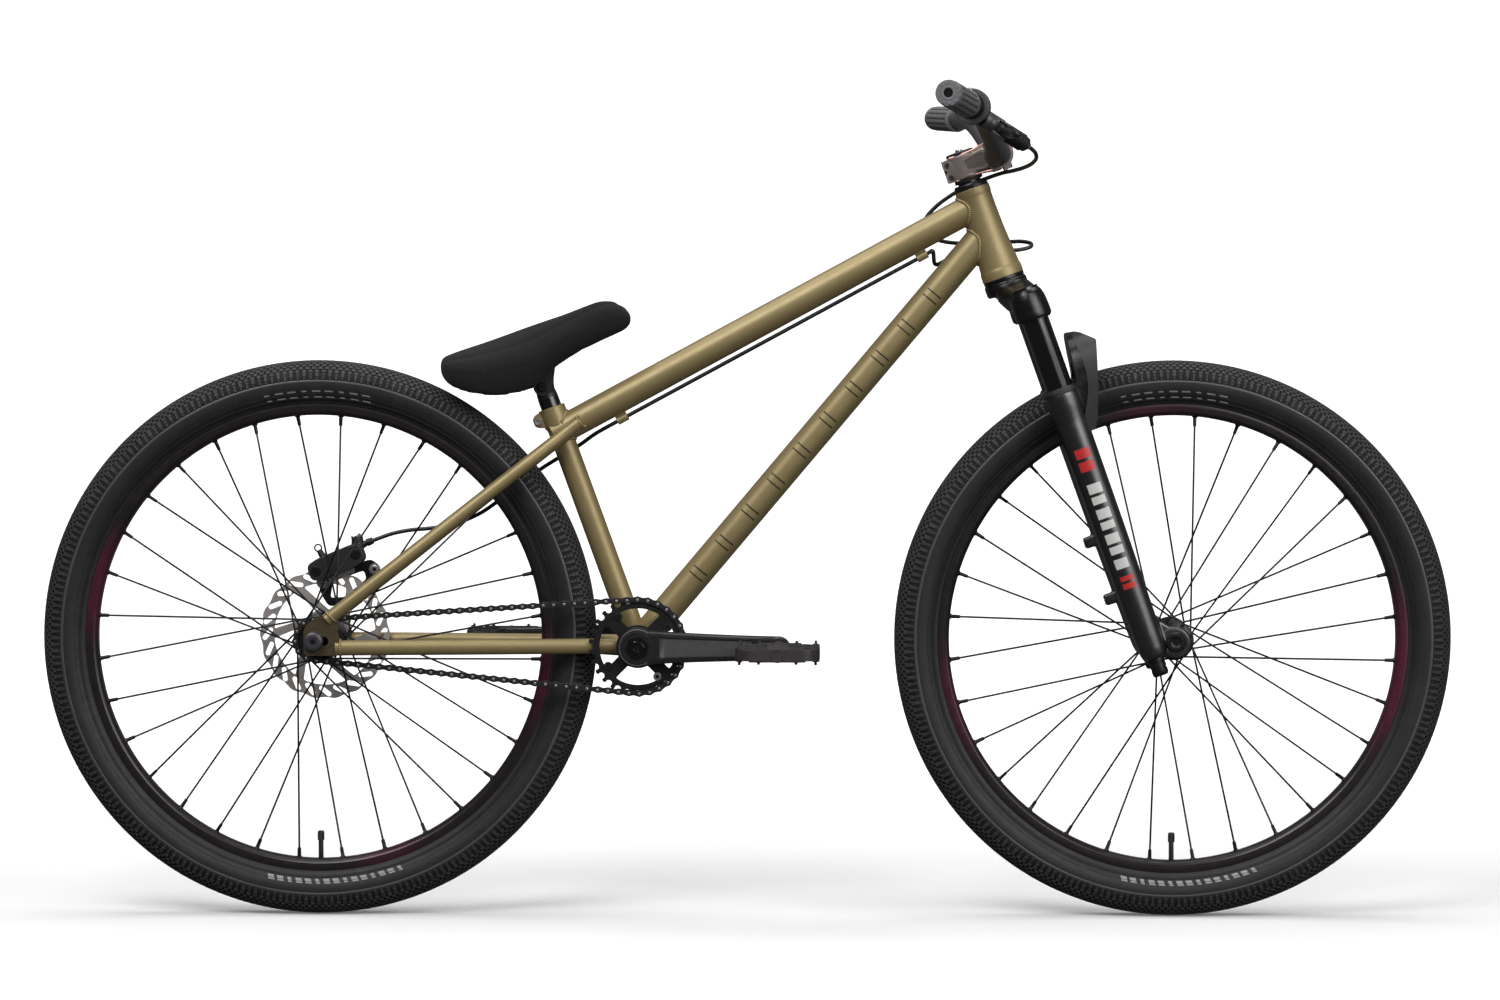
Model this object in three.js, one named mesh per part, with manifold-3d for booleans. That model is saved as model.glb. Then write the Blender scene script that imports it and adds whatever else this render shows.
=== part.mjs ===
// Dirt jump bike, 26 inch wheels, one speed, 80 mm fork, rear disc brake.
// Millimetres. +X forward, +Y to the rider's left, +Z up.
// Origin: on the ground, under the middle of the wheelbase, in the centre plane.
import * as THREE from "three";
import { mergeVertices } from "three/addons/utils/BufferGeometryUtils.js";
import Module from "manifold-3d";

const wasm = await Module();
wasm.setup();

// ---------------------------------------------------------------- dimensions
const WHEELBASE = 1035;
const TYRE_R = 337;
const TYRE_W = 56;
const RIM_IN_R = 270.3;
const SPOKES = 32;
const SPOKE_R = 1.35; // of the three-sided rods
const AXLE_Z = TYRE_R;
const REAR_X = -WHEELBASE / 2;
const FRONT_X = WHEELBASE / 2;
const BB = [-128.4, 329.5]; // x, z
const HEAD = [293.06, 827.7]; // point on the steering axis, middle of the head tube
const HEAD_TILT = -19.7; // degrees about Y: steering axis leans back
const HEAD_HALF = 56.8;
const TOP_TUBE = { z0: 709.9, slope: 0.5412, r: 17.2 };
const DOWN_TUBE = { z0: 483.4, slope: 1.1869, r: 17.8 };
const SEAT_TUBE = { r: 14.3, bore: 13.0, top: [-235.3, 616.7] };
const POST_R = 12.7;
const FORK_Y = 65;
const FORK_N = 16.5; // stanchion axis ahead of the steering axis
const STANCHION_R = 16.5;
const AXLE_S = 537.7; // front axle below HEAD, along the steering axis
const AXLE_N = 45.9; // front axle ahead of the steering axis
const BAR_R = 11.1;
const CLAMP_R = 15.9;
const CRANK = 170;
const RING_T = 28;
const COG_T = 12;
const PITCH = 12.7;
const CHAIN_Y = -50;
const ROTOR_R = 80;
const ROTOR_Y = 52;
const DROP_IN = 67.5; // inner face of a rear dropout
const HOSE_R = 2.5;
const GAP = 0.3;
const WALL = 1.8; // of the frame tubes

const RING_PR = PITCH / 2 / Math.sin(Math.PI / RING_T);
const COG_PR = PITCH / 2 / Math.sin(Math.PI / COG_T);
const DEG = Math.PI / 180;

// ------------------------------------------------------------------- helpers
function solid(geometry, matrix = null) {
  const g = geometry.index ? geometry.toNonIndexed() : geometry.clone();
  for (const name of Object.keys(g.attributes)) if (name !== "position") g.deleteAttribute(name);
  if (matrix) g.applyMatrix4(matrix);
  const m = mergeVertices(g, 1e-4);
  let tri = new Uint32Array(m.index.array);
  const keep = [];
  for (let i = 0; i < tri.length; i += 3)
    if (tri[i] !== tri[i + 1] && tri[i + 1] !== tri[i + 2] && tri[i] !== tri[i + 2])
      keep.push(tri[i], tri[i + 1], tri[i + 2]);
  tri = new Uint32Array(keep);
  const pos = m.attributes.position.array;
  let vol = 0;
  for (let i = 0; i < tri.length; i += 3) {
    const a = tri[i] * 3, b = tri[i + 1] * 3, c = tri[i + 2] * 3;
    vol += pos[a] * (pos[b + 1] * pos[c + 2] - pos[b + 2] * pos[c + 1])
      - pos[a + 1] * (pos[b] * pos[c + 2] - pos[b + 2] * pos[c])
      + pos[a + 2] * (pos[b] * pos[c + 1] - pos[b + 1] * pos[c]);
  }
  if (vol < 0) for (let i = 0; i < tri.length; i += 3) { const t = tri[i]; tri[i] = tri[i + 1]; tri[i + 1] = t; }
  return new wasm.Manifold(new wasm.Mesh({ numProp: 3, vertProperties: pos, triVerts: tri }));
}

function back(m) {
  const mesh = m.getMesh();
  const g = new THREE.BufferGeometry();
  g.setAttribute("position", new THREE.BufferAttribute(new Float32Array(mesh.vertProperties), 3));
  g.setIndex(new THREE.BufferAttribute(new Uint32Array(mesh.triVerts), 1));
  g.computeVertexNormals();
  return g;
}

const join = (...list) => list.reduce((a, b) => a.add(b));
const cut = (a, ...list) => list.reduce((m, b) => m.subtract(b), a);

const V = (x, y, z) => new THREE.Vector3(x, y, z);

// A round bar between two points; r1 at the first, r2 at the second.
function rod(p, q, r1, r2 = r1, seg = 12, turn = 0) {
  const a = V(...p), b = V(...q);
  const d = b.clone().sub(a), len = d.length();
  const g = new THREE.CylinderGeometry(r2, r1, len, seg, 1);
  if (turn) g.rotateY(turn);
  const m = new THREE.Matrix4().compose(
    a.clone().add(b).multiplyScalar(0.5),
    new THREE.Quaternion().setFromUnitVectors(V(0, 1, 0), d.clone().normalize()),
    V(1, 1, 1));
  return solid(g, m);
}

// A box by its two corners.
function box(lo, hi) {
  const g = new THREE.BoxGeometry(hi[0] - lo[0], hi[1] - lo[1], hi[2] - lo[2]);
  return solid(g, new THREE.Matrix4().makeTranslation((lo[0] + hi[0]) / 2, (lo[1] + hi[1]) / 2, (lo[2] + hi[2]) / 2));
}

// A turned body: profile of [radius, height] pairs, axis Z through (x, y).
function turned(profile, seg = 32, at = [0, 0, 0]) {
  const pts = profile.map(([r, h]) => new THREE.Vector2(Math.max(r, 0), h));
  if (profile[0][0] > 0) pts.push(pts[0].clone());
  const g = new THREE.LatheGeometry(pts, seg);
  const m = new THREE.Matrix4().makeTranslation(...at).multiply(new THREE.Matrix4().makeRotationX(Math.PI / 2));
  return solid(g, m);
}

// The same, with its axis along Y: profile of [radius, y] pairs, at (x, z).
function turnedY(profile, seg, x, z) {
  const pts = profile.map(([r, h]) => new THREE.Vector2(Math.max(r, 0), h));
  if (profile[0][0] > 0) pts.push(pts[0].clone());
  const g = new THREE.LatheGeometry(pts, seg);
  return solid(g, new THREE.Matrix4().makeTranslation(x, 0, z));
}

// A turned body along the line from p towards q: profile of [radius, distance from p].
function turnedOn(profile, seg, p, q) {
  const pts = profile.map(([r, h]) => new THREE.Vector2(Math.max(r, 0), h));
  if (profile[0][0] > 0) pts.push(pts[0].clone());
  const dir = V(...q).sub(V(...p)).normalize();
  const m = new THREE.Matrix4().compose(V(...p), new THREE.Quaternion().setFromUnitVectors(V(0, 1, 0), dir), V(1, 1, 1));
  return solid(new THREE.LatheGeometry(pts, seg), m);
}

// Outlines run anticlockwise and their holes clockwise.
function shapeOf(points, holes = []) {
  const wound = (list, anticlockwise) => {
    const v = list.map(([x, y]) => new THREE.Vector2(x, y));
    return THREE.ShapeUtils.isClockWise(v) === anticlockwise ? v.reverse() : v;
  };
  const s = new THREE.Shape(wound(points, true));
  for (const h of holes) s.holes.push(new THREE.Path(wound(h, false)));
  return s;
}

// An outline in the side view (x, z), given depth from y0 to y1.
function plateXZ(points, y0, y1, holes = []) {
  const g = new THREE.ExtrudeGeometry(shapeOf(points, holes), { depth: Math.abs(y1 - y0), bevelEnabled: false, steps: 1 });
  // shape x -> X, shape y -> Z, depth -> -Y
  const m = new THREE.Matrix4().makeTranslation(0, Math.max(y0, y1), 0).multiply(new THREE.Matrix4().makeRotationX(Math.PI / 2));
  return solid(g, m);
}

// An outline in plan (x, y), given height from z0 to z1.
function plateXY(points, z0, z1, holes = []) {
  const g = new THREE.ExtrudeGeometry(shapeOf(points, holes), { depth: z1 - z0, bevelEnabled: false, steps: 1 });
  return solid(g, new THREE.Matrix4().makeTranslation(0, 0, z0));
}

// An outline in the front view (y, z), given depth from x0 to x1.
function plateYZ(points, x0, x1, holes = []) {
  const g = new THREE.ExtrudeGeometry(shapeOf(points, holes), { depth: x1 - x0, bevelEnabled: false, steps: 1 });
  // shape x -> Y, shape y -> Z, depth -> X
  const m = new THREE.Matrix4().makeBasis(V(0, 1, 0), V(0, 0, 1), V(1, 0, 0)).setPosition(x0, 0, 0);
  return solid(g, m);
}

// A tube along a smooth curve through the points; ra across, rb in the other direction.
function tubeGeometry(points, ra, rb, sides, steps, closedEnds = true) {
  const curve = new THREE.CatmullRomCurve3(points.map((p) => V(...p)), false, "centripetal");
  const s = new THREE.Shape();
  for (let i = 0; i < sides; i++) {
    const a = (i / sides) * 2 * Math.PI;
    const x = ra * Math.cos(a), y = rb * Math.sin(a);
    if (i === 0) s.moveTo(x, y); else s.lineTo(x, y);
  }
  s.closePath();
  return new THREE.ExtrudeGeometry(s, { steps, bevelEnabled: false, extrudePath: curve });
}
const tube = (points, ra, rb, sides, steps) => solid(tubeGeometry(points, ra, rb, sides, steps));

const circle = (cx, cy, r, n, a0 = 0) =>
  Array.from({ length: n }, (_, i) => [cx + r * Math.cos(a0 + (i / n) * 2 * Math.PI), cy + r * Math.sin(a0 + (i / n) * 2 * Math.PI)]);

const group = new THREE.Group();
const paint = {
  frame: { color: 0x7d6e4c, roughness: 0.42, metalness: 0.75 },
  dropout: { color: 0x4a4236, roughness: 0.5, metalness: 0.7 },
  black: { color: 0x17171a, roughness: 0.45, metalness: 0.3 },
  gloss: { color: 0x0c0c0e, roughness: 0.18, metalness: 0.4 },
  stem: { color: 0x3b3634, roughness: 0.5, metalness: 0.6 },
  rubber: { color: 0x2d2d2f, roughness: 0.85, metalness: 0 },
  grip: { color: 0x4c4c4f, roughness: 0.9, metalness: 0 },
  steel: { color: 0x9a9a98, roughness: 0.35, metalness: 1 },
  cloth: { color: 0x262627, roughness: 0.95, metalness: 0 },
  plastic: { color: 0x202022, roughness: 0.6, metalness: 0 },
  hose: { color: 0x151517, roughness: 0.5, metalness: 0 },
  pad: { color: 0x5a4a3a, roughness: 0.9, metalness: 0.2 },
};
function add(parent, name, manifold, finish) {
  const mesh = new THREE.Mesh(manifold instanceof THREE.BufferGeometry ? manifold : back(manifold),
    new THREE.MeshStandardMaterial(paint[finish]));
  mesh.name = name;
  parent.add(mesh);
  return mesh;
}

// Steering frame: local z up the steering axis, local x forward of it, y across.
const steer = new THREE.Group();
steer.position.set(HEAD[0], 0, HEAD[1]);
steer.rotation.y = HEAD_TILT * DEG;
steer.updateMatrix();
const steerM = new THREE.Matrix4().makeTranslation(HEAD[0], 0, HEAD[1]).multiply(new THREE.Matrix4().makeRotationY(HEAD_TILT * DEG));
const toSteer = steerM.clone().invert();
const world = (n, y, z) => V(n, y, z).applyMatrix4(steerM).toArray();
const local = (p) => V(...p).applyMatrix4(toSteer).toArray();
const moved = (m, mat) => solid(back(m), mat);
group.add(steer);

// ------------------------------------------------------------ headset, frame
// Tapered head tube with a thicker ring at each end.
const headTube = turned([
  [17.6, HEAD_HALF], [21.4, HEAD_HALF], [21.4, HEAD_HALF - 9], [20.7, HEAD_HALF - 12], [21.3, 5],
  [24.6, -HEAD_HALF + 14], [25.6, -HEAD_HALF + 10], [25.6, -HEAD_HALF], [21.9, -HEAD_HALF],
  [21.9, -HEAD_HALF + 16], [17.6, -HEAD_HALF + 26],
].reverse(), 16);
const headSolid = moved(turned([
  [0, HEAD_HALF + 3], [21.4 + GAP, HEAD_HALF + 3], [21.4 + GAP, HEAD_HALF - 9], [20.7 + GAP, HEAD_HALF - 12], [21.3 + GAP, 5],
  [24.6 + GAP, -HEAD_HALF + 14], [25.6 + GAP, -HEAD_HALF + 10], [25.6 + GAP, -HEAD_HALF - 3], [0, -HEAD_HALF - 3],
].reverse(), 16), steerM);
add(steer, "head_tube", headTube, "frame");

add(steer, "headset_upper_cup", turned([
  [15.2, 64.5], [19, 64.5], [20.8, 62], [20.8, HEAD_HALF + GAP], [17.2, HEAD_HALF + GAP], [17.2, 42], [15.2, 42],
].reverse(), 12), "black");
add(steer, "headset_lower_cup", turned([
  [19.8, -43], [21.4, -43], [21.4, -HEAD_HALF - GAP], [25.4, -HEAD_HALF - GAP], [25.4, -61], [19.8, -61],
].reverse(), 12), "black");

const lineZ = (t, x) => t.z0 + t.slope * x;
// Seat tube: bored from the top for the post, two ears behind for the clamp bolt.
const stTop = SEAT_TUBE.top, stDir = [(stTop[0] + 130.6), (stTop[1] - 329.5)];
const stLen = Math.hypot(...stDir);
const su = [stDir[0] / stLen, stDir[1] / stLen]; // unit vector up the seat tube
const stAt = (t, y = 0, q = 0) => [-130.6 + su[0] * t - su[1] * q, y, 329.5 + su[1] * t + su[0] * q]; // q: rearwards... of the tube
const bbClear = rod([BB[0], -60, BB[1]], [BB[0], 60, BB[1]], 21.3 + GAP, 21.3 + GAP, 16);
const seatOuter = rod(stAt(0), stAt(stLen), SEAT_TUBE.r, SEAT_TUBE.r, 16);
const seatSolid = rod(stAt(-5), stAt(stLen + 5), SEAT_TUBE.r + GAP, SEAT_TUBE.r + GAP, 16);
const collar = rod(stAt(stLen - 22), stAt(stLen), 16.4, 16.4, 16);
const ears = moved(box([-26.5, -7.5, -19], [-12, 7.5, -3]), new THREE.Matrix4()
  .makeTranslation(stTop[0], 0, stTop[1]).multiply(new THREE.Matrix4().makeRotationY(-Math.atan2(-su[0], su[1]))));
const slit = moved(box([-30, -1.1, -40], [-8, 1.1, 2]), new THREE.Matrix4()
  .makeTranslation(stTop[0], 0, stTop[1]).multiply(new THREE.Matrix4().makeRotationY(-Math.atan2(-su[0], su[1]))));
const boltAt = moved(rod([-21, -12, -11], [-21, 12, -11], 3.2, 3.2, 12), new THREE.Matrix4()
  .makeTranslation(stTop[0], 0, stTop[1]).multiply(new THREE.Matrix4().makeRotationY(-Math.atan2(-su[0], su[1]))));
const postBore = rod(stAt(-4), stAt(stLen + 6), SEAT_TUBE.bore, SEAT_TUBE.bore, 16);
const seatTube = cut(join(seatOuter, collar, ears), postBore, slit, boltAt, bbClear);
add(group, "seat_tube", seatTube, "frame");
add(group, "seat_clamp_bolt", moved(join(
  rod([-21, -9, -11], [-21, 9, -11], 2.7, 2.7, 12), rod([-21, -12.5, -11], [-21, -7.9, -11], 4.4, 4.4, 12),
  rod([-21, 7.9, -11], [-21, 11, -11], 4.2, 4.2, 6)), new THREE.Matrix4()
  .makeTranslation(stTop[0], 0, stTop[1]).multiply(new THREE.Matrix4().makeRotationY(-Math.atan2(-su[0], su[1])))), "steel");

// Top tube from the seat tube to the head tube, with two open guides under it for the hose.
const ttA = [-232, 0, lineZ(TOP_TUBE, -232)], ttB = [286, 0, lineZ(TOP_TUBE, 286)];
const ttDir = V(ttB[0] - ttA[0], 0, ttB[2] - ttA[2]).normalize();
const ttNorm = V(ttDir.z, 0, -ttDir.x); // square to the tube, downwards
const topSolid = rod([ttA[0] - 30 * ttDir.x, 0, ttA[2] - 30 * ttDir.z], ttB, TOP_TUBE.r + GAP, TOP_TUBE.r + GAP, 16);
const HOSE_OFF = TOP_TUBE.r + HOSE_R + 3.4; // hose centre below the top tube's axis
function guide(x) {
  const c = V(x, 0, lineZ(TOP_TUBE, x));
  const m = new THREE.Matrix4().makeBasis(ttDir, V(0, 1, 0), ttNorm.clone().negate()).setPosition(c);
  const block = moved(box([-7, -5.6, -HOSE_OFF - 3.6], [7, 5.6, -TOP_TUBE.r + 1.2]), m);
  const bore = moved(rod([-12, 0, -HOSE_OFF], [12, 0, -HOSE_OFF], HOSE_R + 0.5, HOSE_R + 0.5, 12), m);
  const mouth = moved(box([-12, -1.6, -HOSE_OFF - 8], [12, 1.6, -HOSE_OFF]), m);
  return cut(block, bore, mouth);
}
const GUIDE_F = 203, GUIDE_R = -160;
const ttOuter = cut(rod(ttA, ttB, TOP_TUBE.r, TOP_TUBE.r, 16), rod([ttA[0] - 20 * ttDir.x, 0, ttA[2] - 20 * ttDir.z], [ttB[0] + 20 * ttDir.x, 0, ttB[2] + 20 * ttDir.z], TOP_TUBE.r - WALL, TOP_TUBE.r - WALL, 16));
const topTube = cut(join(cut(ttOuter, headSolid, rod(stAt(-5), stAt(stLen + 40), 16.4 + GAP, 16.4 + GAP, 16)), guide(GUIDE_F), guide(GUIDE_R)),
  box([-400, -60, 300], [stTop[0] + 4, 60, 900]));
add(group, "top_tube", topTube, "frame");

// Down tube.
const dtA = [-128.4, 0, lineZ(DOWN_TUBE, -128.4)], dtB = [296, 0, lineZ(DOWN_TUBE, 296)];
const dtFar = (p, q, k) => [p[0] + (q[0] - p[0]) * k, 0, p[2] + (q[2] - p[2]) * k];
const dtOuter = cut(rod(dtA, dtB, DOWN_TUBE.r, DOWN_TUBE.r, 16), rod(dtFar(dtA, dtB, -0.05), dtFar(dtA, dtB, 1.05), DOWN_TUBE.r - WALL, DOWN_TUBE.r - WALL, 16));
const downTube = cut(dtOuter, headSolid, topSolid, bbClear, rod(stAt(-20), stAt(120), SEAT_TUBE.r + GAP, SEAT_TUBE.r + GAP, 16));
add(group, "down_tube", downTube, "frame");

// Bottom bracket shell.
const bbShell = turnedY([[17.2, -36.5], [21.3, -36.5], [21.3, 36.5], [17.2, 36.5]], 16, BB[0], BB[1]);
add(group, "bb_shell", bbShell, "frame");
for (const [side, sg] of [["right", -1], ["left", 1]]) {
  const p = [[12.5, 20], [16.9, 20], [16.9, 36.9], [21.6, 36.9], [21.6, 45.5], [19.5, 47], [12.5, 47]];
  add(group, "bb_cup_" + side, turnedY(sg > 0 ? p : p.map(([r, y]) => [r, -y]).reverse(), 16, BB[0], BB[1]), "black");
}

// Chainstays: flattened between the tyre and the chainring, spread at the dropouts.
const csPath = (sg) => [
  [-136, sg * 27.5, 329.3], [-160, sg * 33.5, 329.2], [-190, sg * 38.4, 329.1], [-250, sg * 45.5, 329], [-330, sg * 54.5, 328.9],
  [-420, sg * 63.8, 328.9], [-460, sg * 67, 328.8], [-492, sg * 69.5, 328.8],
];
const bbAll = rod([BB[0], -60, BB[1]], [BB[0], 60, BB[1]], 22.3, 22.3, 16);
// Seatstays: round tube, straight in the side view.
const ssA = [-502, 362.4], ssB = [-199.5, 599.2];
const ssLen = Math.hypot(ssB[0] - ssA[0], ssB[1] - ssA[1]);
const ssAt = (t) => [ssA[0] + (ssB[0] - ssA[0]) * t / ssLen, ssA[1] + (ssB[1] - ssA[1]) * t / ssLen];
const ssPath = (sg) => [[0, 71], [50, 67.5], [100, 62.5], [190, 51], [260, 43.5], [305, 38.5], [340, 31.5], [362, 27.2], [ssLen, 25.9]]
  .map(([t, y]) => [ssAt(t)[0], sg * y, ssAt(t)[1]]);
// Dropout plates with a slot for the axle.
const dropOutline = [[-529.5, 319.6], [-496, 319.6], [-487, 323], [-484.5, 334], [-489, 346], [-487, 356], [-498, 368], [-512, 367.5], [-524, 359], [-529.5, 351]];
const slotHole = [...circle(-517.5, AXLE_Z, 5.6, 16).filter(([x]) => x <= -517.4), ...circle(-505, AXLE_Z, 5.6, 16).filter(([x]) => x >= -505.1)];
slotHole.sort((a, b) => Math.atan2(a[1] - AXLE_Z, a[0] + 511) - Math.atan2(b[1] - AXLE_Z, b[0] + 511));
for (const [side, sg] of [["right", -1], ["left", 1]]) {
  const plate = plateXZ(dropOutline, sg * DROP_IN, sg * (DROP_IN + 7), [slotHole]);
  const cs = cut(tube(csPath(sg), 9.3, 7, 12, 13), tube(csPath(sg), 7.6, 5.4, 8, 13));
  const ss = tube(ssPath(sg), 8, 8, 12, 15);
  const plateClear = plateXZ([[-540, 300], [-486.5, 300], [-484, 334], [-488.6, 346], [-486.6, 356.5], [-497.6, 368.6], [-512, 368.3], [-540, 370]], sg * 40, sg * 110);
  const inner = rod(stAt(150), stAt(stLen + 40), 16.4 + GAP, 16.4 + GAP, 16);
  add(group, "dropout_" + side, plate, "dropout");
  const csCut = cut(cs, bbAll, plateClear, rod(dtA, dtB, DOWN_TUBE.r + GAP, DOWN_TUBE.r + GAP, 16), rod(stAt(-5), stAt(80), SEAT_TUBE.r + GAP, SEAT_TUBE.r + GAP, 16));
  add(group, "chainstay_" + side, csCut, "frame");
  add(group, "seatstay_" + side, cut(ss, plateClear, topSolid, inner), "frame");
}

// ---------------------------------------------------------------- seat
const postLen = 205;
const postTop = stAt(stLen + 27);
const seatpost = join(rod(stAt(stLen + 27 - postLen), postTop, POST_R, POST_R, 16));
// Rounded serrated head that the saddle's pivot sits on.
const pivot = stAt(stLen + 27);
const postHead = rod([pivot[0], -11, pivot[2]], [pivot[0], 11, pivot[2]], 12.4, 12.4, 16);
add(group, "seatpost", join(seatpost, postHead), "black");

const saddleTop = [[-366.6, 674], [-355.6, 679.5], [-340.4, 685], [-296.8, 699.2], [-253.1, 715.5], [-209.5, 730.8], [-181.1, 741.7], [-170.2, 743.4], [-155, 739.5], [-146.2, 734], [-140.8, 726.4]];
const saddleUnder = [[-141.4, 717.7], [-146.2, 711.2], [-155, 706.8], [-176.8, 695.9], [-198.6, 685], [-218.2, 673], [-233.5, 661.6], [-253.1, 640.9], [-275, 633.7], [-296.8, 630.9], [-318.6, 632.6], [-340.4, 637], [-355.6, 643.5], [-366.6, 656.6]];
const plan = (w) => {
  const half = [[-367.6, 30], [-364, 46], [-354, 58], [-338, 65.5], [-318, 66], [-295, 60], [-270, 48], [-245, 36.5], [-215, 28], [-185, 23.5], [-160, 20.5], [-148, 16], [-141, 7]];
  const h = half.map(([x, y]) => [x, Math.max(y - w, 3)]);
  return [...h, ...h.slice().reverse().map(([x, y]) => [x, -y])];
};
const saddleSide = [...saddleTop, ...saddleUnder];
const coverBlock = plateXZ(saddleSide, -70, 70).intersect(plateXY(plan(0), 600, 760));
// Crown of the pad: a long round section takes the hard upper edges off.
const crownSection = [];
for (let i = 0; i <= 12; i++) { const a = Math.PI * (i / 12); crownSection.push([67 * Math.cos(a), 22 * Math.sin(a)]); }
const crownSweep = plateYZ([[67, -120], ...crownSection, [-67, -120]], -200, 200);
const crownM = new THREE.Matrix4().makeTranslation(-254, 0, 694).multiply(new THREE.Matrix4().makeRotationY(-20.3 * DEG));
const padded = coverBlock.intersect(moved(crownSweep, crownM));
// Hard base set into the pad from below: it follows the pad's lower edge, 2 mm inside it.
const baseLow = [[-350, 646], [-340, 641], [-318.6, 635.4], [-296.8, 633.6], [-275, 636.4], [-256, 643], [-236, 664.5], [-218.2, 676.6], [-196, 690.5]];
const baseHigh = [[-196, 695], [-218.2, 689], [-236, 679], [-256, 664], [-275, 652], [-296.8, 648.4], [-318.6, 650], [-340, 654], [-350, 655.5]];
const BASE_IN = 14; // from the pad's outline in plan
const baseBlock = plateXZ([...baseLow, ...baseHigh], -58, 58).intersect(plateXY(plan(BASE_IN), 600, 760));
const pocket = plateXZ([[-350.5, 600], [-195.5, 600], [-195.5, 695.4], ...baseHigh.slice(1, -1).map(([x, z]) => [x, z + 0.4]), [-350.5, 656]], -70, 70).intersect(plateXY(plan(BASE_IN - 0.5), 580, 760));
// open well round the post's head and the ends of the pivot bolt
const well = box([-263, -27, 590], [-224, 27, 661]);
const cover = cut(padded, pocket, well);
const yoke = join(box([pivot[0] - 12, -18.4, pivot[2] - 9], [pivot[0] + 11, -11.4, pivot[2] + 26]), box([pivot[0] - 12, 11.4, pivot[2] - 9], [pivot[0] + 11, 18.4, pivot[2] + 26]))
  .intersect(plateXZ([...circle(pivot[0], pivot[2], 11.6, 16).filter(([, z]) => z < pivot[2] + 1).sort((p, q) => p[0] - q[0]), [pivot[0] + 12, pivot[2] + 24], [pivot[0] - 13, pivot[2] + 14]], -30, 30));
const headClear = join(rod([pivot[0], -11.3, pivot[2]], [pivot[0], 11.3, pivot[2]], 13, 13, 16), rod(stAt(stLen - 20), stAt(stLen + 30), POST_R + 4, POST_R + 3, 16));
const saddleBolt = join(rod([pivot[0], -20, pivot[2]], [pivot[0], 20, pivot[2]], 3.6, 3.6, 12), rod([pivot[0], -22.8, pivot[2]], [pivot[0], -18.8, pivot[2]], 6, 6, 12), rod([pivot[0], 18.8, pivot[2]], [pivot[0], 22.4, pivot[2]], 6, 6, 6));
const boltHole = rod([pivot[0], -30, pivot[2]], [pivot[0], 30, pivot[2]], 4.1, 4.1, 12);
const boltHeads = join(rod([pivot[0], -60, pivot[2]], [pivot[0], -18.6, pivot[2]], 6.8, 6.8, 12), rod([pivot[0], 18.6, pivot[2]], [pivot[0], 60, pivot[2]], 6.8, 6.8, 12));
add(group, "saddle_base", cut(join(baseBlock, yoke), headClear, boltHole, boltHeads), "plastic");
add(group, "saddle_cover", cover, "cloth");
add(group, "saddle_bolt", saddleBolt, "steel");
const postHollow = rod(stAt(stLen + 24 - postLen), stAt(stLen + 8), POST_R - 2, POST_R - 2, 12);
const withHole = back(cut(join(seatpost, postHead), boltHole, postHollow));
group.children.find((m) => m.name === "seatpost").geometry = withHole;

// ---------------------------------------------------------------- fork
const FN = FORK_N;
const steererProfile = [[0, 99], [14.3, 99], [14.3, -20], [18.9, -60], [18.9, -61.4], [26, -61.4], [26.5, -66], [27, -100], [0, -100]];
const steerer = turned(steererProfile.slice().reverse(), 16);
const crownBeam = plateYZ([[-66, -80], [-40, -71], [-24, -66], [24, -66], [40, -71], [66, -80], [66, -108], [40, -103], [20, -99], [-20, -99], [-40, -103], [-66, -108]], -15, 33);
const socket = (sg) => join(rod([FN, sg * FORK_Y, -116], [FN, sg * FORK_Y, -78], 22, 21, 16), rod([FN, sg * FORK_Y, -78], [FN, sg * FORK_Y, -73], 21, 16, 16));
const sockets = join(socket(1), socket(-1));
const stanchionHoles = join(rod([FN, FORK_Y, -120], [FN, FORK_Y, -74.5], STANCHION_R + GAP, STANCHION_R + GAP, 16), rod([FN, -FORK_Y, -120], [FN, -FORK_Y, -74.5], STANCHION_R + GAP, STANCHION_R + GAP, 16));
add(steer, "steerer_crown", cut(join(steerer, crownBeam, sockets), stanchionHoles, rod([0, 0, -70], [0, 0, 110], 12.2, 12.2, 12)), "gloss");
for (const [side, sg] of [["right", -1], ["left", 1]])
  add(steer, "stanchion_" + side, cut(rod([FN, sg * FORK_Y, -335], [FN, sg * FORK_Y, -75], STANCHION_R, STANCHION_R, 16), rod([FN, sg * FORK_Y, -340], [FN, sg * FORK_Y, -70], STANCHION_R - 2.2, STANCHION_R - 2.2, 12)), "gloss");

// Lowers: two bored legs, an arch in front, forward dropouts, brake posts on the left leg.
function leg(sg) {
  const body = turned([
    [0, -209], [22, -209], [22, -224], [19.6, -240], [18.6, -430], [17.6, -520], [15, -555], [10, -568], [0, -568],
  ].reverse(), 16, [FN, sg * FORK_Y, 0]);
  // dropout: a flat plate from the foot of the leg to the round boss at the axle
  const out = [];
  for (let i = 0; i <= 8; i++) { const a = (-118 + i * 29) * DEG; out.push([AXLE_N + 18.5 * Math.cos(a), -AXLE_S + 18.5 * Math.sin(a)]); }
  const plate = plateXZ([[10, -486], [10, -556], ...out, [33, -506], [26, -486]], sg * 52, sg * 66);
  return [body, plate];
}
const legs = [leg(1), leg(-1)];
const archFront = [];
{
  const outer = [[74, -262], [75, -225], [72, -190], [64, -168], [50, -154], [30, -147.5], [0, -145]];
  const inner = [[49, -262], [46, -235], [43, -212], [36, -196], [24, -186], [12, -182.5], [0, -181.5]];
  archFront.push(...outer, ...outer.slice(0, -1).reverse().map(([y, z]) => [-y, z]));
  archFront.push(...inner.map(([y, z]) => [-y, z]), ...inner.slice(0, -1).reverse());
}
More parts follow.
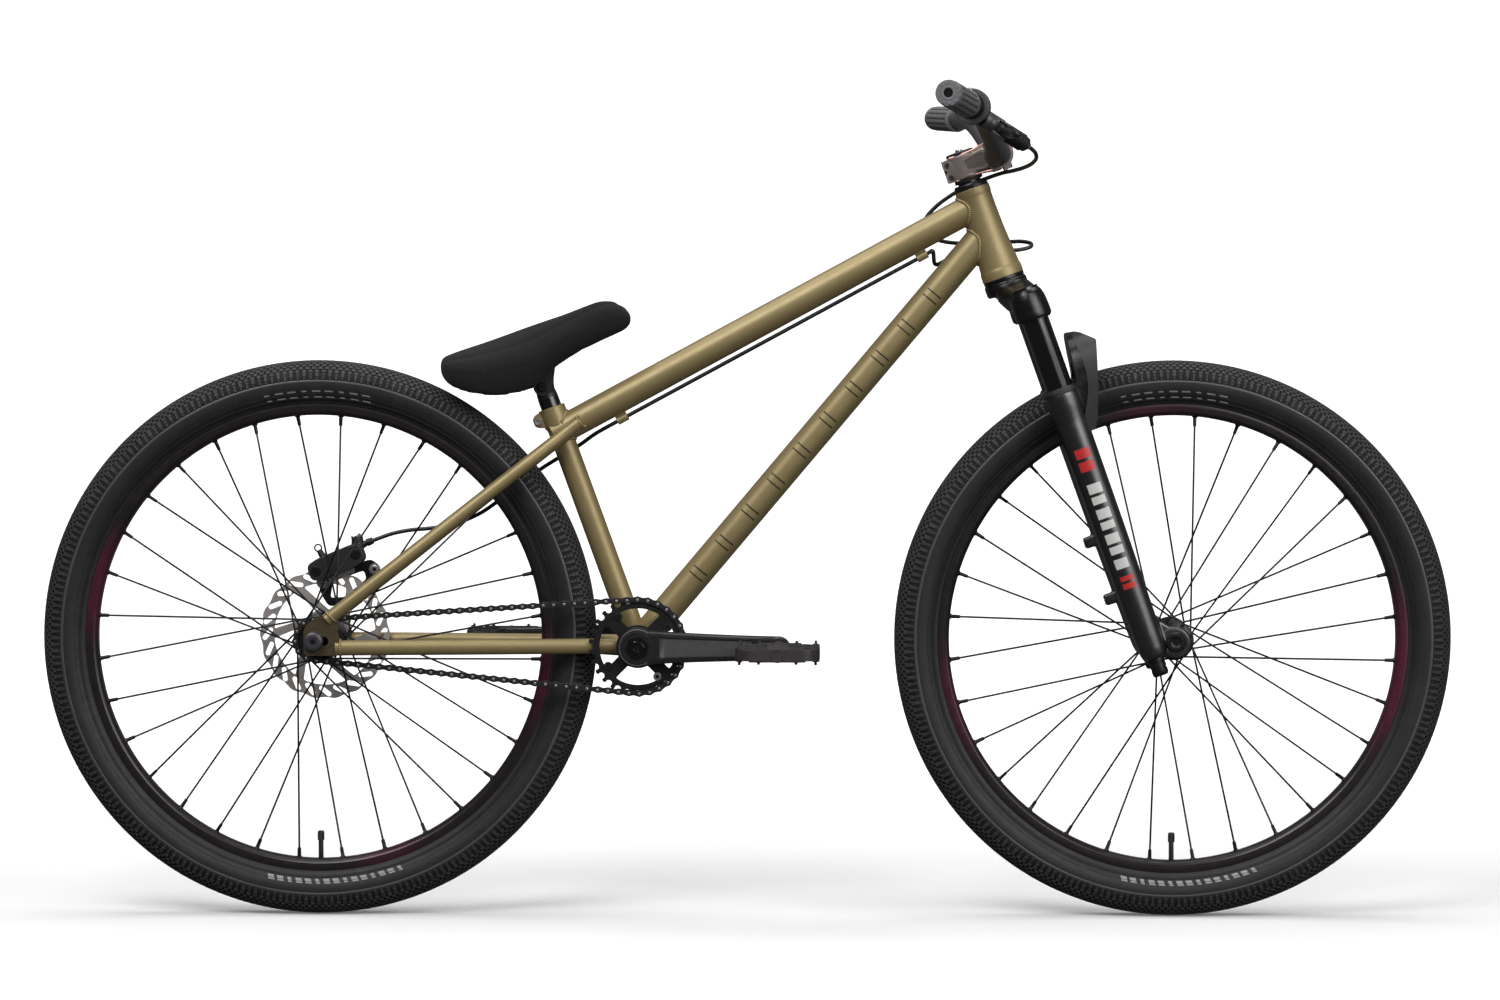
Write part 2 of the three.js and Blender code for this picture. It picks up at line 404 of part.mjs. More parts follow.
const archSide = [[46.6, -144.4], [61.5, -148.2], [77.8, -163.1], [65, -204], [47.5, -253], [40, -268], [18, -268], [18, -225], [34, -214], [40.2, -198]];
const arch = plateYZ(archFront, 0, 100).intersect(plateXZ(archSide, -90, 90));
const bores = join(rod([FN, FORK_Y, -430], [FN, FORK_Y, -200], STANCHION_R + 0.4, STANCHION_R + 0.4, 16), rod([FN, -FORK_Y, -430], [FN, -FORK_Y, -200], STANCHION_R + 0.4, STANCHION_R + 0.4, 16));
const axleHole = rod([AXLE_N, -90, -AXLE_S], [AXLE_N, 90, -AXLE_S], 7.9, 7.9, 16);
const post = (z) => box([-14, FORK_Y - 12, z - 7], [6, FORK_Y + 2, z + 7]);
const POST_S = [398, 472]; // front brake posts, 74 mm apart
const brakePosts = join(...POST_S.map((v) => cut(post(-v), rod([-20, FORK_Y - 5, -v], [0, FORK_Y - 5, -v], 3, 3, 6))));
const lowers = cut(join(...legs.flat(), arch, brakePosts), bores, axleHole);
add(steer, "fork_lowers", lowers, "black");
add(steer, "front_axle", join(
  rod([AXLE_N, -66.5, -AXLE_S], [AXLE_N, 66.5, -AXLE_S], 7.5, 7.5, 16),
  rod([AXLE_N, -70, -AXLE_S], [AXLE_N, -66.4, -AXLE_S], 12, 12, 16), rod([AXLE_N, 66.4, -AXLE_S], [AXLE_N, 70, -AXLE_S], 12, 12, 16)), "black");

// ---------------------------------------------------------------- stem and bar
const CLAMP_N = 42, CLAMP_Z = 86;
const stemCore = join(
  rod([0, 0, 66.2], [0, 0, 72], 17.4, 17.4, 16), // spacer under the clamp
  rod([0, 0, 71], [0, 0, 99.6], 19.2, 19.2, 16),
  box([-21, -11, 72.5], [-8, 11, 98.2]),
  plateXZ([[-1, 71.4], [34, 68], [34, 104], [18, 99.4], [-1, 99]], -17, 17),
  rod([CLAMP_N, -23, CLAMP_Z], [CLAMP_N, 23, CLAMP_Z], 19.6, 19.6, 16),
  box([31, -23, 66.6], [48, 23, 105.4]));
const steererBore = rod([0, 0, 60], [0, 0, 110], 14.7, 14.7, 16);
const barBore = rod([CLAMP_N, -40, CLAMP_Z], [CLAMP_N, 40, CLAMP_Z], CLAMP_R + 0.6, CLAMP_R + 0.6, 16);
const stemSlit = box([-30, -1, 70.6], [-12, 1, 110]);
const faceBlock = join(rod([CLAMP_N, -23, CLAMP_Z], [CLAMP_N, 23, CLAMP_Z], 19.6, 19.6, 16), box([44, -23, 66.6], [50, 23, 105.4]));
add(steer, "stem_body", cut(stemCore, steererBore, barBore, stemSlit, box([42.6, -60, 40], [100, 60, 130])), "stem");
add(steer, "stem_faceplate", cut(faceBlock, barBore, box([0, -60, 40], [44.2, 60, 130])), "stem");
add(steer, "headset_top_cap", join(rod([0, 0, 99.9], [0, 0, 104.4], 17.2, 16.4, 16), rod([0, 0, 101.5], [0, 0, 107], 4.4, 4.4, 8)), "black");

const barSide = (sg) => [[50, 303.1, 924], [75, 299.8, 930], [101, 293.8, 940.9], [130, 286, 955], [160, 278.2, 965.8], [190, 272.1, 970.75], [230, 264.9, 972.7], [280, 255.95, 975.13], [330, 246.97, 977.56], [380, 238, 980]].map(([y, x, z]) => [x, sg * y, z]);
const barPath = [...barSide(-1).reverse(), [303.6, -28, 922.9], [303.6, 28, 922.9], ...barSide(1)];
const BAR_STEPS = 32;
const barRadius = (y) => (y < 34 ? CLAMP_R : y < 102 ? CLAMP_R + (BAR_R - CLAMP_R) * (y - 34) / 68 : BAR_R);
// The clamp zone is thicker: each ring of the tube is scaled about its own centre.
function barGeometry() {
  const g = tubeGeometry(barPath, 1, 1, 12, BAR_STEPS);
  const centres = new THREE.CatmullRomCurve3(barPath.map((p) => V(...p)), false, "centripetal").getSpacedPoints(BAR_STEPS);
  const pos = g.attributes.position, v = V(0, 0, 0);
  for (let i = 0; i < pos.count; i++) {
    v.fromBufferAttribute(pos, i);
    const c = centres.reduce((best, p) => (p.distanceToSquared(v) < best.distanceToSquared(v) ? p : best));
    v.sub(c).multiplyScalar(barRadius(Math.abs(c.y))).add(c);
    pos.setXYZ(i, v.x, v.y, v.z);
  }
  return g;
}
// hollow ends, as deep as the grips
const barEnd = (sg) => rod([246.5, sg * 333, 977.7], [237, sg * 385.6, 980.3], 8.6, 8.6, 8);
add(group, "handlebar", cut(solid(barGeometry()), barEnd(1), barEnd(-1)), "black");
const barAt = (y, sg) => [273 - 35 * (y - 185) / 195, sg * y, 970.5 + 9.5 * (y - 185) / 195];
for (const [side, sg] of [["right", -1], ["left", 1]]) {
  add(group, "grip_" + side, turnedOn([[11.9, 0], [17, 0], [17, 4.5], [15.4, 6], [15.4, 130], [15, 141], [0, 141], [0, 138.2], [11.9, 138.2]], 14, barAt(246, sg), barAt(384, sg)), "grip");
}

// Brake master on the right: clamp round the bar, angled cylinder, hose leaving at its front end.
const mA = barAt(208, -1);
const clampDir = V(-35 / 195, -1, 9.5 / 195).normalize();
const ringA = V(...mA).addScaledVector(clampDir, -7), ringB = V(...mA).addScaledVector(clampDir, 7);
const cyl0 = [283, -206, 957.5], cyl1 = [333.5, -176, 927.5];
const hoseStart = [338, -173.3, 924.8];
const master = join(
  rod(ringA.toArray(), ringB.toArray(), 15.6, 15.6, 14),
  rod([272, -207.5, 966], [299, -204, 948], 9, 9.5, 10),
  rod(cyl0, cyl1, 11.5, 9.5, 12),
  rod([332, -176.9, 928.4], [337.2, -173.8, 925.3], 5.2, 4.6, 8));
// lever plane: contains the bar's line and the direction from the bar to the blade
const leverAxis = V(0.586, 0, 0.81).normalize();
const leverPivot = V(303, -222, 944.5);
const lv = (y, f) => { const o = V(0.81, 0, -0.586).multiplyScalar(f); return [leverPivot.x + o.x, y, leverPivot.z + o.z]; };
const blade = tube([lv(-218, 0), lv(-232, 5), lv(-250, 11), lv(-272, 13.5), lv(-298, 12), lv(-322, 13), lv(-338, 16)], 5.2, 3.6, 8, 14);
const lr = (a) => leverPivot.clone().addScaledVector(leverAxis, a).toArray();
const leverHub = rod(lr(-6), lr(6), 7.2, 7.2, 12);
const leverM = new THREE.Matrix4().makeBasis(V(0.81, 0, -0.586), V(0, 1, 0), V(0.586, 0, 0.81)).setPosition(leverPivot);
// two cheeks hold the blade's pivot
const cheeks = moved(join(box([-8, -8, -9.5], [8, 24, -6.5]), box([-8, -8, 6.5], [8, 24, 9.5])), leverM);
const leverClear = moved(box([-16, -60, -6.5], [40, 9.2, 6.5]), leverM);
add(group, "brake_master", cut(join(cut(master, leverClear), cheeks),
  rod(V(...mA).addScaledVector(clampDir, -40).toArray(), V(...mA).addScaledVector(clampDir, 40).toArray(), BAR_R + 0.7, BAR_R + 0.7, 14)), "black");
add(group, "brake_lever", join(blade, leverHub), "black");

// ---------------------------------------------------------------- hose
const hoseAt = (x, off) => { const c = V(x, 0, lineZ(TOP_TUBE, x)).addScaledVector(ttNorm, off); return [c.x, 0, c.z]; };
const hoseFrontPath = [
  hoseStart, [343.2, -169, 920], [345.5, -155, 914], [341.5, -128, 908], [333, -92, 904], [322, -52, 901.4], [310, -12, 899.6], [296, 20, 895.5],
  [276, 40, 888], [252, 50, 875.5], [231, 55, 860], [219, 57, 845], [220, 58, 831], [233, 60, 820.5], [258, 62, 816], [288, 63, 816], [318, 62, 817.5], [337, 57, 818], [347, 48, 815.5], [346.5, 39, 811.5],
  [334, 33, 808], [310, 33, 806], [284, 35, 803.5], [262, 33, 799.5], [244, 24, 795], [230, 11, 790], [218.5, 2.5, 784.5],
];
const fEnd = hoseAt(GUIDE_F + 12.5, HOSE_OFF);
hoseFrontPath[hoseFrontPath.length - 1] = [fEnd[0], 0.6, fEnd[2]];
const fEnd2 = hoseAt(GUIDE_F + 8, HOSE_OFF);
hoseFrontPath.push([fEnd2[0], 0, fEnd2[2]]);
add(group, "hose_front", tubeGeometry(hoseFrontPath, HOSE_R, HOSE_R, 8, 42), "hose");
const rEnd = hoseAt(GUIDE_F + 7.7, HOSE_OFF);
const calHose = [-466.3, 62, 448.6];
const hoseRearPath = [
  rEnd, hoseAt(GUIDE_F - 10, HOSE_OFF), hoseAt(150, HOSE_OFF), hoseAt(90, HOSE_OFF), hoseAt(20, HOSE_OFF), hoseAt(-60, HOSE_OFF), hoseAt(-120, HOSE_OFF), hoseAt(GUIDE_R + 8, HOSE_OFF), hoseAt(GUIDE_R - 8, HOSE_OFF),
  [-183, 7.5, 584], [-202, 22, 570.5], [-229.8, 41, 553.6], [-252.5, 50, 539.2], [-304.8, 58, 500], [-329, 61, 484], [-360, 64.5, 471.5], [-389, 66, 466.3], [-412.9, 65.5, 464.1], [-435.1, 64.5, 459.8], [-453, 63, 453.6], calHose,
];
add(group, "hose_rear", tubeGeometry(hoseRearPath, HOSE_R, HOSE_R, 8, 50), "hose");

// ---------------------------------------------------------------- wheels
function tyreRing(x) {
  const pts = [];
  const cr = TYRE_R - TYRE_W / 2; // centre of the section
  for (let i = 0; i <= 8; i++) { const a = (-62 + 304 * (i / 8)) * DEG; pts.push([cr + (TYRE_W / 2) * Math.sin(a), (TYRE_W / 2) * Math.cos(a)]); }
  for (let i = 4; i >= 0; i--) { const a = (-58 + 296 * (i / 4)) * DEG; pts.push([cr + (TYRE_W / 2 - 4) * Math.sin(a), (TYRE_W / 2 - 4) * Math.cos(a)]); }
  return turnedY(pts, 36, x, AXLE_Z);
}
function rimRing(x) {
  return turnedY([
    [RIM_IN_R, -8], [RIM_IN_R, 8], [275, 13], [282.6, 12.6], [276.5, 9],
    [276.5, -9], [282.6, -12.6], [275, -13],
  ], 32, x, AXLE_Z);
}
// Half of the spokes of a wheel: sixteen, laced three cross, on one flange.
function spokeSet(x, sg, flangeY, holeR) {
  const step = 360 / SPOKES;
  const start = 84.375 + (sg > 0 ? step : 0);
  let all = turnedY([[holeR - 1.6, sg * flangeY - 2.6], [holeR + 1.6, sg * flangeY - 2.6], [holeR + 1.6, sg * flangeY + 2.6], [holeR - 1.6, sg * flangeY + 2.6]], 16, x, AXLE_Z);
  for (let k = 0; k < 8; k++) {
    for (const way of [-1, 1]) {
      const rimA = (start + 45 * k + (way > 0 ? 22.5 : 0)) * DEG;
      const hubA = rimA + way * 67.5 * DEG;
      const p = [x + holeR * Math.cos(hubA), sg * (flangeY + way * 1.5), AXLE_Z + holeR * Math.sin(hubA)];
      const q = [x + (RIM_IN_R - 2) * Math.cos(rimA), sg * 3, AXLE_Z + (RIM_IN_R - 2) * Math.sin(rimA)];
      all = all.add(rod(p, q, SPOKE_R, SPOKE_R, 3));
    }
  }
  return all;
}
const hubRing = (profile, seg, x) => turnedY(profile, seg, x, AXLE_Z);

// front
add(group, "front_tyre", tyreRing(FRONT_X), "rubber");
add(group, "front_rim", rimRing(FRONT_X), "black");
add(group, "front_spokes_right", spokeSet(FRONT_X, -1, 38.8, 20.5), "black");
add(group, "front_spokes_left", spokeSet(FRONT_X, 1, 38.8, 20.5), "black");
add(group, "front_hub", hubRing([
  [8, -50.5], [12.5, -50.5], [15, -38], [17.5, -33.8], [23.5, -33.8], [23.5, -30.8], [14, -24],
  [14, 24], [23.5, 30.8], [23.5, 33.8], [17.5, 33.8], [15, 38], [12.5, 50.5], [8, 50.5],
], 12, FRONT_X), "black");

// rear
add(group, "rear_tyre", tyreRing(REAR_X), "rubber");
add(group, "rear_rim", rimRing(REAR_X), "black");
add(group, "rear_spokes_right", spokeSet(REAR_X, -1, 37.4, 24.6), "black");
add(group, "rear_spokes_left", spokeSet(REAR_X, 1, 37.4, 24.6), "black");
add(group, "rear_hub", hubRing([
  [5.7, -38.2], [19, -38.2], [20, -31.9], [27.5, -31.9], [27.5, -28.6], [16, -20], [16, 20],
  [27.5, 28.6], [27.5, 31.9], [20, 31.9], [22, 39], [22, ROTOR_Y - 1.2], [16.9, ROTOR_Y - 1.2], [16.9, ROTOR_Y + 3], [12, ROTOR_Y + 4], [12, 66.8], [5.7, 66.8],
], 12, REAR_X), "black");

// Rotor: brake track, six swept arms and a bolted centre.
const rotorHoles = [];
for (let k = 0; k < 6; k++) {
  const a0 = k * 60, pts = [];
  for (let i = 0; i <= 3; i++) { const a = (a0 + 8 + 44 * i / 3) * DEG; pts.push([REAR_X + 62 * Math.cos(a), AXLE_Z + 62 * Math.sin(a)]); }
  for (let i = 2; i >= 0; i--) { const a = (a0 - 14 + 38 * i / 2) * DEG; pts.push([REAR_X + 28 * Math.cos(a), AXLE_Z + 28 * Math.sin(a)]); }
  rotorHoles.push(pts);
}
add(group, "brake_rotor", plateXZ(circle(REAR_X, AXLE_Z, ROTOR_R, 36), ROTOR_Y - 0.9, ROTOR_Y + 0.9, [circle(REAR_X, AXLE_Z, 17.6, 16), ...rotorHoles]), "steel");

// Rear axle with its two bolt heads, tightened outside the dropouts.
add(group, "rear_axle", join(
  rod([REAR_X, -75.2, AXLE_Z], [REAR_X, 75.2, AXLE_Z], 5, 5, 16),
  rod([REAR_X, -83, AXLE_Z], [REAR_X, -74.8, AXLE_Z], 10.4, 11.6, 16), rod([REAR_X, 74.8, AXLE_Z], [REAR_X, 83, AXLE_Z], 11.6, 10.4, 16)), "black");

// ---------------------------------------------------------------- drivetrain
function sprocket(teeth, pr, x, z, turn, holes) {
  const pts = [];
  for (let k = 0; k < teeth; k++) {
    const a = turn + (k / teeth) * 2 * Math.PI, w = Math.PI / teeth;
    for (const [f, r] of [[-0.55, -3.6], [0, 2.2], [0.55, -3.6]])
      pts.push([x + (pr + r) * Math.cos(a + f * w), z + (pr + r) * Math.sin(a + f * w)]);
  }
  return plateXZ(pts, CHAIN_Y - 1.4, CHAIN_Y + 1.4, holes);
}
const ringHoles = [];
for (let k = 0; k < 4; k++) {
  const pts = [];
  for (let i = 0; i <= 5; i++) { const a = (-34 + k * 90 + 68 * i / 5) * DEG; pts.push([BB[0] + 46 * Math.cos(a), BB[1] + 46 * Math.sin(a)]); }
  for (let i = 3; i >= 0; i--) { const a = (-24 + k * 90 + 48 * i / 3) * DEG; pts.push([BB[0] + 26 * Math.cos(a), BB[1] + 26 * Math.sin(a)]); }
  ringHoles.push(pts);
}
add(group, "chainring", sprocket(RING_T, RING_PR, BB[0], BB[1], Math.PI / 2 + Math.PI / RING_T, [...ringHoles, circle(BB[0], BB[1], 15.3, 16)]), "black");
// Cog on its driver: the driver turns on the axle.
const cog = sprocket(COG_T, COG_PR, REAR_X, AXLE_Z, Math.PI / 2 + Math.PI / COG_T, [circle(REAR_X, AXLE_Z, 5.8, 16)]);
const driver = turnedY([[5.8, -66.8], [9, -66.8], [9, -56], [16.5, -55], [16.5, -38.8], [5.8, -38.8]], 16, REAR_X, AXLE_Z);
add(group, "rear_cog", join(cog, driver), "black");

// Chain: two rows of plates and the row of rollers' outer side, open towards the sprockets.
function loop(off, n = 16) {
  const r1 = COG_PR + off, r2 = RING_PR + off;
  const dx = BB[0] - REAR_X, dz = BB[1] - AXLE_Z, d = Math.hypot(dx, dz);
  const base = Math.atan2(dz, dx), open = Math.acos((COG_PR - RING_PR) / d);
  const pts = [];
  for (let i = 0; i <= n; i++) { const a = base - open + 2 * open * (i / n); pts.push([BB[0] + r2 * Math.cos(a), BB[1] + r2 * Math.sin(a)]); }
  const m = Math.round(n * 0.7);
  for (let i = 0; i <= m; i++) { const a = base + open + (2 * Math.PI - 2 * open) * (i / m); pts.push([REAR_X + r1 * Math.cos(a), AXLE_Z + r1 * Math.sin(a)]); }
  return pts;
}
add(group, "chain", cut(plateXZ(loop(4.2), CHAIN_Y - 4.4, CHAIN_Y + 4.4), plateXZ(loop(-4.2), CHAIN_Y - 10, CHAIN_Y + 10), plateXZ(loop(3.0), CHAIN_Y - 2.6, CHAIN_Y + 2.6)), "black");

// Cranks: right arm forward, left arm rearward, on one spindle.
add(group, "crank_spindle", cut(
  rod([BB[0], -67, BB[1]], [BB[0], 67, BB[1]], 12, 12, 16), rod([BB[0], -70, BB[1]], [BB[0], 70, BB[1]], 9, 9, 12)), "steel");
function crankArm(sg, fwd) {
  const x0 = BB[0], z0 = BB[1], tip = fwd * CRANK;
  const y = (v) => sg * v;
  const sideShape = [];
  for (let i = 0; i <= 12; i++) { const a = (fwd > 0 ? 90 : -90) * DEG + Math.PI * (i / 12); sideShape.push([x0 + 22.5 * Math.cos(a), z0 + 22.5 * Math.sin(a)]); }
  for (let i = 0; i <= 10; i++) { const a = (fwd > 0 ? -90 : 90) * DEG + Math.PI * (i / 10); sideShape.push([x0 + tip + 14.5 * Math.cos(a), z0 + 14.5 * Math.sin(a)]); }
  const side = plateXZ(sideShape, y(40), y(100));
  const topOutline = [[-24, 56], [-24, 68], [-8, 71], [24, 72], [70, 75], [CRANK - 18, 83], [CRANK + 18, 83], [CRANK + 18, 69], [CRANK - 24, 68], [60, 60], [24, 56]]
    .map(([x, yy]) => [x0 + fwd * x, sg * yy]);
  const arm = side.intersect(plateXY(topOutline, z0 - 60, z0 + 60));
  const bore = rod([x0, y(30), z0], [x0, y(67.4), z0], 12.35, 12.35, 16);
  const pedalBore = rod([x0 + tip, y(60), z0], [x0 + tip, y(95), z0], 7.6, 7.6, 16);
  return { arm, bore, pedalBore };
}
{
  const r = crankArm(-1, 1);
  // spider hub behind the right arm carries the chainring
  const hub = rod([BB[0], -58, BB[1]], [BB[0], -51.8, BB[1]], 24, 24, 16);
  const core = rod([BB[0], -57, BB[1]], [BB[0], -47.6, BB[1]], 14.9, 14.9, 16);
  add(group, "crank_arm_right", cut(join(r.arm, hub, core), r.bore, r.pedalBore), "black");
  const l = crankArm(1, -1);
  const lcore = rod([BB[0], 47.6, BB[1]], [BB[0], 58, BB[1]], 16.5, 18, 16);
  add(group, "crank_arm_left", cut(join(l.arm, lcore), l.bore, l.pedalBore), "black");
}
// Pedals: thin platform with windows on each side of the axle tube, pins at the edges.
function pedal(sg, fwd) {
  const cx = BB[0] + fwd * CRANK, cz = BB[1];
  const y0 = 91, y1 = 194;
  const outline = [[-36, y0], [36, y0], [50, y0 + 14], [50, y1 - 12], [38, y1], [-38, y1], [-50, y1 - 12], [-50, y0 + 14]].map(([x, y]) => [cx + x, sg * y]);
  const win = (a, b, t) => [[a, y0 + 17 + t], [b, y0 + 15], [b + t, y1 - 13], [a + 1, y1 - 15 - t]].map(([x, y]) => [cx + x, sg * y]);
  const body = plateXY(outline, cz - 8, cz + 8, [win(-40, -13, 0.4), win(40, 13, -0.7)]);
  const pin = (x, y) => rod([cx + x, sg * y, cz - 12.5], [cx + x, sg * y, cz + 12.5], 1.8, 1.8, 4);
  const pins = [[-45, y0 + 22], [-45, (y0 + y1) / 2], [-45, y1 - 20], [45, y0 + 22], [45, (y0 + y1) / 2], [45, y1 - 20]].map(([x, y]) => pin(x, y));
  const bore = rod([cx, sg * 80, cz], [cx, sg * (y1 - 10), cz], 6.5, 6.5, 16);
  return cut(join(body, ...pins), bore);
}
add(group, "pedal_right", pedal(-1, 1), "black");
add(group, "pedal_left", pedal(1, -1), "black");
for (const [side, sg, fwd] of [["right", -1, 1], ["left", 1, -1]]) {
  const cx = BB[0] + fwd * CRANK;
  add(group, "pedal_axle_" + side, join(rod([cx, sg * 68.5, BB[1]], [cx, sg * 84, BB[1]], 7.1, 7.1, 16), rod([cx, sg * 83.6, BB[1]], [cx, sg * 89.5, BB[1]], 8.6, 8.6, 16),
    rod([cx, sg * 89, BB[1]], [cx, sg * 182, BB[1]], 6.1, 6.1, 16)), "steel");
}

// ---------------------------------------------------------------- rear brake
// Caliper above the rotor, on a bracket from the left dropout; pads inside its slot.
const calC = [-503.7, 426.5];
const calM = new THREE.Matrix4().makeTranslation(calC[0], 0, calC[1]).multiply(new THREE.Matrix4().makeRotationY(-20 * DEG));
const calBody = cut(join(
  plateXZ([[-35, -13], [-22, -16], [20, -15], [36, -11], [36, 9], [24, 13], [-20, 11], [-35, 7]], ROTOR_Y - 14, ROTOR_Y + 16),
  rod([30, ROTOR_Y + 10, 8], [34, ROTOR_Y + 10, 21], 5.5, 4.6, 8)),
  box([-60, ROTOR_Y - 3.2, -40], [60, ROTOR_Y + 3.2, 4]));
const bracket = plateXZ([[-514, 370.8], [-498, 371], [-478, 386], [-452, 407], [-450, 420], [-462, 428], [-470, 426], [-520, 407], [-527, 400], [-522, 384]],
  ROTOR_Y + 5.5, ROTOR_Y + 15.2, [[[-508, 384], [-492, 387], [-475, 402], [-480, 410], [-507, 399]]]);
const cal = cut(join(moved(calBody, calM), bracket), tube(ssPath(1), 8.5, 8.5, 12, 15));
add(group, "brake_caliper", cal, "black");
const padShape = [[-16, -22], [18, -21], [19, -6], [14, 2], [-12, 2], [-17, -6]];
for (const [name, y0, y1] of [["brake_pad_inner", ROTOR_Y - 2.9, ROTOR_Y - 1.6], ["brake_pad_outer", ROTOR_Y + 1.6, ROTOR_Y + 2.9]])
  add(group, name, moved(plateXZ(padShape, y0, y1), calM), "pad");

export default group;
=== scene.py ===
# Looks of the dirt jump bike: fine meshes and node materials on the fixed CAD frame.
import bpy, bmesh, math
import numpy as np
from math import pi, sin, cos, radians, hypot, atan2, acos, sqrt
from mathutils import Matrix, Vector
from mathutils.geometry import tessellate_polygon


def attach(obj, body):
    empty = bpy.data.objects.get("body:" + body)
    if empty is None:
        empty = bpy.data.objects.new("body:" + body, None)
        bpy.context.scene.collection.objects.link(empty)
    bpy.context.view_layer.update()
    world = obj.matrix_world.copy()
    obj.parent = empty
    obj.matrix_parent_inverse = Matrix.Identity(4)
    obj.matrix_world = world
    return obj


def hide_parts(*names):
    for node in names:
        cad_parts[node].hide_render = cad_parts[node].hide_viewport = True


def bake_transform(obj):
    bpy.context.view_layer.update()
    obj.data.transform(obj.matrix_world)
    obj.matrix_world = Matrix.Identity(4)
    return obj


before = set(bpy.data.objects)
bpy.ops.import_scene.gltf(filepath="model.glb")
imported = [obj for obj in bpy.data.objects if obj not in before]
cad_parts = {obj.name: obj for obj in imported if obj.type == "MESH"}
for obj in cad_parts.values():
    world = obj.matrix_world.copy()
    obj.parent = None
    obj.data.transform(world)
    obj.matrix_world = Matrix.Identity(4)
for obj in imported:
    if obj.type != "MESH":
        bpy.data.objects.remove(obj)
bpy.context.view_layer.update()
scene = bpy.context.scene

# ------------------------------------------------------------------ camera, light
cam_data = bpy.data.cameras.new("camera")
cam_data.lens = 112.8
cam_data.sensor_width = 36
cam_data.dof.use_dof = False
cam_data.clip_start, cam_data.clip_end = 0.1, 200
cam = bpy.data.objects.new("camera", cam_data)
scene.collection.objects.link(cam)
cam.location = (0.125, -5.696, 0.753)
cam.rotation_euler = (radians(90 - 2.5), 0, radians(1.2))
scene.camera = cam

# ------------------------------------------------------------------ mesh helpers (millimetres)
I4 = Matrix.Identity(4)


def vadd(a, b, k=1.0):
    return tuple(x + y * k for x, y in zip(a, b))


def unit(v):
    v = Vector(v)
    return v.normalized()


def lerp(a, b, t):
    return a + (b - a) * t


def rp(pts, r, n=4, closed=True):
    """Rounds the corners of an outline. r is one radius or one per point."""
    out, m = [], len(pts)
    rs = r if isinstance(r, (list, tuple)) else [r] * m
    for i, p in enumerate(pts):
        if not closed and i in (0, m - 1):
            out.append(tuple(p))
            continue
        a, b = pts[i - 1], pts[(i + 1) % m]
        da = [a[k] - p[k] for k in range(len(p))]
        db = [b[k] - p[k] for k in range(len(p))]
        la, lb = sqrt(sum(x * x for x in da)), sqrt(sum(x * x for x in db))
        if rs[i] <= 0 or la < 1e-9 or lb < 1e-9:
            out.append(tuple(p))
            continue
        d = min(rs[i], la * 0.48, lb * 0.48)
        s = [p[k] + da[k] / la * d for k in range(len(p))]
        e = [p[k] + db[k] / lb * d for k in range(len(p))]
        for j in range(n + 1):
            t = j / n
            out.append(tuple((1 - t) ** 2 * s[k] + 2 * t * (1 - t) * p[k] + t * t * e[k] for k in range(len(p))))
    return out


def spline(pts, n, closed=False):
    """n points along a centripetal Catmull-Rom curve, evenly spaced by length."""
    P = [np.array(p, float) for p in pts]
    m = len(P)
    seg = m if closed else m - 1
    dense = []
    for i in range(seg):
        if closed:
            p0, p1, p2, p3 = P[(i - 1) % m], P[i], P[(i + 1) % m], P[(i + 2) % m]
        else:
            p1, p2 = P[i], P[i + 1]
            p0 = P[i - 1] if i > 0 else p1 + (p1 - p2)
            p3 = P[i + 2] if i + 2 < m else p2 + (p2 - p1)
        t0 = 0.0
        t1 = t0 + max(np.linalg.norm(p1 - p0), 1e-6) ** 0.5
        t2 = t1 + max(np.linalg.norm(p2 - p1), 1e-6) ** 0.5
        t3 = t2 + max(np.linalg.norm(p3 - p2), 1e-6) ** 0.5
        for j in range(16):
            t = t1 + (t2 - t1) * j / 16
            a1 = (t1 - t) / (t1 - t0) * p0 + (t - t0) / (t1 - t0) * p1
            a2 = (t2 - t) / (t2 - t1) * p1 + (t - t1) / (t2 - t1) * p2
            a3 = (t3 - t) / (t3 - t2) * p2 + (t - t2) / (t3 - t2) * p3
            b1 = (t2 - t) / (t2 - t0) * a1 + (t - t0) / (t2 - t0) * a2
            b2 = (t3 - t) / (t3 - t1) * a2 + (t - t1) / (t3 - t1) * a3
            dense.append((t2 - t) / (t2 - t1) * b1 + (t - t1) / (t2 - t1) * b2)
    dense.append(P[0] if closed else P[-1])
    D = np.array(dense)
    s = np.concatenate([[0], np.cumsum(np.linalg.norm(np.diff(D, axis=0), axis=1))])
    want = np.linspace(0, s[-1], n + 1 if closed else n)
    if closed:
        want = want[:-1]
    return [tuple(np.interp(w, s, D[:, k]) for k in range(D.shape[1])) for w in want]


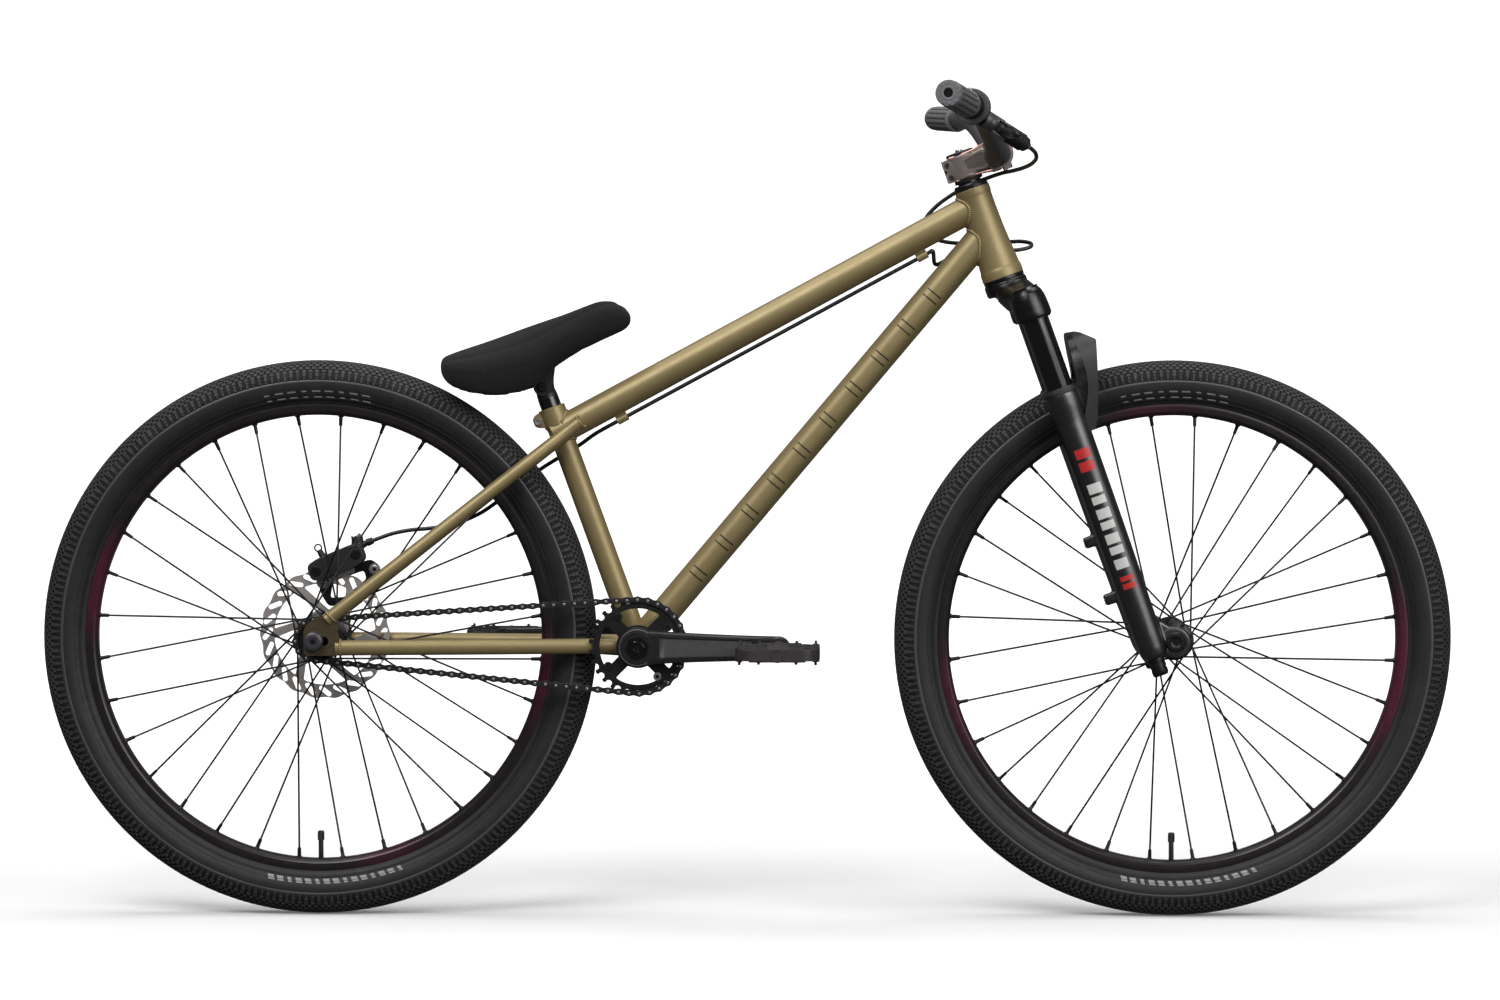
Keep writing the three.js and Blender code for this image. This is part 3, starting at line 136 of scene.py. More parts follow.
class Geo:
    """Collects closed shells of one piece."""

    def __init__(self):
        self.v, self.f, self.m = [], [], []
        self.mat = 0

    def put(self, verts, faces, M=None):
        k = len(self.v)
        if M is not None:
            verts = [tuple(M @ Vector(p)) for p in verts]
        self.v += [tuple(p) for p in verts]
        self.f += [tuple(i + k for i in f) for f in faces]
        self.m += [self.mat] * len(faces)
        return self

    # rings of equal count, joined; ends closed by a fan or left open
    def loft(self, rings, closed=False, caps=True, M=None):
        n = len(rings[0])
        verts = [p for r in rings for p in r]
        faces = []
        m = len(rings)
        for i in range(m if closed else m - 1):
            a, b = i * n, ((i + 1) % m) * n
            for j in range(n):
                j2 = (j + 1) % n
                faces.append((a + j, a + j2, b + j2, b + j))
        if caps and not closed:
            for ring, base, flip in ((rings[0], 0, True), (rings[-1], (m - 1) * n, False)):
                c = len(verts)
                verts.append(tuple(sum(p[k] for p in ring) / n for k in range(3)))
                for j in range(n):
                    j2 = (j + 1) % n
                    faces.append((c, base + j2, base + j) if flip else (c, base + j, base + j2))
        return self.put(verts, faces, M)

    def tube(self, path, r, n=20, M=None, closed=False, caps=True, ref=None, dome=0.0):
        """Sweep: r is a number, a list per point, or a list of (ra, rb); ref keeps ra towards a direction."""
        P = [Vector(p) for p in path]
        m = len(P)
        T = []
        for i in range(m):
            a = P[i - 1] if (i > 0 or closed) else P[i]
            b = P[(i + 1) % m] if (i < m - 1 or closed) else P[i]
            T.append((b - a).normalized())
        rings, A = [], None
        for i in range(m):
            if ref is not None:
                rv = Vector(ref[i]) if isinstance(ref[0], (list, tuple, Vector)) else Vector(ref)
                A = rv - T[i] * rv.dot(T[i])
            elif A is None:
                A = T[i].orthogonal()
            else:
                A = A - T[i] * A.dot(T[i])
            A = A.normalized()
            B = T[i].cross(A)
            ri = r[i] if isinstance(r, (list, tuple)) else r
            ra, rb = ri if isinstance(ri, (list, tuple)) else (ri, ri)
            rings.append([P[i] + A * (ra * cos(2 * pi * j / n)) + B * (rb * sin(2 * pi * j / n)) for j in range(n)])
        if dome and not closed:
            for end, sgn in ((0, -1), (-1, 1)):
                c, t = P[end], T[end] * sgn
                base = rings[end]
                extra = []
                for k in range(1, 5):
                    a = k / 5 * pi / 2
                    extra.append([c + (p - c) * cos(a) + t * (dome * sin(a)) for p in base])
                if end == 0:
                    rings = extra[::-1] + rings
                else:
                    rings = rings + extra
        return self.loft(rings, closed, caps, M)

    def rod(self, p, q, r1, r2=None, n=24, M=None, bev=0.0):
        r2 = r1 if r2 is None else r2
        p, q = Vector(p), Vector(q)
        d = (q - p).normalized()
        L = (q - p).length
        prof = [(r1, 0), (r2, L)]
        if bev:
            b = min(bev, L * 0.4)
            prof = [(r1 - b, 0), (r1 - b * 0.3, b * 0.3), (r1, b), (r2, L - b), (r2 - b * 0.3, L - b * 0.3), (r2 - b, L)]
        A = d.orthogonal()
        B = d.cross(A)
        rings = [[p + d * h + A * (r * cos(2 * pi * j / n)) + B * (r * sin(2 * pi * j / n)) for j in range(n)] for r, h in prof]
        return self.loft(rings, M=M)

    def lathe(self, prof, n=48, M=None, ring=False, a0=0.0):
        """Turned about local Z. prof of (r, h). ring joins the last point to the first."""
        pr = list(prof)
        rings, poles = [], []
        verts, faces = [], []
        idx = []
        for r, h in pr:
            if r < 1e-6:
                idx.append((len(verts),))
                verts.append((0, 0, h))
            else:
                k = len(verts)
                idx.append(tuple(range(k, k + n)))
                verts += [(r * cos(a0 + 2 * pi * j / n), r * sin(a0 + 2 * pi * j / n), h) for j in range(n)]
        m = len(pr)
        for i in range(m if ring else m - 1):
            a, b = idx[i], idx[(i + 1) % m]
            for j in range(n):
                j2 = (j + 1) % n
                if len(a) == 1 and len(b) == 1:
                    continue
                if len(a) == 1:
                    faces.append((a[0], b[j], b[j2]))
                elif len(b) == 1:
                    faces.append((a[j2], a[j], b[0]))
                else:
                    faces.append((a[j], b[j], b[j2], a[j2]))
        if not ring:
            for e, rev in ((0, False), (-1, True)):
                if len(idx[e]) > 1:
                    c = len(verts)
                    verts.append((0, 0, pr[e][1]))
                    for j in range(n):
                        j2 = (j + 1) % n
                        faces.append((c, idx[e][j2], idx[e][j]) if rev else (c, idx[e][j], idx[e][j2]))
        return self.put(verts, faces, M)

    def plate(self, outline, h0, h1, holes=(), M=None):
        """Outline in local x, y with holes, from height h0 to h1."""
        polys = [list(outline)] + [list(h) for h in holes]
        flat = [p for poly in polys for p in poly]
        n = len(flat)
        tris = tessellate_polygon([[Vector((p[0], p[1], 0)) for p in poly] for poly in polys])
        verts = [(p[0], p[1], h1) for p in flat] + [(p[0], p[1], h0) for p in flat]
        faces = []
        for t in tris:
            a, b, c = (flat[i] for i in t)
            area = (b[0] - a[0]) * (c[1] - a[1]) - (b[1] - a[1]) * (c[0] - a[0])
            t = tuple(t) if area > 0 else tuple(reversed(t))
            faces.append(t)
            faces.append(tuple(i + n for i in reversed(t)))
        base = 0
        for k, poly in enumerate(polys):
            m = len(poly)
            area = sum(poly[i][0] * poly[(i + 1) % m][1] - poly[(i + 1) % m][0] * poly[i][1] for i in range(m))
            ccw = area > 0
            for i in range(m):
                a, b = base + i, base + (i + 1) % m
                q = (a + n, b + n, b, a)
                if ccw != (k == 0):
                    q = tuple(reversed(q))
                faces.append(q)
            base += m
        return self.put(verts, faces, M)

    def box(self, lo, hi, M=None):
        x0, y0, z0 = lo
        x1, y1, z1 = hi
        return self.plate([(x0, y0), (x1, y0), (x1, y1), (x0, y1)], z0, z1, M=M)


def XZ(y=0.0):
    """Local x, y, z -> X, Z, -Y: outlines drawn in the side view, height towards -Y."""
    return Matrix(((1, 0, 0, 0), (0, 0, -1, y), (0, 1, 0, 0), (0, 0, 0, 1)))


def YAX(x, z, y=0.0):
    """Local z along +Y, at (x, z)."""
    return Matrix(((0, 1, 0, x), (0, 0, 1, y), (1, 0, 0, z), (0, 0, 0, 1)))


def along(p, q):
    """Local z from p towards q."""
    d = (Vector(q) - Vector(p)).normalized()
    return Matrix.Translation(Vector(p)) @ d.to_track_quat("Z", "Y").to_matrix().to_4x4()


S = Matrix.Translation((293.06, 0, 827.7)) @ Matrix.Rotation(radians(-19.7), 4, "Y")  # steering frame
MADE = {}


def piece(name, geo, body, mats, replaces=(), bevel=0.0, sharp=35, subdiv=0, remesh=0.0, smooth=0, seg=2, cast=None, keep=0):
    """Makes the object, in metres, and ties it to its body."""
    me = bpy.data.meshes.new(name)
    me.from_pydata([tuple(c * 0.001 for c in p) for p in geo.v], [], geo.f)
    me.update()
    ob = bpy.data.objects.new(name, me)
    scene.collection.objects.link(ob)
    bm = bmesh.new()
    bm.from_mesh(me)
    for i, f in enumerate(bm.faces):
        f.material_index = geo.m[i]
    bmesh.ops.remove_doubles(bm, verts=bm.verts, dist=2e-6)
    bmesh.ops.recalc_face_normals(bm, faces=bm.faces)
    bm.to_mesh(me)
    bm.free()
    mats = mats if isinstance(mats, (list, tuple)) else [mats]
    for m in mats:
        me.materials.append(m)
    if remesh:
        mod = ob.modifiers.new("r", "REMESH")
        mod.mode = "VOXEL"
        mod.voxel_size = remesh * 0.001
        mod.adaptivity = 0
        if smooth:
            sm = ob.modifiers.new("s", "SMOOTH")
            sm.factor = 0.5
            sm.iterations = smooth
        if keep:
            dm = ob.modifiers.new("d", "DECIMATE")
            dm.ratio = keep
        dg = bpy.context.evaluated_depsgraph_get()
        new = bpy.data.meshes.new_from_object(ob.evaluated_get(dg))
        ob.modifiers.clear()
        old = ob.data
        ob.data = new
        bpy.data.meshes.remove(old)
        me = new
        if not me.materials:
            for m in mats:
                me.materials.append(m)
    me.shade_smooth()
    if not remesh:
        me.set_sharp_from_angle(angle=radians(sharp))
    if bevel:
        b = ob.modifiers.new("bevel", "BEVEL")
        b.width = bevel * 0.001
        b.segments = seg
        b.limit_method = "ANGLE"
        b.angle_limit = radians(sharp)
        b.use_clamp_overlap = True
        w = ob.modifiers.new("normals", "WEIGHTED_NORMAL")
        w.keep_sharp = True
    if subdiv:
        s = ob.modifiers.new("sub", "SUBSURF")
        s.levels = s.render_levels = subdiv
    if replaces:
        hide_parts(*([replaces] if isinstance(replaces, str) else replaces))
    if body:
        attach(ob, body)
    MADE[name] = ob
    return ob


# ------------------------------------------------------------------ materials
def lin(c):
    return tuple(x / 12.92 if x <= 0.04045 else ((x + 0.055) / 1.055) ** 2.4 for x in (v / 255 for v in c)) + (1.0,)


def shade(c, k):
    return (min(c[0] * k, 1), min(c[1] * k, 1), min(c[2] * k, 1), 1.0)


def material(name, rgb, rough, metal=0.0, vary=0.12, scale=60, rvary=0.07, rscale=None, bump=0.0, bscale=900,
             flake=0.0, fscale=5000, coat=0.0, coat_rough=0.08, spec=0.5, sheen=0.0, sheen_rough=0.4, glint_spots=(), glint_rgb=None,
             weave=0, rings=None, dust=None):
    m = bpy.data.materials.new(name)
    m.use_nodes = True
    nt = m.node_tree
    nt.nodes.clear()
    N, L = nt.nodes.new, nt.links.new
    out = N("ShaderNodeOutputMaterial")
    sh = N("ShaderNodeBsdfPrincipled")
    L(sh.outputs[0], out.inputs[0])
    tc = N("ShaderNodeTexCoord")
    base = lin(rgb)
    # colour: a soft mottling, then metal flakes, then tinted spots of painted highlight
    nz = N("ShaderNodeTexNoise")
    nz.inputs["Scale"].default_value = scale
    nz.inputs["Detail"].default_value = 4
    L(tc.outputs["Object"], nz.inputs["Vector"])
    ramp = N("ShaderNodeValToRGB")
    ramp.color_ramp.elements[0].position = 0.3
    ramp.color_ramp.elements[1].position = 0.7
    ramp.color_ramp.elements[0].color = shade(base, 1 - vary)
    ramp.color_ramp.elements[1].color = shade(base, 1 + vary)
    L(nz.outputs["Fac"], ramp.inputs["Fac"])
    col = ramp.outputs["Color"]

    def mix(a, b, fac, kind="MIX"):
        x = N("ShaderNodeMix")
        x.data_type = "RGBA"
        x.blend_type = kind
        if isinstance(fac, float):
            x.inputs[0].default_value = fac
        else:
            L(fac, x.inputs[0])
        for s, v in ((6, a), (7, b)):
            if isinstance(v, tuple):
                x.inputs[s].default_value = v
            else:
                L(v, x.inputs[s])
        return x.outputs[2]

    if flake:
        fl = N("ShaderNodeTexNoise")
        fl.inputs["Scale"].default_value = fscale
        fl.inputs["Detail"].default_value = 1
        L(tc.outputs["Object"], fl.inputs["Vector"])
        fr = N("ShaderNodeMapRange")
        fr.inputs["From Min"].default_value = 0.52
        fr.inputs["From Max"].default_value = 0.72
        fr.inputs["To Max"].default_value = flake
        L(fl.outputs["Fac"], fr.inputs["Value"])
        col = mix(col, shade(base, 1.9), fr.outputs[0])
    # painted highlights: the colour is pulled towards a lighter tint round given points
    for centre, reach, k in glint_spots:
        d = N("ShaderNodeVectorMath")
        d.operation = "DISTANCE"
        L(tc.outputs["Object"], d.inputs[0])
        d.inputs[1].default_value = centre
        r = N("ShaderNodeMapRange")
        r.interpolation_type = "SMOOTHSTEP"
        r.inputs["From Min"].default_value = reach
        r.inputs["From Max"].default_value = reach * 0.25
        r.inputs["To Max"].default_value = k
        L(d.outputs["Value"], r.inputs["Value"])
        col = mix(col, lin(glint_rgb), r.outputs[0])
    if dust:
        dn = N("ShaderNodeTexNoise")
        dn.inputs["Scale"].default_value = 35
        dn.inputs["Detail"].default_value = 8
        L(tc.outputs["Object"], dn.inputs["Vector"])
        dr = N("ShaderNodeMapRange")
        dr.inputs["From Min"].default_value = 0.5
        dr.inputs["From Max"].default_value = 0.8
        dr.inputs["To Max"].default_value = dust
        L(dn.outputs["Fac"], dr.inputs["Value"])
        col = mix(col, lin((140, 134, 124)), dr.outputs[0])
    height = None
    if weave:
        # two crossed sets of fine threads
        wv = []
        for axis in ("X", "Y"):
            w = N("ShaderNodeTexWave")
            w.bands_direction = axis
            w.inputs["Scale"].default_value = weave
            w.inputs["Distortion"].default_value = 0.6
            w.inputs["Detail"].default_value = 1
            L(tc.outputs["Object"], w.inputs["Vector"])
            wv.append(w.outputs["Fac"])
        mm = N("ShaderNodeMath")
        mm.operation = "MAXIMUM"
        L(wv[0], mm.inputs[0])
        L(wv[1], mm.inputs[1])
        height = mm.outputs[0]
        # the low parts between the threads are darkened: painted shade
        wr = N("ShaderNodeMapRange")
        wr.inputs["To Min"].default_value = 0.35
        wr.inputs["To Max"].default_value = 0.0
        L(height, wr.inputs["Value"])
        col = mix(col, shade(base, 0.45), wr.outputs[0])
    L(col, sh.inputs["Base Color"])
    # roughness
    rn = N("ShaderNodeTexNoise")
    rn.inputs["Scale"].default_value = rscale or scale * 3
    rn.inputs["Detail"].default_value = 5
    L(tc.outputs["Object"], rn.inputs["Vector"])
    rr = N("ShaderNodeMapRange")
    rr.inputs["From Min"].default_value = 0.3
    rr.inputs["From Max"].default_value = 0.7
    rr.inputs["To Min"].default_value = max(rough - rvary, 0.02)
    rr.inputs["To Max"].default_value = min(rough + rvary, 1.0)
    L(rn.outputs["Fac"], rr.inputs["Value"])
    L(rr.outputs[0], sh.inputs["Roughness"])
    if rings:
        # turned or rolled marks: fine rings about a line along Y
        mp = N("ShaderNodeMapping")
        mp.inputs["Location"].default_value = (-rings[0], 0, -rings[1])
        L(tc.outputs["Object"], mp.inputs["Vector"])
        w = N("ShaderNodeTexWave")
        w.wave_type = "RINGS"
        w.rings_direction = "Y"
        w.inputs["Scale"].default_value = rings[2]
        w.inputs["Distortion"].default_value = 2.5
        w.inputs["Detail"].default_value = 3
        L(mp.outputs[0], w.inputs["Vector"])
        height = w.outputs["Fac"]
    if bump:
        if height is None:
            bn = N("ShaderNodeTexNoise")
            bn.inputs["Scale"].default_value = bscale
            bn.inputs["Detail"].default_value = 3
            L(tc.outputs["Object"], bn.inputs["Vector"])
            height = bn.outputs["Fac"]
        bp = N("ShaderNodeBump")
        bp.inputs["Strength"].default_value = bump
        bp.inputs["Distance"].default_value = 0.0004
        L(height, bp.inputs["Height"])
        L(bp.outputs[0], sh.inputs["Normal"])
    sh.inputs["Metallic"].default_value = metal
    sh.inputs["Specular IOR Level"].default_value = spec
    sh.inputs["Coat Weight"].default_value = coat
    sh.inputs["Coat Roughness"].default_value = coat_rough
    sh.inputs["Sheen Weight"].default_value = sheen
    sh.inputs["Sheen Roughness"].default_value = sheen_rough
    return m


REAR_X, FRONT_X, AXLE_Z = -517.5, 517.5, 337.0
PAINT = material("bronze_paint", (146, 130, 90), 0.44, 0.4, vary=0.05, scale=25, rvary=0.04, flake=0.3, fscale=2600, bump=0.04, bscale=1500, spec=0.5, coat=0.12, coat_rough=0.3)
# darker copy of the frame paint for the dropouts: painted shade
PAINT_SHADED = material("bronze_paint_painted_shade", (80, 70, 47), 0.46, 0.45, vary=0.08, scale=40, rvary=0.05, flake=0.25, fscale=2600, bump=0.05, bscale=1500)
WELD = material("bronze_paint_weld", (152, 136, 98), 0.4, 0.45, vary=0.12, scale=400, rvary=0.06, bump=0.15, bscale=1800)
# satin black for small parts, and for the fork arch's face where the lighter black is painted light
SATIN_AND_ARCH_LIGHT = material("satin_black_and_arch_light", (44, 43, 44), 0.42, 0.1, vary=0.1, scale=60, rvary=0.05, bump=0.05, bscale=1600, spec=0.45)
LOWERS = material("leg_black", (11, 11, 12), 0.34, 0.05, vary=0.1, scale=60, rvary=0.05, bump=0.05, bscale=1600, spec=0.9, coat=0.6, coat_rough=0.3)
ANODISED = material("anodised_black", (30, 29, 31), 0.34, 0.4, vary=0.1, scale=90, rvary=0.05, bump=0.04, bscale=2200)
# black for small dark parts, and for the fill of the stem's slot and sockets and the lever's holes: painted shade there
ETCHED_AND_HOLE_SHADE = material("etched_black_and_hole_shade", (26, 26, 27), 0.62, 0.2, vary=0.15, scale=140, rvary=0.06, bump=0.12, bscale=1800, spec=0.4)
# lighter grey for the crank's panel, and for the boss bevel where it stands as a painted highlight
PANEL_AND_BOSS_HIGHLIGHT = material("pressed_panel_and_painted_highlight", (80, 78, 80), 0.5, 0.25, vary=0.1, scale=140, rvary=0.06, bump=0.12, bscale=1800, spec=0.45)
GLOSS = material("gloss_black", (8, 8, 9), 0.16, 0.0, vary=0.1, scale=40, rvary=0.03, coat=0.35, coat_rough=0.05)
CRANK_BLACK = material("crank_black", (42, 41, 43), 0.3, 0.35, vary=0.1, scale=60, rvary=0.05, bump=0.04, bscale=1600, spec=0.5, coat=0.15, coat_rough=0.15)
CROWN = material("crown_black", (12, 12, 13), 0.27, 0.0, vary=0.1, scale=50, rvary=0.05, bump=0.04, bscale=1600, spec=0.5)
STEM = material("stem_grey", (140, 129, 123), 0.38, 0.35, vary=0.07, scale=70, rvary=0.05, flake=0.15, fscale=3000, bump=0.05, bscale=1800)
# darker copy of the stem grey for the floor of the side pockets: painted shade
STEM_POCKET_SHADE = material("stem_pocket_painted_shade", (108, 99, 94), 0.5, 0.3, vary=0.08, scale=120, rvary=0.05, bump=0.1, bscale=1800)
# grey for nuts and bolt caps, and for the fork's outer boss rings as a painted highlight
NUT_AND_RING_HIGHLIGHT = material("nut_grey_and_ring_highlight", (74, 72, 77), 0.36, 0.4, vary=0.08, scale=200, rvary=0.06, bump=0.05, bscale=2200)
PEDAL = material("pedal_brown_black", (62, 57, 58), 0.46, 0.2, vary=0.1, scale=90, rvary=0.05, bump=0.08, bscale=1800)
# pinkish light strips on the stem's edges: painted highlight
EDGE_HIGHLIGHT = material("stem_edge_painted_highlight", (208, 160, 148), 0.36, 0.5, vary=0.06, scale=200, rvary=0.05, bump=0.05, bscale=2000)
STEEL = material("brushed_steel", (168, 165, 160), 0.36, 0.75, vary=0.08, scale=300, rvary=0.08, bump=0.08, bscale=2500)
BRIGHT = material("bright_bolt", (196, 194, 190), 0.28, 0.8, vary=0.06, scale=300, rvary=0.06)
ROTOR = material("rotor_steel", (180, 174, 170), 0.42, 0.5, vary=0.08, scale=200, rvary=0.06, bump=0.25, rings=(REAR_X / 1000, AXLE_Z / 1000, 260))
CHAIN = material("chain_plate", (52, 50, 50), 0.36, 0.5, vary=0.15, scale=500, rvary=0.08, bump=0.05)
PIN = material("chain_pin", (176, 174, 170), 0.32, 0.8, vary=0.08, scale=800, rvary=0.06)
COG = material("sprocket_black", (33, 32, 33), 0.4, 0.4, vary=0.15, scale=200, rvary=0.07, bump=0.05)
SIDEWALL = material("sidewall_rubber", (34, 34, 35), 0.52, 0.0, vary=0.08, scale=45, rvary=0.06, bump=0.25, bscale=1400, spec=0.35, dust=0.03)
# lighter grey rubber for the band below the tread: painted sheen
PAINTED_SHEEN = material("sidewall_painted_sheen", (66, 66, 71), 0.42, 0.0, vary=0.16, scale=9, rvary=0.06, bump=0.15, bscale=1400, spec=0.6)
# darker rubber for the floor between the tread blocks: painted shade
TREAD_GAP_SHADE = material("tread_rubber_painted_shade", (24, 24, 25), 0.75, 0.0, vary=0.14, scale=120, rvary=0.08, bump=0.35, bscale=1600, spec=0.25, dust=0.05)
KNOB = material("knob_rubber", (50, 50, 50), 0.62, 0.0, vary=0.2, scale=260, rvary=0.08, bump=0.3, bscale=1800, spec=0.4, dust=0.08)
GRIP = material("grip_rubber", (114, 113, 115), 0.74, 0.0, vary=0.1, scale=150, rvary=0.06, bump=0.3, bscale=1500, spec=0.3)
HOSE = material("hose_black", (24, 24, 26), 0.36, 0.0, vary=0.1, scale=200, rvary=0.06, bump=0.06, bscale=2500, spec=0.5)
PLASTIC = material("moulded_plastic", (28, 28, 29), 0.5, 0.0, vary=0.1, scale=120, rvary=0.06, bump=0.25, bscale=2000, spec=0.4)
FABRIC = material("saddle_fabric", (31, 31, 32), 0.84, 0.0, vary=0.12, scale=300, rvary=0.05, bump=0.5, weave=420, spec=0.15, sheen=0.05, sheen_rough=0.5)
PIPING = material("saddle_piping", (36, 36, 37), 0.65, 0.0, vary=0.12, scale=900, rvary=0.06, bump=0.3, bscale=2500, spec=0.3)
PAD = material("pad_compound", (92, 78, 66), 0.85, 0.25, vary=0.3, scale=900, rvary=0.06, bump=0.5, bscale=1500)
SPOKE = material("spoke_black", (26, 26, 27), 0.42, 0.2, vary=0.12, scale=150, rvary=0.06, spec=0.4)
MARK_GREY = material("plain_mark_grey", (150, 150, 150), 0.6, 0.0, vary=0.08, scale=300, rvary=0.05, bump=0.1, bscale=1800)
MARK_DARK = material("plain_mark_dark", (40, 35, 28), 0.45, 0.2, vary=0.08, scale=300, rvary=0.05)
MARK_RED = material("plain_mark_red", (196, 44, 42), 0.4, 0.0, vary=0.06, scale=200, rvary=0.05)
MARK_WHITE = material("plain_mark_white", (214, 213, 210), 0.42, 0.0, vary=0.04, scale=200, rvary=0.05)
# near-black fill for sockets, slits and holes: painted shade
SOCKET_SHADE = material("socket_painted_shade", (10, 10, 10), 0.7, 0.1, vary=0.2, scale=300, spec=0.2)
BAR = material("bar_black", (76, 73, 75), 0.38, 0.2, vary=0.08, scale=90, rvary=0.05, bump=0.04, bscale=2000)


# rim paint with maroon spots of painted highlight at the arcs where the light catches the rim
def rim_paint_with_glints(name, glint_spots):
    return material(name, (37, 31, 33), 0.34, 0.3, vary=0.12, scale=30, rvary=0.05, coat=0.2, coat_rough=0.12, glint_spots=glint_spots, glint_rgb=(92, 30, 52))


def at(cx, r, deg, y=0.0):
    return ((cx + r * cos(radians(deg))) / 1000, y, (AXLE_Z + r * sin(radians(deg))) / 1000)


RIM_FRONT = rim_paint_with_glints("rim_front", [(at(FRONT_X, 276, -8), 0.13, 0.85), (at(FRONT_X, 276, 196), 0.09, 0.5), (at(FRONT_X, 276, 96), 0.07, 0.35)])
RIM_REAR = rim_paint_with_glints("rim_rear", [(at(REAR_X, 276, 166), 0.09, 0.8), (at(REAR_X, 276, -10), 0.08, 0.7), (at(REAR_X, 276, -72), 0.06, 0.35)])


# ------------------------------------------------------------------ wheels
def wheel(cx, body, side, rim_mat, flange, hole_r, marks):
    C = YAX(cx, AXLE_Z)  # local z along +Y; local x -> Z, local y -> X ... see YAX
    # casing and beads
    g = Geo()
    cr, R = 309.0, 26.2
    prof = [(284.9, 11.6), (284.3, 12.8), (284.5, 13.9), (285.7, 14.4)]
    for i in range(29):
        a = radians(-56 + 292 * i / 28)
        prof.append((cr + R * sin(a), R * cos(a)))
    prof += [(285.7, -14.4), (284.5, -13.9), (284.3, -12.8), (284.9, -11.6)]
    for i in range(9):
        a = radians(232 - 284 * i / 8)
        prof.append((cr + 22.5 * sin(a), 22.5 * cos(a)))
    g.lathe(prof, 180, M=C, ring=True)
    piece(side + "_casing", g, body, SIDEWALL, side + "_tyre", sharp=60)
    # tread band under the blocks, darker than the blocks: painted shade between them
    g = Geo()
    prof = []
    for i in range(29):
        a = radians(8 + 164 * i / 28)
        k = 26.75 if 0 < i < 28 else 26.0
        prof.append((cr + k * sin(a), k * cos(a)))
    for i in range(15):
        a = radians(172 - 164 * i / 14)
        prof.append((cr + 25.2 * sin(a), 25.2 * cos(a)))
    g.lathe(prof, 180, M=C, ring=True)
    piece(side + "_tread_band", g, body, TREAD_GAP_SHADE, None, sharp=60)

    def blocks(phi, width, length, lift, off, n, slant=0.0, low=26.2):
        """A row of n blocks at section angle phi from the crown: width across, length round the tyre."""
        half = width / 27 / 2
        lay = []
        for rad, sc in ((low, 1.14), (26.75 + lift * 0.75, 1.0), (26.75 + lift, 0.82)):
            for su_, sv in ((-1, -1), (1, -1), (1, 1), (-1, 1)):
                a = radians(90 - phi) + su_ * half * sc
                lay.append((cr + rad * sin(a), rad * cos(a), sv * length * sc / 2 / 330 + slant * su_))
        t0 = 2 * pi * (np.arange(n) + off) / n
        rr = np.array([q[0] for q in lay])[None, :]
        yy = np.array([q[1] for q in lay])[None, :] + 0 * t0[:, None]
        tt = t0[:, None] + np.array([q[2] for q in lay])[None, :]
        X = cx + rr * np.sin(tt)
        Z = AXLE_Z + rr * np.cos(tt)
        k = len(g.v)
        g.v += list(zip(X.ravel().tolist(), yy.ravel().tolist(), Z.ravel().tolist()))
        f = [(q + j, q + (j + 1) % 4, q + 4 + (j + 1) % 4, q + 4 + j) for q in (0, 4) for j in range(4)] + [(8, 9, 10, 11), (3, 2, 1, 0)]
        for i in range(n):
            b = k + 12 * i
            g.f += [tuple(b + w for w in q) for q in f]
        g.m += [g.mat] * (n * len(f))

    g = Geo()
    count = 128
    for j, phi in enumerate((0, 9.5, 19, 28.5, 38, 47.5, 57)):
        for s in ((1,) if phi == 0 else (-1, 1)):
            blocks(s * phi, 3.7, 5.0, 1.25, 0.5 if j % 2 else 0.0, 2 * count)
    # shoulder: long radial blocks, deep and shallow by turns, and a row of small ones outside them
    for s in (-1, 1):
        blocks(s * 66.5, 5.6, 3.9, 1.25, 0.0, count)
        blocks(s * 65.0, 3.4, 3.0, 0.7, 0.5, count)
        blocks(s * 74.5, 4.6, 2.6, 0.85, 0.5, count, low=26.0)
        blocks(s * 76.0, 3.2, 2.3, 0.45, 0.0, count, low=26.0)
    piece(side + "_tread_blocks", g, body, KNOB, None, sharp=25)
    # raised band below the blocks, smoother than the sidewall for a real sheen and lighter grey as a painted sheen; two
    # fine rings and a bead line on each sidewall
    g = Geo()
    for s in (-1, 1):
        g.mat = 1
        band = []
        for i in range(9):
            a = radians(90 - s * (80.5 + 7.5 * i / 8))
            k = 26.2 + 0.34 * sin(pi * i / 8)
            band.append((cr + k * sin(a), k * cos(a)))
        for i in range(9):
            a = radians(90 - s * (88 - 7.5 * i / 8))
            band.append((cr + 25.8 * sin(a), 25.8 * cos(a)))
        g.lathe(band, 180, M=C, ring=True)
        g.mat = 0
        for phi, r in ((118, 0.3), (132, 0.5), (136, 0.35)):
            a = radians(90 - s * phi)
            rr, y = cr + 26.3 * sin(a), 26.3 * cos(a)
            g.lathe([(rr + r * cos(q * pi / 3), y + r * sin(q * pi / 3)) for q in range(6)], 180, M=C, ring=True)
    piece(side + "_sidewall_lines", g, body, [SIDEWALL, PAINTED_SHEEN], None, sharp=80)
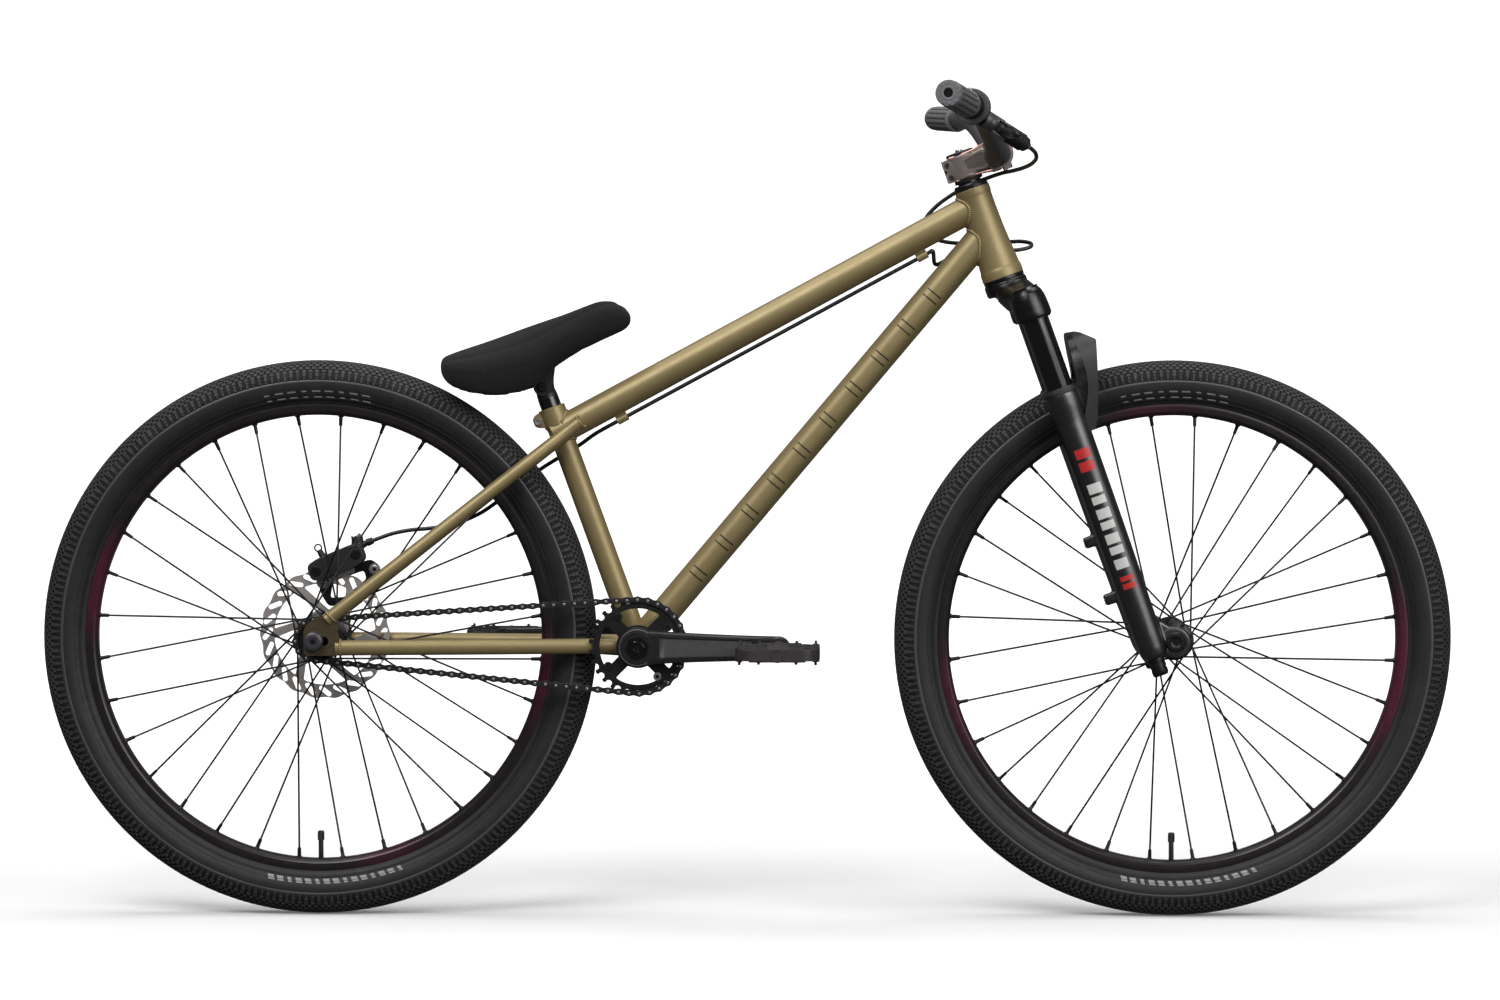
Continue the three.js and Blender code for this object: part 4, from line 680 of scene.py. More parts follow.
    # plain raised bars on the sidewall
    g = Geo()
    for s in (-1, 1):
        for c0, n, pitch, phi0, phi1 in marks:
            for k in range(n):
                mid = c0 + (k - (n - 1) / 2) * pitch
                half = pitch * 0.33 if k % 3 else pitch * 0.2
                v = []
                A = [radians(90 - s * x) for x in (phi0, phi1)]
                steps = 4
                for rad in (26.0, 26.42):
                    for j in range(steps + 1):
                        for i_, a in enumerate(A):
                            t = radians(mid - half + 2 * half * j / steps + (0.22 if i_ else -0.22))
                            v.append((cx + (cr + rad * sin(a)) * sin(t), rad * cos(a), AXLE_Z + (cr + rad * sin(a)) * cos(t)))
                m = (steps + 1) * 2
                f = []
                for j in range(steps):
                    b = 2 * j
                    f.append((b, b + 1, b + 3, b + 2))
                    f.append((m + b, m + b + 2, m + b + 3, m + b + 1))
                    f.append((b, b + 2, m + b + 2, m + b))
                    f.append((b + 1, m + b + 1, m + b + 3, b + 3))
                f += [(0, m, m + 1, 1), (m - 2, m - 1, 2 * m - 1, 2 * m - 2)]
                g.put(v, f)
    piece(side + "_sidewall_bars", g, body, MARK_GREY, None)

    # rim: box section with two turned lines on each flange
    g = Geo()
    half = [(270.3, 0), (270.3, 6.0), (270.7, 8.0), (272.0, 10.2), (274.2, 12.0), (275.4, 12.7), (275.6, 12.45), (276.1, 12.45), (276.3, 12.85), (279.3, 13.1), (279.5, 12.8),
            (280.0, 12.8), (280.2, 13.15), (283.6, 13.25), (284.6, 12.9), (284.9, 12.2), (284.4, 11.4), (282.6, 11.0), (278.2, 10.0), (276.8, 7.0), (276.5, 0)]
    prof = half + [(r, -y) for r, y in reversed(half[1:-1])]
    g.lathe(prof, 256, M=C, ring=True)
    piece(side + "_rim_ring", g, body, rim_mat, side + "_rim", sharp=22)
    # eyelets, valve
    g = Geo()
    rim_angles = [radians(84.375 + 11.25 * k) for k in range(32)]
    for k, a in enumerate(rim_angles):
        s = -1 if k % 2 == 0 else 1
        p = (cx + 270.9 * cos(a), s * 1.0, AXLE_Z + 270.9 * sin(a))
        q = (cx + 268.9 * cos(a), s * 1.2, AXLE_Z + 268.9 * sin(a))
        g.rod(p, q, 2.9, 2.2, 14)
    g.mat = 1
    g.lathe([(0, -1), (3.1, -1), (3.1, 1.5), (3.0, 26), (2.6, 27), (2.6, 28), (0, 28)], 20, M=along((cx, 0, AXLE_Z - 271), (cx, 0, AXLE_Z - 200)))
    g.mat = 2
    cap = [(0, 0), (4.0, 0)]
    for j in range(8):
        cap += [(4.25, 1 + j * 1.1), (4.0, 1.5 + j * 1.1)]
    cap += [(3.9, 10.2), (3.0, 11.4), (0, 11.6)]
    g.lathe(cap, 20, M=along((cx, 0, AXLE_Z - 248), (cx, 0, AXLE_Z - 200)))
    g.mat = 0
    piece(side + "_rim_fittings", g, body, [ANODISED, HOSE, PLASTIC], None, sharp=40)
    # spokes with nipples, elbows and heads
    for nm, sg in (("right", -1), ("left", 1)):
        g = Geo()
        start = 84.375 + (11.25 if sg > 0 else 0)
        for k in range(8):
            for way in (-1, 1):
                ra = radians(start + 45 * k + (22.5 if way > 0 else 0))
                ha = ra + way * radians(67.5)
                hx, hz = cx + hole_r * cos(ha), AXLE_Z + hole_r * sin(ha)
                yo = sg * (flange + way * 2.0)
                q = Vector((cx + 268.5 * cos(ra), sg * 2.2, AXLE_Z + 268.5 * sin(ra)))
                p = Vector((hx, yo, hz))
                d = (q - p).normalized()
                inner = Vector((hx, sg * (flange - way * 2.4), hz))
                g.mat = 0
                pts = [inner, Vector((hx, sg * (flange - way * 0.2), hz)), p - Vector((0, sg * way * 0.9, 0)) + d * 0.3, p + d * 1.6, p + d * 6, p + d * 60, q]
                g.tube(spline(pts, 26), 1.2, 8, caps=True)
                g.rod(inner, inner - Vector((0, sg * way * 1.3, 0)), 1.9, 1.2, 10)
                g.rod(q - d * 9.5, q + d * 1.0, 1.55, 1.7, 10)
                g.rod(q - d * 10.3, q - d * 9.5, 1.3, 1.55, 10)
        piece(side + "_spokes_" + nm + "_fine", g, body, [SPOKE, ANODISED], side + "_spokes_" + nm, sharp=40)
    return C


# angle from the top, number, pitch in degrees, section angles
MARKS = [(0, 9, 2.9, 109, 130), (176, 15, 2.2, 113, 127)]
FC = wheel(FRONT_X, "front_wheel", "front", RIM_FRONT, 38.8, 20.5, MARKS)
RC = wheel(REAR_X, "rear_wheel", "rear", RIM_REAR, 37.4, 24.6, MARKS)

# front hub
g = Geo()
hub = [(8, -50.5), (11.6, -50.5), (12.3, -49.8), (12.5, -46.5), (13.6, -46.0), (14.4, -43.5), (17.5, -41.6), (22.9, -40.6), (23.7, -39.9), (23.7, -37.6), (22.9, -36.9),
       (17.5, -35.8), (14.8, -31), (13.4, -24), (12.8, -10)]
g.lathe(hub + [(r, -y) for r, y in reversed(hub)], 64, M=FC, ring=True)
piece("front_hub_shell", g, "front_wheel", ANODISED, "front_hub", sharp=28)
# rear hub with the seat of the rotor
g = Geo()
g.lathe([(5.7, -40.2), (19, -40.2), (20.4, -39.4), (26.6, -39.0), (27.6, -38.3), (27.6, -36.3), (26.7, -35.6), (20, -34.0), (16.8, -28), (15.8, -14), (15.8, 14), (16.8, 28), (20, 34.0),
         (26.7, 35.6), (27.6, 36.3), (27.6, 38.3), (26.6, 39.0), (24.4, 40.4), (24.4, 50.9), (16.9, 50.9), (16.9, 54.6), (15.6, 55.6), (12.6, 56.4), (12, 58), (12, 66.2), (11.4, 66.8), (5.7, 66.8)], 64, M=RC, ring=True)
piece("rear_hub_shell", g, "rear_wheel", ANODISED, "rear_hub", sharp=28)

# rotor: waved rim with slanted slots, six swept arms, six bolts
g = Geo()
R0 = (REAR_X, AXLE_Z)
out = []
for k in range(288):
    a = 2 * pi * k / 288
    r = 78.9 + 1.1 * cos(18 * a)
    out.append((REAR_X + r * cos(a), AXLE_Z + r * sin(a)))
holes = [[(REAR_X + 17.4 * cos(2 * pi * k / 48), AXLE_Z + 17.4 * sin(2 * pi * k / 48)) for k in range(48)]]
for k in range(6):
    a0, pts = k * 60, []
    for i in range(13):
        a = radians(a0 + 5 + 49 * i / 12)
        pts.append((REAR_X + 62.4 * cos(a), AXLE_Z + 62.4 * sin(a)))
    for i in range(9):
        a = radians(a0 - 8 + 38 - 38 * i / 8)
        rr = 29.5 + 1.5 * abs(i - 4) / 4
        pts.append((REAR_X + rr * cos(a - 0.12), AXLE_Z + rr * sin(a - 0.12)))
    holes.append(rp(pts, [5 if j in (0, 12, 13, 21) else 0 for j in range(len(pts))], 4))
for k in range(24):
    a = 2 * pi * k / 24
    mx, mz = REAR_X + 70.4 * cos(a), AXLE_Z + 70.4 * sin(a)
    t = a + radians(52)
    ux, uz = cos(t), sin(t)
    L2, w = 6.0, 2.9
    pts = []
    for j in range(7):
        b = t - pi / 2 + pi * j / 6
        pts.append((mx + ux * L2 + w * cos(b), mz + uz * L2 + w * sin(b)))
    for j in range(7):
        b = t + pi / 2 + pi * j / 6
        pts.append((mx - ux * L2 + w * cos(b), mz - uz * L2 + w * sin(b)))
    holes.append(pts)
g.plate(out, -0.9, 0.9, holes, M=XZ(52))
piece("rotor_disc", g, "rear_wheel", ROTOR, "brake_rotor", bevel=0.15, seg=1)
g = Geo()
for k in range(6):
    a = radians(30 + 60 * k)
    x, z = REAR_X + 22 * cos(a), AXLE_Z + 22 * sin(a)
    g.lathe([(0, 52.9), (4.3, 52.9), (4.3, 53.7), (3.9, 54.4), (2.2, 54.5), (1.8, 53.9), (0, 53.9)], 20, M=YAX(x, z))
piece("rotor_bolts", g, "rear_wheel", STEEL, None, sharp=30)


# ------------------------------------------------------------------ frame
HEAD_HALF = 56.8
BB = (-128.4, 329.5)
ST0, ST1 = (-130.6, 329.5), (-235.3, 616.7)
ST_LEN = hypot(ST1[0] - ST0[0], ST1[1] - ST0[1])
SU = ((ST1[0] - ST0[0]) / ST_LEN, (ST1[1] - ST0[1]) / ST_LEN)


def st_at(t, y=0.0, q=0.0):
    return (ST0[0] + SU[0] * t - SU[1] * q, y, ST0[1] + SU[1] * t + SU[0] * q)


def top_z(x):
    return 709.9 + 0.5412 * x


def down_z(x):
    return 483.4 + 1.1869 * x


def cyl_sdf(p, q, r):
    p, d = Vector(p), (Vector(q) - Vector(p)).normalized()

    def f(v):
        w = v - p
        return (w - d * w.dot(d)).length - (r(w.dot(d)) if callable(r) else r)
    return f


HEAD_PROFILE = [(-HEAD_HALF, 25.6), (-HEAD_HALF + 10, 25.6), (-HEAD_HALF + 14, 24.6), (5, 21.3), (HEAD_HALF - 12, 20.7), (HEAD_HALF - 9, 21.4), (HEAD_HALF, 21.4)]
S_INV = S.inverted()


def head_sdf(v):
    w = S_INV @ v
    return hypot(w.x, w.y) - float(np.interp(w.z, [a for a, _ in HEAD_PROFILE], [b for _, b in HEAD_PROFILE]))


def weld(g, p, q, ra, sdf, t_in, t_out, bead=1.9, ref=(0, 1, 0), lift=0.3, keep=None):
    """A rippled bead where a tube from p to q meets another surface."""
    p, q = Vector(p), Vector(q)
    d = (q - p).normalized()
    A = (Vector(ref) - d * Vector(ref).dot(d)).normalized()
    B = d.cross(A)
    r1, r2 = ra if isinstance(ra, tuple) else (ra, ra)
    pts, nor = [], []
    for k in range(240):
        a = 2 * pi * k / 240
        o = A * (r1 * cos(a)) + B * (r2 * sin(a))
        lo, hi = t_in, t_out
        if sdf(p + o + d * lo) > 0 or sdf(p + o + d * hi) < 0:
            continue
        for _ in range(26):
            m = (lo + hi) / 2
            if sdf(p + o + d * m) < 0:
                lo = m
            else:
                hi = m
        v = p + o + d * hi
        if keep and not keep(v):
            continue
        pts.append(v + o.normalized() * lift)
        nor.append(o.normalized())
    if len(pts) < 8:
        return
    full = len(pts) == 240
    P = np.array(pts + ([pts[0]] if full else []))
    Nn = np.array(nor + ([nor[0]] if full else []))
    s = np.concatenate([[0], np.cumsum(np.linalg.norm(np.diff(P, axis=0), axis=1))])
    rip = max(int(s[-1] / 2.4), 4)
    m = rip * 6
    w = np.linspace(0, s[-1], m + 1)
    if full:
        w = w[:-1]
    C_ = [Vector([np.interp(x, s, P[:, k]) for k in range(3)]) for x in w]
    R_ = [Vector([np.interp(x, s, Nn[:, k]) for k in range(3)]) for x in w]
    rad = [bead * (1 + 0.13 * sin(2 * pi * i / 6)) for i in range(len(w))]
    g.tube(C_, rad, 8, closed=full, ref=R_)


# head tube: tapered, with a ring at each end
g = Geo()
g.lathe([(17.6, HEAD_HALF), (20.8, HEAD_HALF), (21.4, HEAD_HALF - 0.6), (21.4, HEAD_HALF - 8.2), (21.0, HEAD_HALF - 9.2), (20.7, HEAD_HALF - 11), (20.75, 30), (21.3, 5), (22.6, -18),
         (24.4, -HEAD_HALF + 15), (24.6, -HEAD_HALF + 12.5), (25.2, -HEAD_HALF + 11.0), (25.6, -HEAD_HALF + 10), (25.6, -HEAD_HALF + 0.6), (25.0, -HEAD_HALF), (17.6, -HEAD_HALF)], 96, M=S, ring=True)
piece("head_tube_turned", g, "frame", PAINT, "head_tube", sharp=30)

# main tubes
TT_A, TT_B = (-232, 0, top_z(-232)), (286, 0, top_z(286))
DT_A, DT_B = (-128.4, 0, down_z(-128.4)), (296, 0, down_z(296))
tt_dir = (Vector(TT_B) - Vector(TT_A)).normalized()
tt_dn = Vector((tt_dir.z, 0, -tt_dir.x))
g = Geo()
A_, B_ = Vector(TT_A), Vector(TT_B)
g.tube([A_.lerp(B_, k / 24) for k in range(25)], 17.2, 72)
piece("top_tube_round", g, "frame", PAINT, "top_tube")
g = Geo()
A_, B_ = Vector(DT_A), Vector(DT_B)
g.tube([A_.lerp(B_, k / 24) for k in range(25)], 17.8, 72)
piece("down_tube_round", g, "frame", PAINT, "down_tube")

# hose guides under the top tube
HOSE_R = 2.5
HOSE_OFF = 17.2 + HOSE_R + 3.4
g = Geo()
for gx in (203, -160):
    c = Vector((gx, 0, top_z(gx)))
    M = Matrix(((tt_dir.x, 0, -tt_dn.x, c.x), (0, 1, 0, 0), (tt_dir.z, 0, -tt_dn.z, c.z), (0, 0, 0, 1)))
    # cross-section across the tube: a saddle and a C round the hose
    sec = [(-5.6, -16.3), (5.6, -16.3), (5.0, -18.2)]
    for k in range(13):
        a = radians(42 - 110 * k / 12)
        sec.append((5.4 * cos(a), -HOSE_OFF + 5.4 * sin(a)))
    for k in range(19):
        a = radians(-62 + 304 * k / 18)
        sec.append((3.1 * cos(a), -HOSE_OFF + 3.1 * sin(a)))
    for k in range(13):
        a = radians(248 - 110 * k / 12)
        sec.append((5.4 * cos(a), -HOSE_OFF + 5.4 * sin(a)))
    sec.append((-5.0, -18.2))
    M2 = M @ Matrix(((0, 0, 1, 0), (1, 0, 0, 0), (0, 1, 0, 0), (0, 0, 0, 1)))
    g.plate(sec, -7, 7, M=M2)
piece("hose_guides", g, "frame", PAINT, None, bevel=0.5)

# seat tube with its clamp ears
g = Geo()
Mst = along(st_at(0), st_at(ST_LEN))
g.lathe([(13.0, 0), (14.3, 0), (14.3, ST_LEN - 30), (14.6, ST_LEN - 26), (16.2, ST_LEN - 23), (16.4, ST_LEN - 21.5), (16.4, ST_LEN - 1.2), (15.8, ST_LEN - 0.4), (15.2, ST_LEN), (13.0, ST_LEN)], 80, M=Mst, ring=True)
piece("seat_tube_round", g, "frame", PAINT, "seat_tube", sharp=30)
Mear = Matrix.Translation((ST1[0], 0, ST1[1])) @ Matrix.Rotation(-atan2(-SU[0], SU[1]), 4, "Y")
g = Geo()
ear = rp([(-14, -1), (-14, -21.5), (-22, -19.5), (-26.5, -15.5), (-26.5, -6.5), (-22, -2.5)], [0, 0, 3, 3, 3, 3], 5)
Mear_side = Mear @ XZ(0)
for y0, y1 in ((-7.5, -1.1), (1.1, 7.5)):
    g.plate(ear, -y1, -y0, M=Mear_side)
piece("seat_clamp_ears", g, "frame", PAINT, None, bevel=0.7)
# a near-black block in the clamp slit: painted shade
g = Geo()
g.box((-16.6, -1.1, -21), (-12.6, 1.1, 0.05), M=Mear)
piece("seat_clamp_slit", g, "frame", SOCKET_SHADE, None)
g = Geo()
Mb = Mear @ Matrix.Translation((-21, 0, -11)) @ Matrix.Rotation(radians(90), 4, "X")  # local z towards -Y
g.lathe([(0, -9), (2.7, -9), (2.7, 9), (0, 9)], 24, M=Mb)
g.lathe([(0, 7.7), (4.9, 7.7), (4.9, 8.4), (4.4, 8.4), (4.4, 11.6), (3.9, 12.3), (2.5, 12.3), (2.3, 10.6), (0, 10.6)], 32, M=Mb)
g.lathe([(0, -7.7), (4.6, -7.7), (4.6, -8.5), (4.3, -8.5), (4.3, -11.0), (0, -11.0)], 6, M=Mb)
piece("seat_clamp_bolt_fine", g, "frame", BRIGHT, "seat_clamp_bolt", sharp=30)

# bottom bracket shell and cups
g = Geo()
BM = YAX(BB[0], BB[1])
g.lathe([(17.2, -36.5), (20.7, -36.5), (21.3, -35.9), (21.3, 35.9), (20.7, 36.5), (17.2, 36.5)], 96, M=BM, ring=True)
piece("bb_shell_turned", g, "frame", PAINT, "bb_shell", sharp=30)
for nm, sg in (("right", -1), ("left", 1)):
    g = Geo()
    prof = [(12.5, 20), (16.9, 20), (16.9, 36.9), (21.0, 36.9), (21.6, 37.4), (21.6, 38.4), (20.6, 38.6), (20.6, 39.2), (21.4, 39.4), (21.4, 44.9), (20.4, 45.9), (19.5, 47), (12.5, 47)]
    g.lathe([(r, sg * y) for r, y in prof], 72, M=BM, ring=True)
    # splines round the cup
    for k in range(16):
        a = 2 * pi * k / 16
        c = Matrix.Translation((BB[0], 0, BB[1])) @ Matrix.Rotation(a, 4, "Y")
        g.box((20.8, min(sg * 39.8, sg * 44.4), -1.5), (22.1, max(sg * 39.8, sg * 44.4), 1.5), M=c)
    piece("bb_cup_%s_fine" % nm, g, "frame", ANODISED, "bb_cup_" + nm, sharp=30)

# stays and dropouts
SS_A, SS_B = (-502, 362.4), (-199.5, 599.2)
SS_LEN = hypot(SS_B[0] - SS_A[0], SS_B[1] - SS_A[1])


def ss_at(t):
    return SS_A[0] + (SS_B[0] - SS_A[0]) * t / SS_LEN, SS_A[1] + (SS_B[1] - SS_A[1]) * t / SS_LEN


def ss_path(sg):
    return [(ss_at(t)[0], sg * y, ss_at(t)[1]) for t, y in ((0, 71), (50, 67.5), (100, 62.5), (190, 51), (260, 43.5), (305, 38.5), (340, 31.5), (362, 27.2), (SS_LEN, 25.9))]


def cs_path(sg):
    return [(-136, sg * 27.5, 329.3), (-160, sg * 33.5, 329.2), (-190, sg * 38.4, 329.1), (-250, sg * 45.5, 329), (-330, sg * 54.5, 328.9), (-420, sg * 63.8, 328.9), (-460, sg * 67, 328.8), (-492, sg * 69.5, 328.8)]


DROP = [(-529.5, 319.6), (-496, 319.6), (-487, 323), (-484.5, 334), (-489, 346), (-487, 356), (-498, 368), (-512, 367.5), (-524, 359), (-529.5, 351)]
slot_hole = [(-517.5 - 5.6 * cos(radians(a)), AXLE_Z + 5.6 * sin(radians(a))) for a in range(-90, 91, 15)] + [(-505 + 5.6 * cos(radians(a)), AXLE_Z + 5.6 * sin(radians(a))) for a in range(90, -91, -15)]
for nm, sg in (("right", -1), ("left", 1)):
    g = Geo()
    p = [v for v in spline(ss_path(sg), 70)]
    g.tube(p, 8.0, 40, dome=0.0)
    # slanted closing cap at the top
    e = Vector(p[-1])
    g.tube([e, e + (Vector(p[-1]) - Vector(p[-2])).normalized() * 0.01], [8.0, 7.6], 40)
    piece("seatstay_%s_round" % nm, g, "frame", PAINT, "seatstay_" + nm, sharp=40)
    g = Geo()
    cp = spline(cs_path(sg), 70)
    rr = [(9.3, 7.0) for _ in cp]
    g.tube(cp, rr, 44, ref=(0, 0, 1))
    piece("chainstay_%s_oval" % nm, g, "frame", PAINT, "chainstay_" + nm, sharp=40)
    g = Geo()
    y0, y1 = sg * 67.5, sg * 74.5
    # the plate takes the darker copy of the frame paint: painted shade
    g.plate(rp(DROP, [6, 6, 4, 3, 3, 3, 4, 6, 5, 5], 6), -max(y0, y1), -min(y0, y1), [slot_hole], M=XZ(0))
    piece("dropout_%s_plate" % nm, g, "frame", PAINT_SHADED, "dropout_" + nm, bevel=0.6)
    # pressed lip around the slot
    g = Geo()
    big = [(-517.5 - 8.6 * cos(radians(a)), AXLE_Z + 8.6 * sin(radians(a))) for a in range(-90, 91, 15)] + [(-503.5 + 8.6 * cos(radians(a)), AXLE_Z + 8.6 * sin(radians(a))) for a in range(90, -91, -15)]
    lo_, hi_ = (-75.0, -74.4) if sg > 0 else (74.4, 75.0)
    g.plate(big, lo_, hi_, [slot_hole], M=XZ(0))
    # the lip also takes the darker copy of the frame paint: painted shade
    piece("dropout_%s_lip" % nm, g, "frame", PAINT_SHADED, None, bevel=0.2, seg=1)

# welds
g = Geo()
weld(g, TT_A, TT_B, 17.2, head_sdf, 518 * 1.13, 440, 2.1)
weld(g, DT_A, DT_B, 17.8, head_sdf, 640, 500, 2.1)
seat_sdf = cyl_sdf(st_at(0), st_at(ST_LEN), lambda t: 14.3 if t < ST_LEN - 24 else 16.4)
weld(g, TT_A, TT_B, 17.2, seat_sdf, 2, 70, 1.8)
bb_sdf = cyl_sdf((BB[0], -60, BB[1]), (BB[0], 60, BB[1]), 21.3)
weld(g, st_at(0), st_at(ST_LEN), 14.3, bb_sdf, 2, 60, 1.8)
weld(g, DT_A, DT_B, 17.8, bb_sdf, 2, 70, 1.9)
for sg in (-1, 1):
    c = cs_path(sg)
    weld(g, c[0], (c[2][0], c[2][1], c[2][2]), (9.3, 7.0), bb_sdf, -14, 40, 1.6, ref=(0, 0, 1), keep=lambda v: abs(v.y) < 37)
    # chainstay and seatstay ends on the dropout plate
    p1, p2 = Vector(c[-1]), Vector(c[-2])
    weld(g, p1, p2, (9.3, 7.0), lambda v: v.x + 485.6, -2, 30, 1.5, ref=(0, 0, 1))
    s_ = ss_path(sg)
    q1, q2 = Vector(s_[0]), Vector(s_[1])
    weld(g, q1, q2, 8.0, lambda v: (v - Vector((-492.5, 0, 362.5))).dot(Vector((0.72, 0, 0.69))), -20, 30, 1.5)
    # stay against the side of the top tube
    for off, yy in ((-7.6, 20.8), (7.6, 20.8)):
        ln = []
        for k in range(73):
            t = SS_LEN - 30 + 33 * k / 72
            x, z = ss_at(t)
            nx, nz = -(SS_B[1] - SS_A[1]) / SS_LEN, (SS_B[0] - SS_A[0]) / SS_LEN
            ln.append((x + nx * off, sg * yy, z + nz * off))
        g.tube(ln, [1.5 * (1 + 0.13 * sin(2 * pi * i / 6)) for i in range(73)], 8, ref=(0, 1, 0), dome=0.6)
    e0 = Vector(ss_path(sg)[-1])
    ed = (e0 - Vector(ss_path(sg)[-2])).normalized()
    Au = ed.cross(Vector((0, 1, 0))).normalized()
    Bu = ed.cross(Au)
    ring = [e0 + Au * (7.2 * cos(2 * pi * k / 120)) + Bu * (7.2 * sin(2 * pi * k / 120)) for k in range(120)]
    g.tube(ring, [1.3 * (1 + 0.12 * sin(2 * pi * i / 6)) for i in range(120)], 8, closed=True, ref=tuple(ed))
piece("frame_welds", g, "frame", WELD, None, sharp=80)

# plain ticks in pairs along the down tube
g = Geo()
dt_d = (Vector(DT_B) - Vector(DT_A)).normalized()
dA = Vector((0, -1, 0))
dB = dt_d.cross(dA)
DT_MARK = (Vector((-56.8, 0, down_z(-56.8))) - Vector(DT_A)).length
for sgn in (-1, 1):
    for k in range(10):
        t = DT_MARK + 48.7 * k
        for t0, t1, a0, a1 in ((t - 5.4, t - 3.6, -35, 35), (t + 3.6, t + 5.4, -35, 35)):
            v, f = [], []
            n1, n2 = 1, 10
            for rad in (17.5, 17.9):
                for i in range(n1 + 1):
                    for j in range(n2 + 1):
                        a = radians(a0 + (a1 - a0) * j / n2)
                        v.append(tuple(Vector(DT_A) + dt_d * lerp(t0, t1, i / n1) - dA * (sgn * rad * cos(a)) + dB * (rad * sin(a))))
            w = n2 + 1
            m = (n1 + 1) * w
            for i in range(n1):
                for j in range(n2):
                    a = i * w + j
                    f.append((a, a + 1, a + w + 1, a + w))
                    f.append((m + a, m + a + w, m + a + w + 1, m + a + 1))
            for i in range(n1):
                a, b = i * w, i * w + n2
                f.append((a, a + w, m + a + w, m + a))
                f.append((b, m + b, m + b + w, b + w))
            for j in range(n2):
                c_ = n1 * w + j
                f.append((j, m + j, m + j + 1, j + 1))
                f.append((c_, c_ + 1, m + c_ + 1, m + c_))
            g.put(v, f)
piece("down_tube_ticks", g, "frame", MARK_DARK, None)


# ------------------------------------------------------------------ seat
PIV = st_at(ST_LEN + 27)
g = Geo()
g.tube([st_at(ST_LEN + 27 - 205 + 190 * k / 12) for k in range(13)], 12.7, 64)
piece("seatpost_tube", g, "seatpost", GLOSS, "seatpost")
g = Geo()
# head: a short serrated drum across the bike, with a neck that runs into the tube
g.tube([st_at(ST_LEN + 8), st_at(ST_LEN + 16), st_at(ST_LEN + 22), PIV], [(12.7, 12.7), (12.5, 12.4), (12.0, 11.6), (11.6, 10.6)], 48, ref=(0, 1, 0))
drum = []
for k in range(96):
    a = 2 * pi * k / 96
    r = 12.4 if (k % 2) else 11.9
    drum.append((PIV[0] + r * cos(a), PIV[2] + r * sin(a)))
g.plate(drum, -11, 11, [[(PIV[0] + 4.1 * cos(2 * pi * k / 24), PIV[2] + 4.1 * sin(2 * pi * k / 24)) for k in range(24)]], M=XZ(0))
piece("seatpost_head", g, "seatpost", SATIN_AND_ARCH_LIGHT, None, sharp=25)

# saddle cover: crowned pad over the outline, full sides, a lip that turns in under the base
top = [(-368.0, 669.0), (-367.7, 674.2), (-364.5, 676.6), (-355.6, 679.8), (-340.4, 685), (-296.8, 699.2), (-253.1, 715.5), (-209.5, 730.8), (-190, 738.4), (-178, 742.3), (-168, 743.2), (-158, 741.4), (-150, 736.8), (-144.4, 730.2), (-141.0, 724.5)]
und = [(-368.0, 664.0), (-367.0, 658.6), (-363.8, 652.4), (-355.6, 644.5), (-340.4, 637.6), (-318.6, 633.0), (-296.8, 631.3), (-275, 634.1), (-262, 637.6), (-253.1, 641.6), (-243, 650.4), (-233.5, 661.8), (-218.2, 673.2), (-198.6, 685.2), (-176.8, 696.1), (-158, 705.4), (-149, 710.0), (-144.0, 714.4), (-141.0, 720.5)]
half = [(-368.0, 26), (-367.0, 34), (-364, 43.5), (-359, 51.5), (-352, 58.5), (-343, 63), (-330, 65.6), (-314, 65.4), (-295, 60), (-270, 48), (-245, 36.5), (-215, 28), (-185, 23.5), (-162, 20.6), (-151, 17.0), (-144.6, 11.5), (-141.0, 5.5)]
base_low = [(-350, 646), (-340, 641), (-318.6, 635.4), (-296.8, 633.6), (-275, 636.4), (-256, 643), (-236, 664.5), (-218.2, 676.6), (-196, 690.5)]
base_high = [(-350, 655.5), (-340, 654), (-318.6, 650), (-296.8, 648.4), (-275, 652), (-256, 664), (-236, 679), (-218.2, 689), (-196, 695)]


top, und, half = [[q[:2] for q in spline([(a, b, 0) for a, b in tab], 200)] for tab in (top, und, half)]


def along_x(tab, x):
    xs = [a for a, _ in tab]
    ys = [b for _, b in tab]
    return float(np.interp(x, xs, ys))


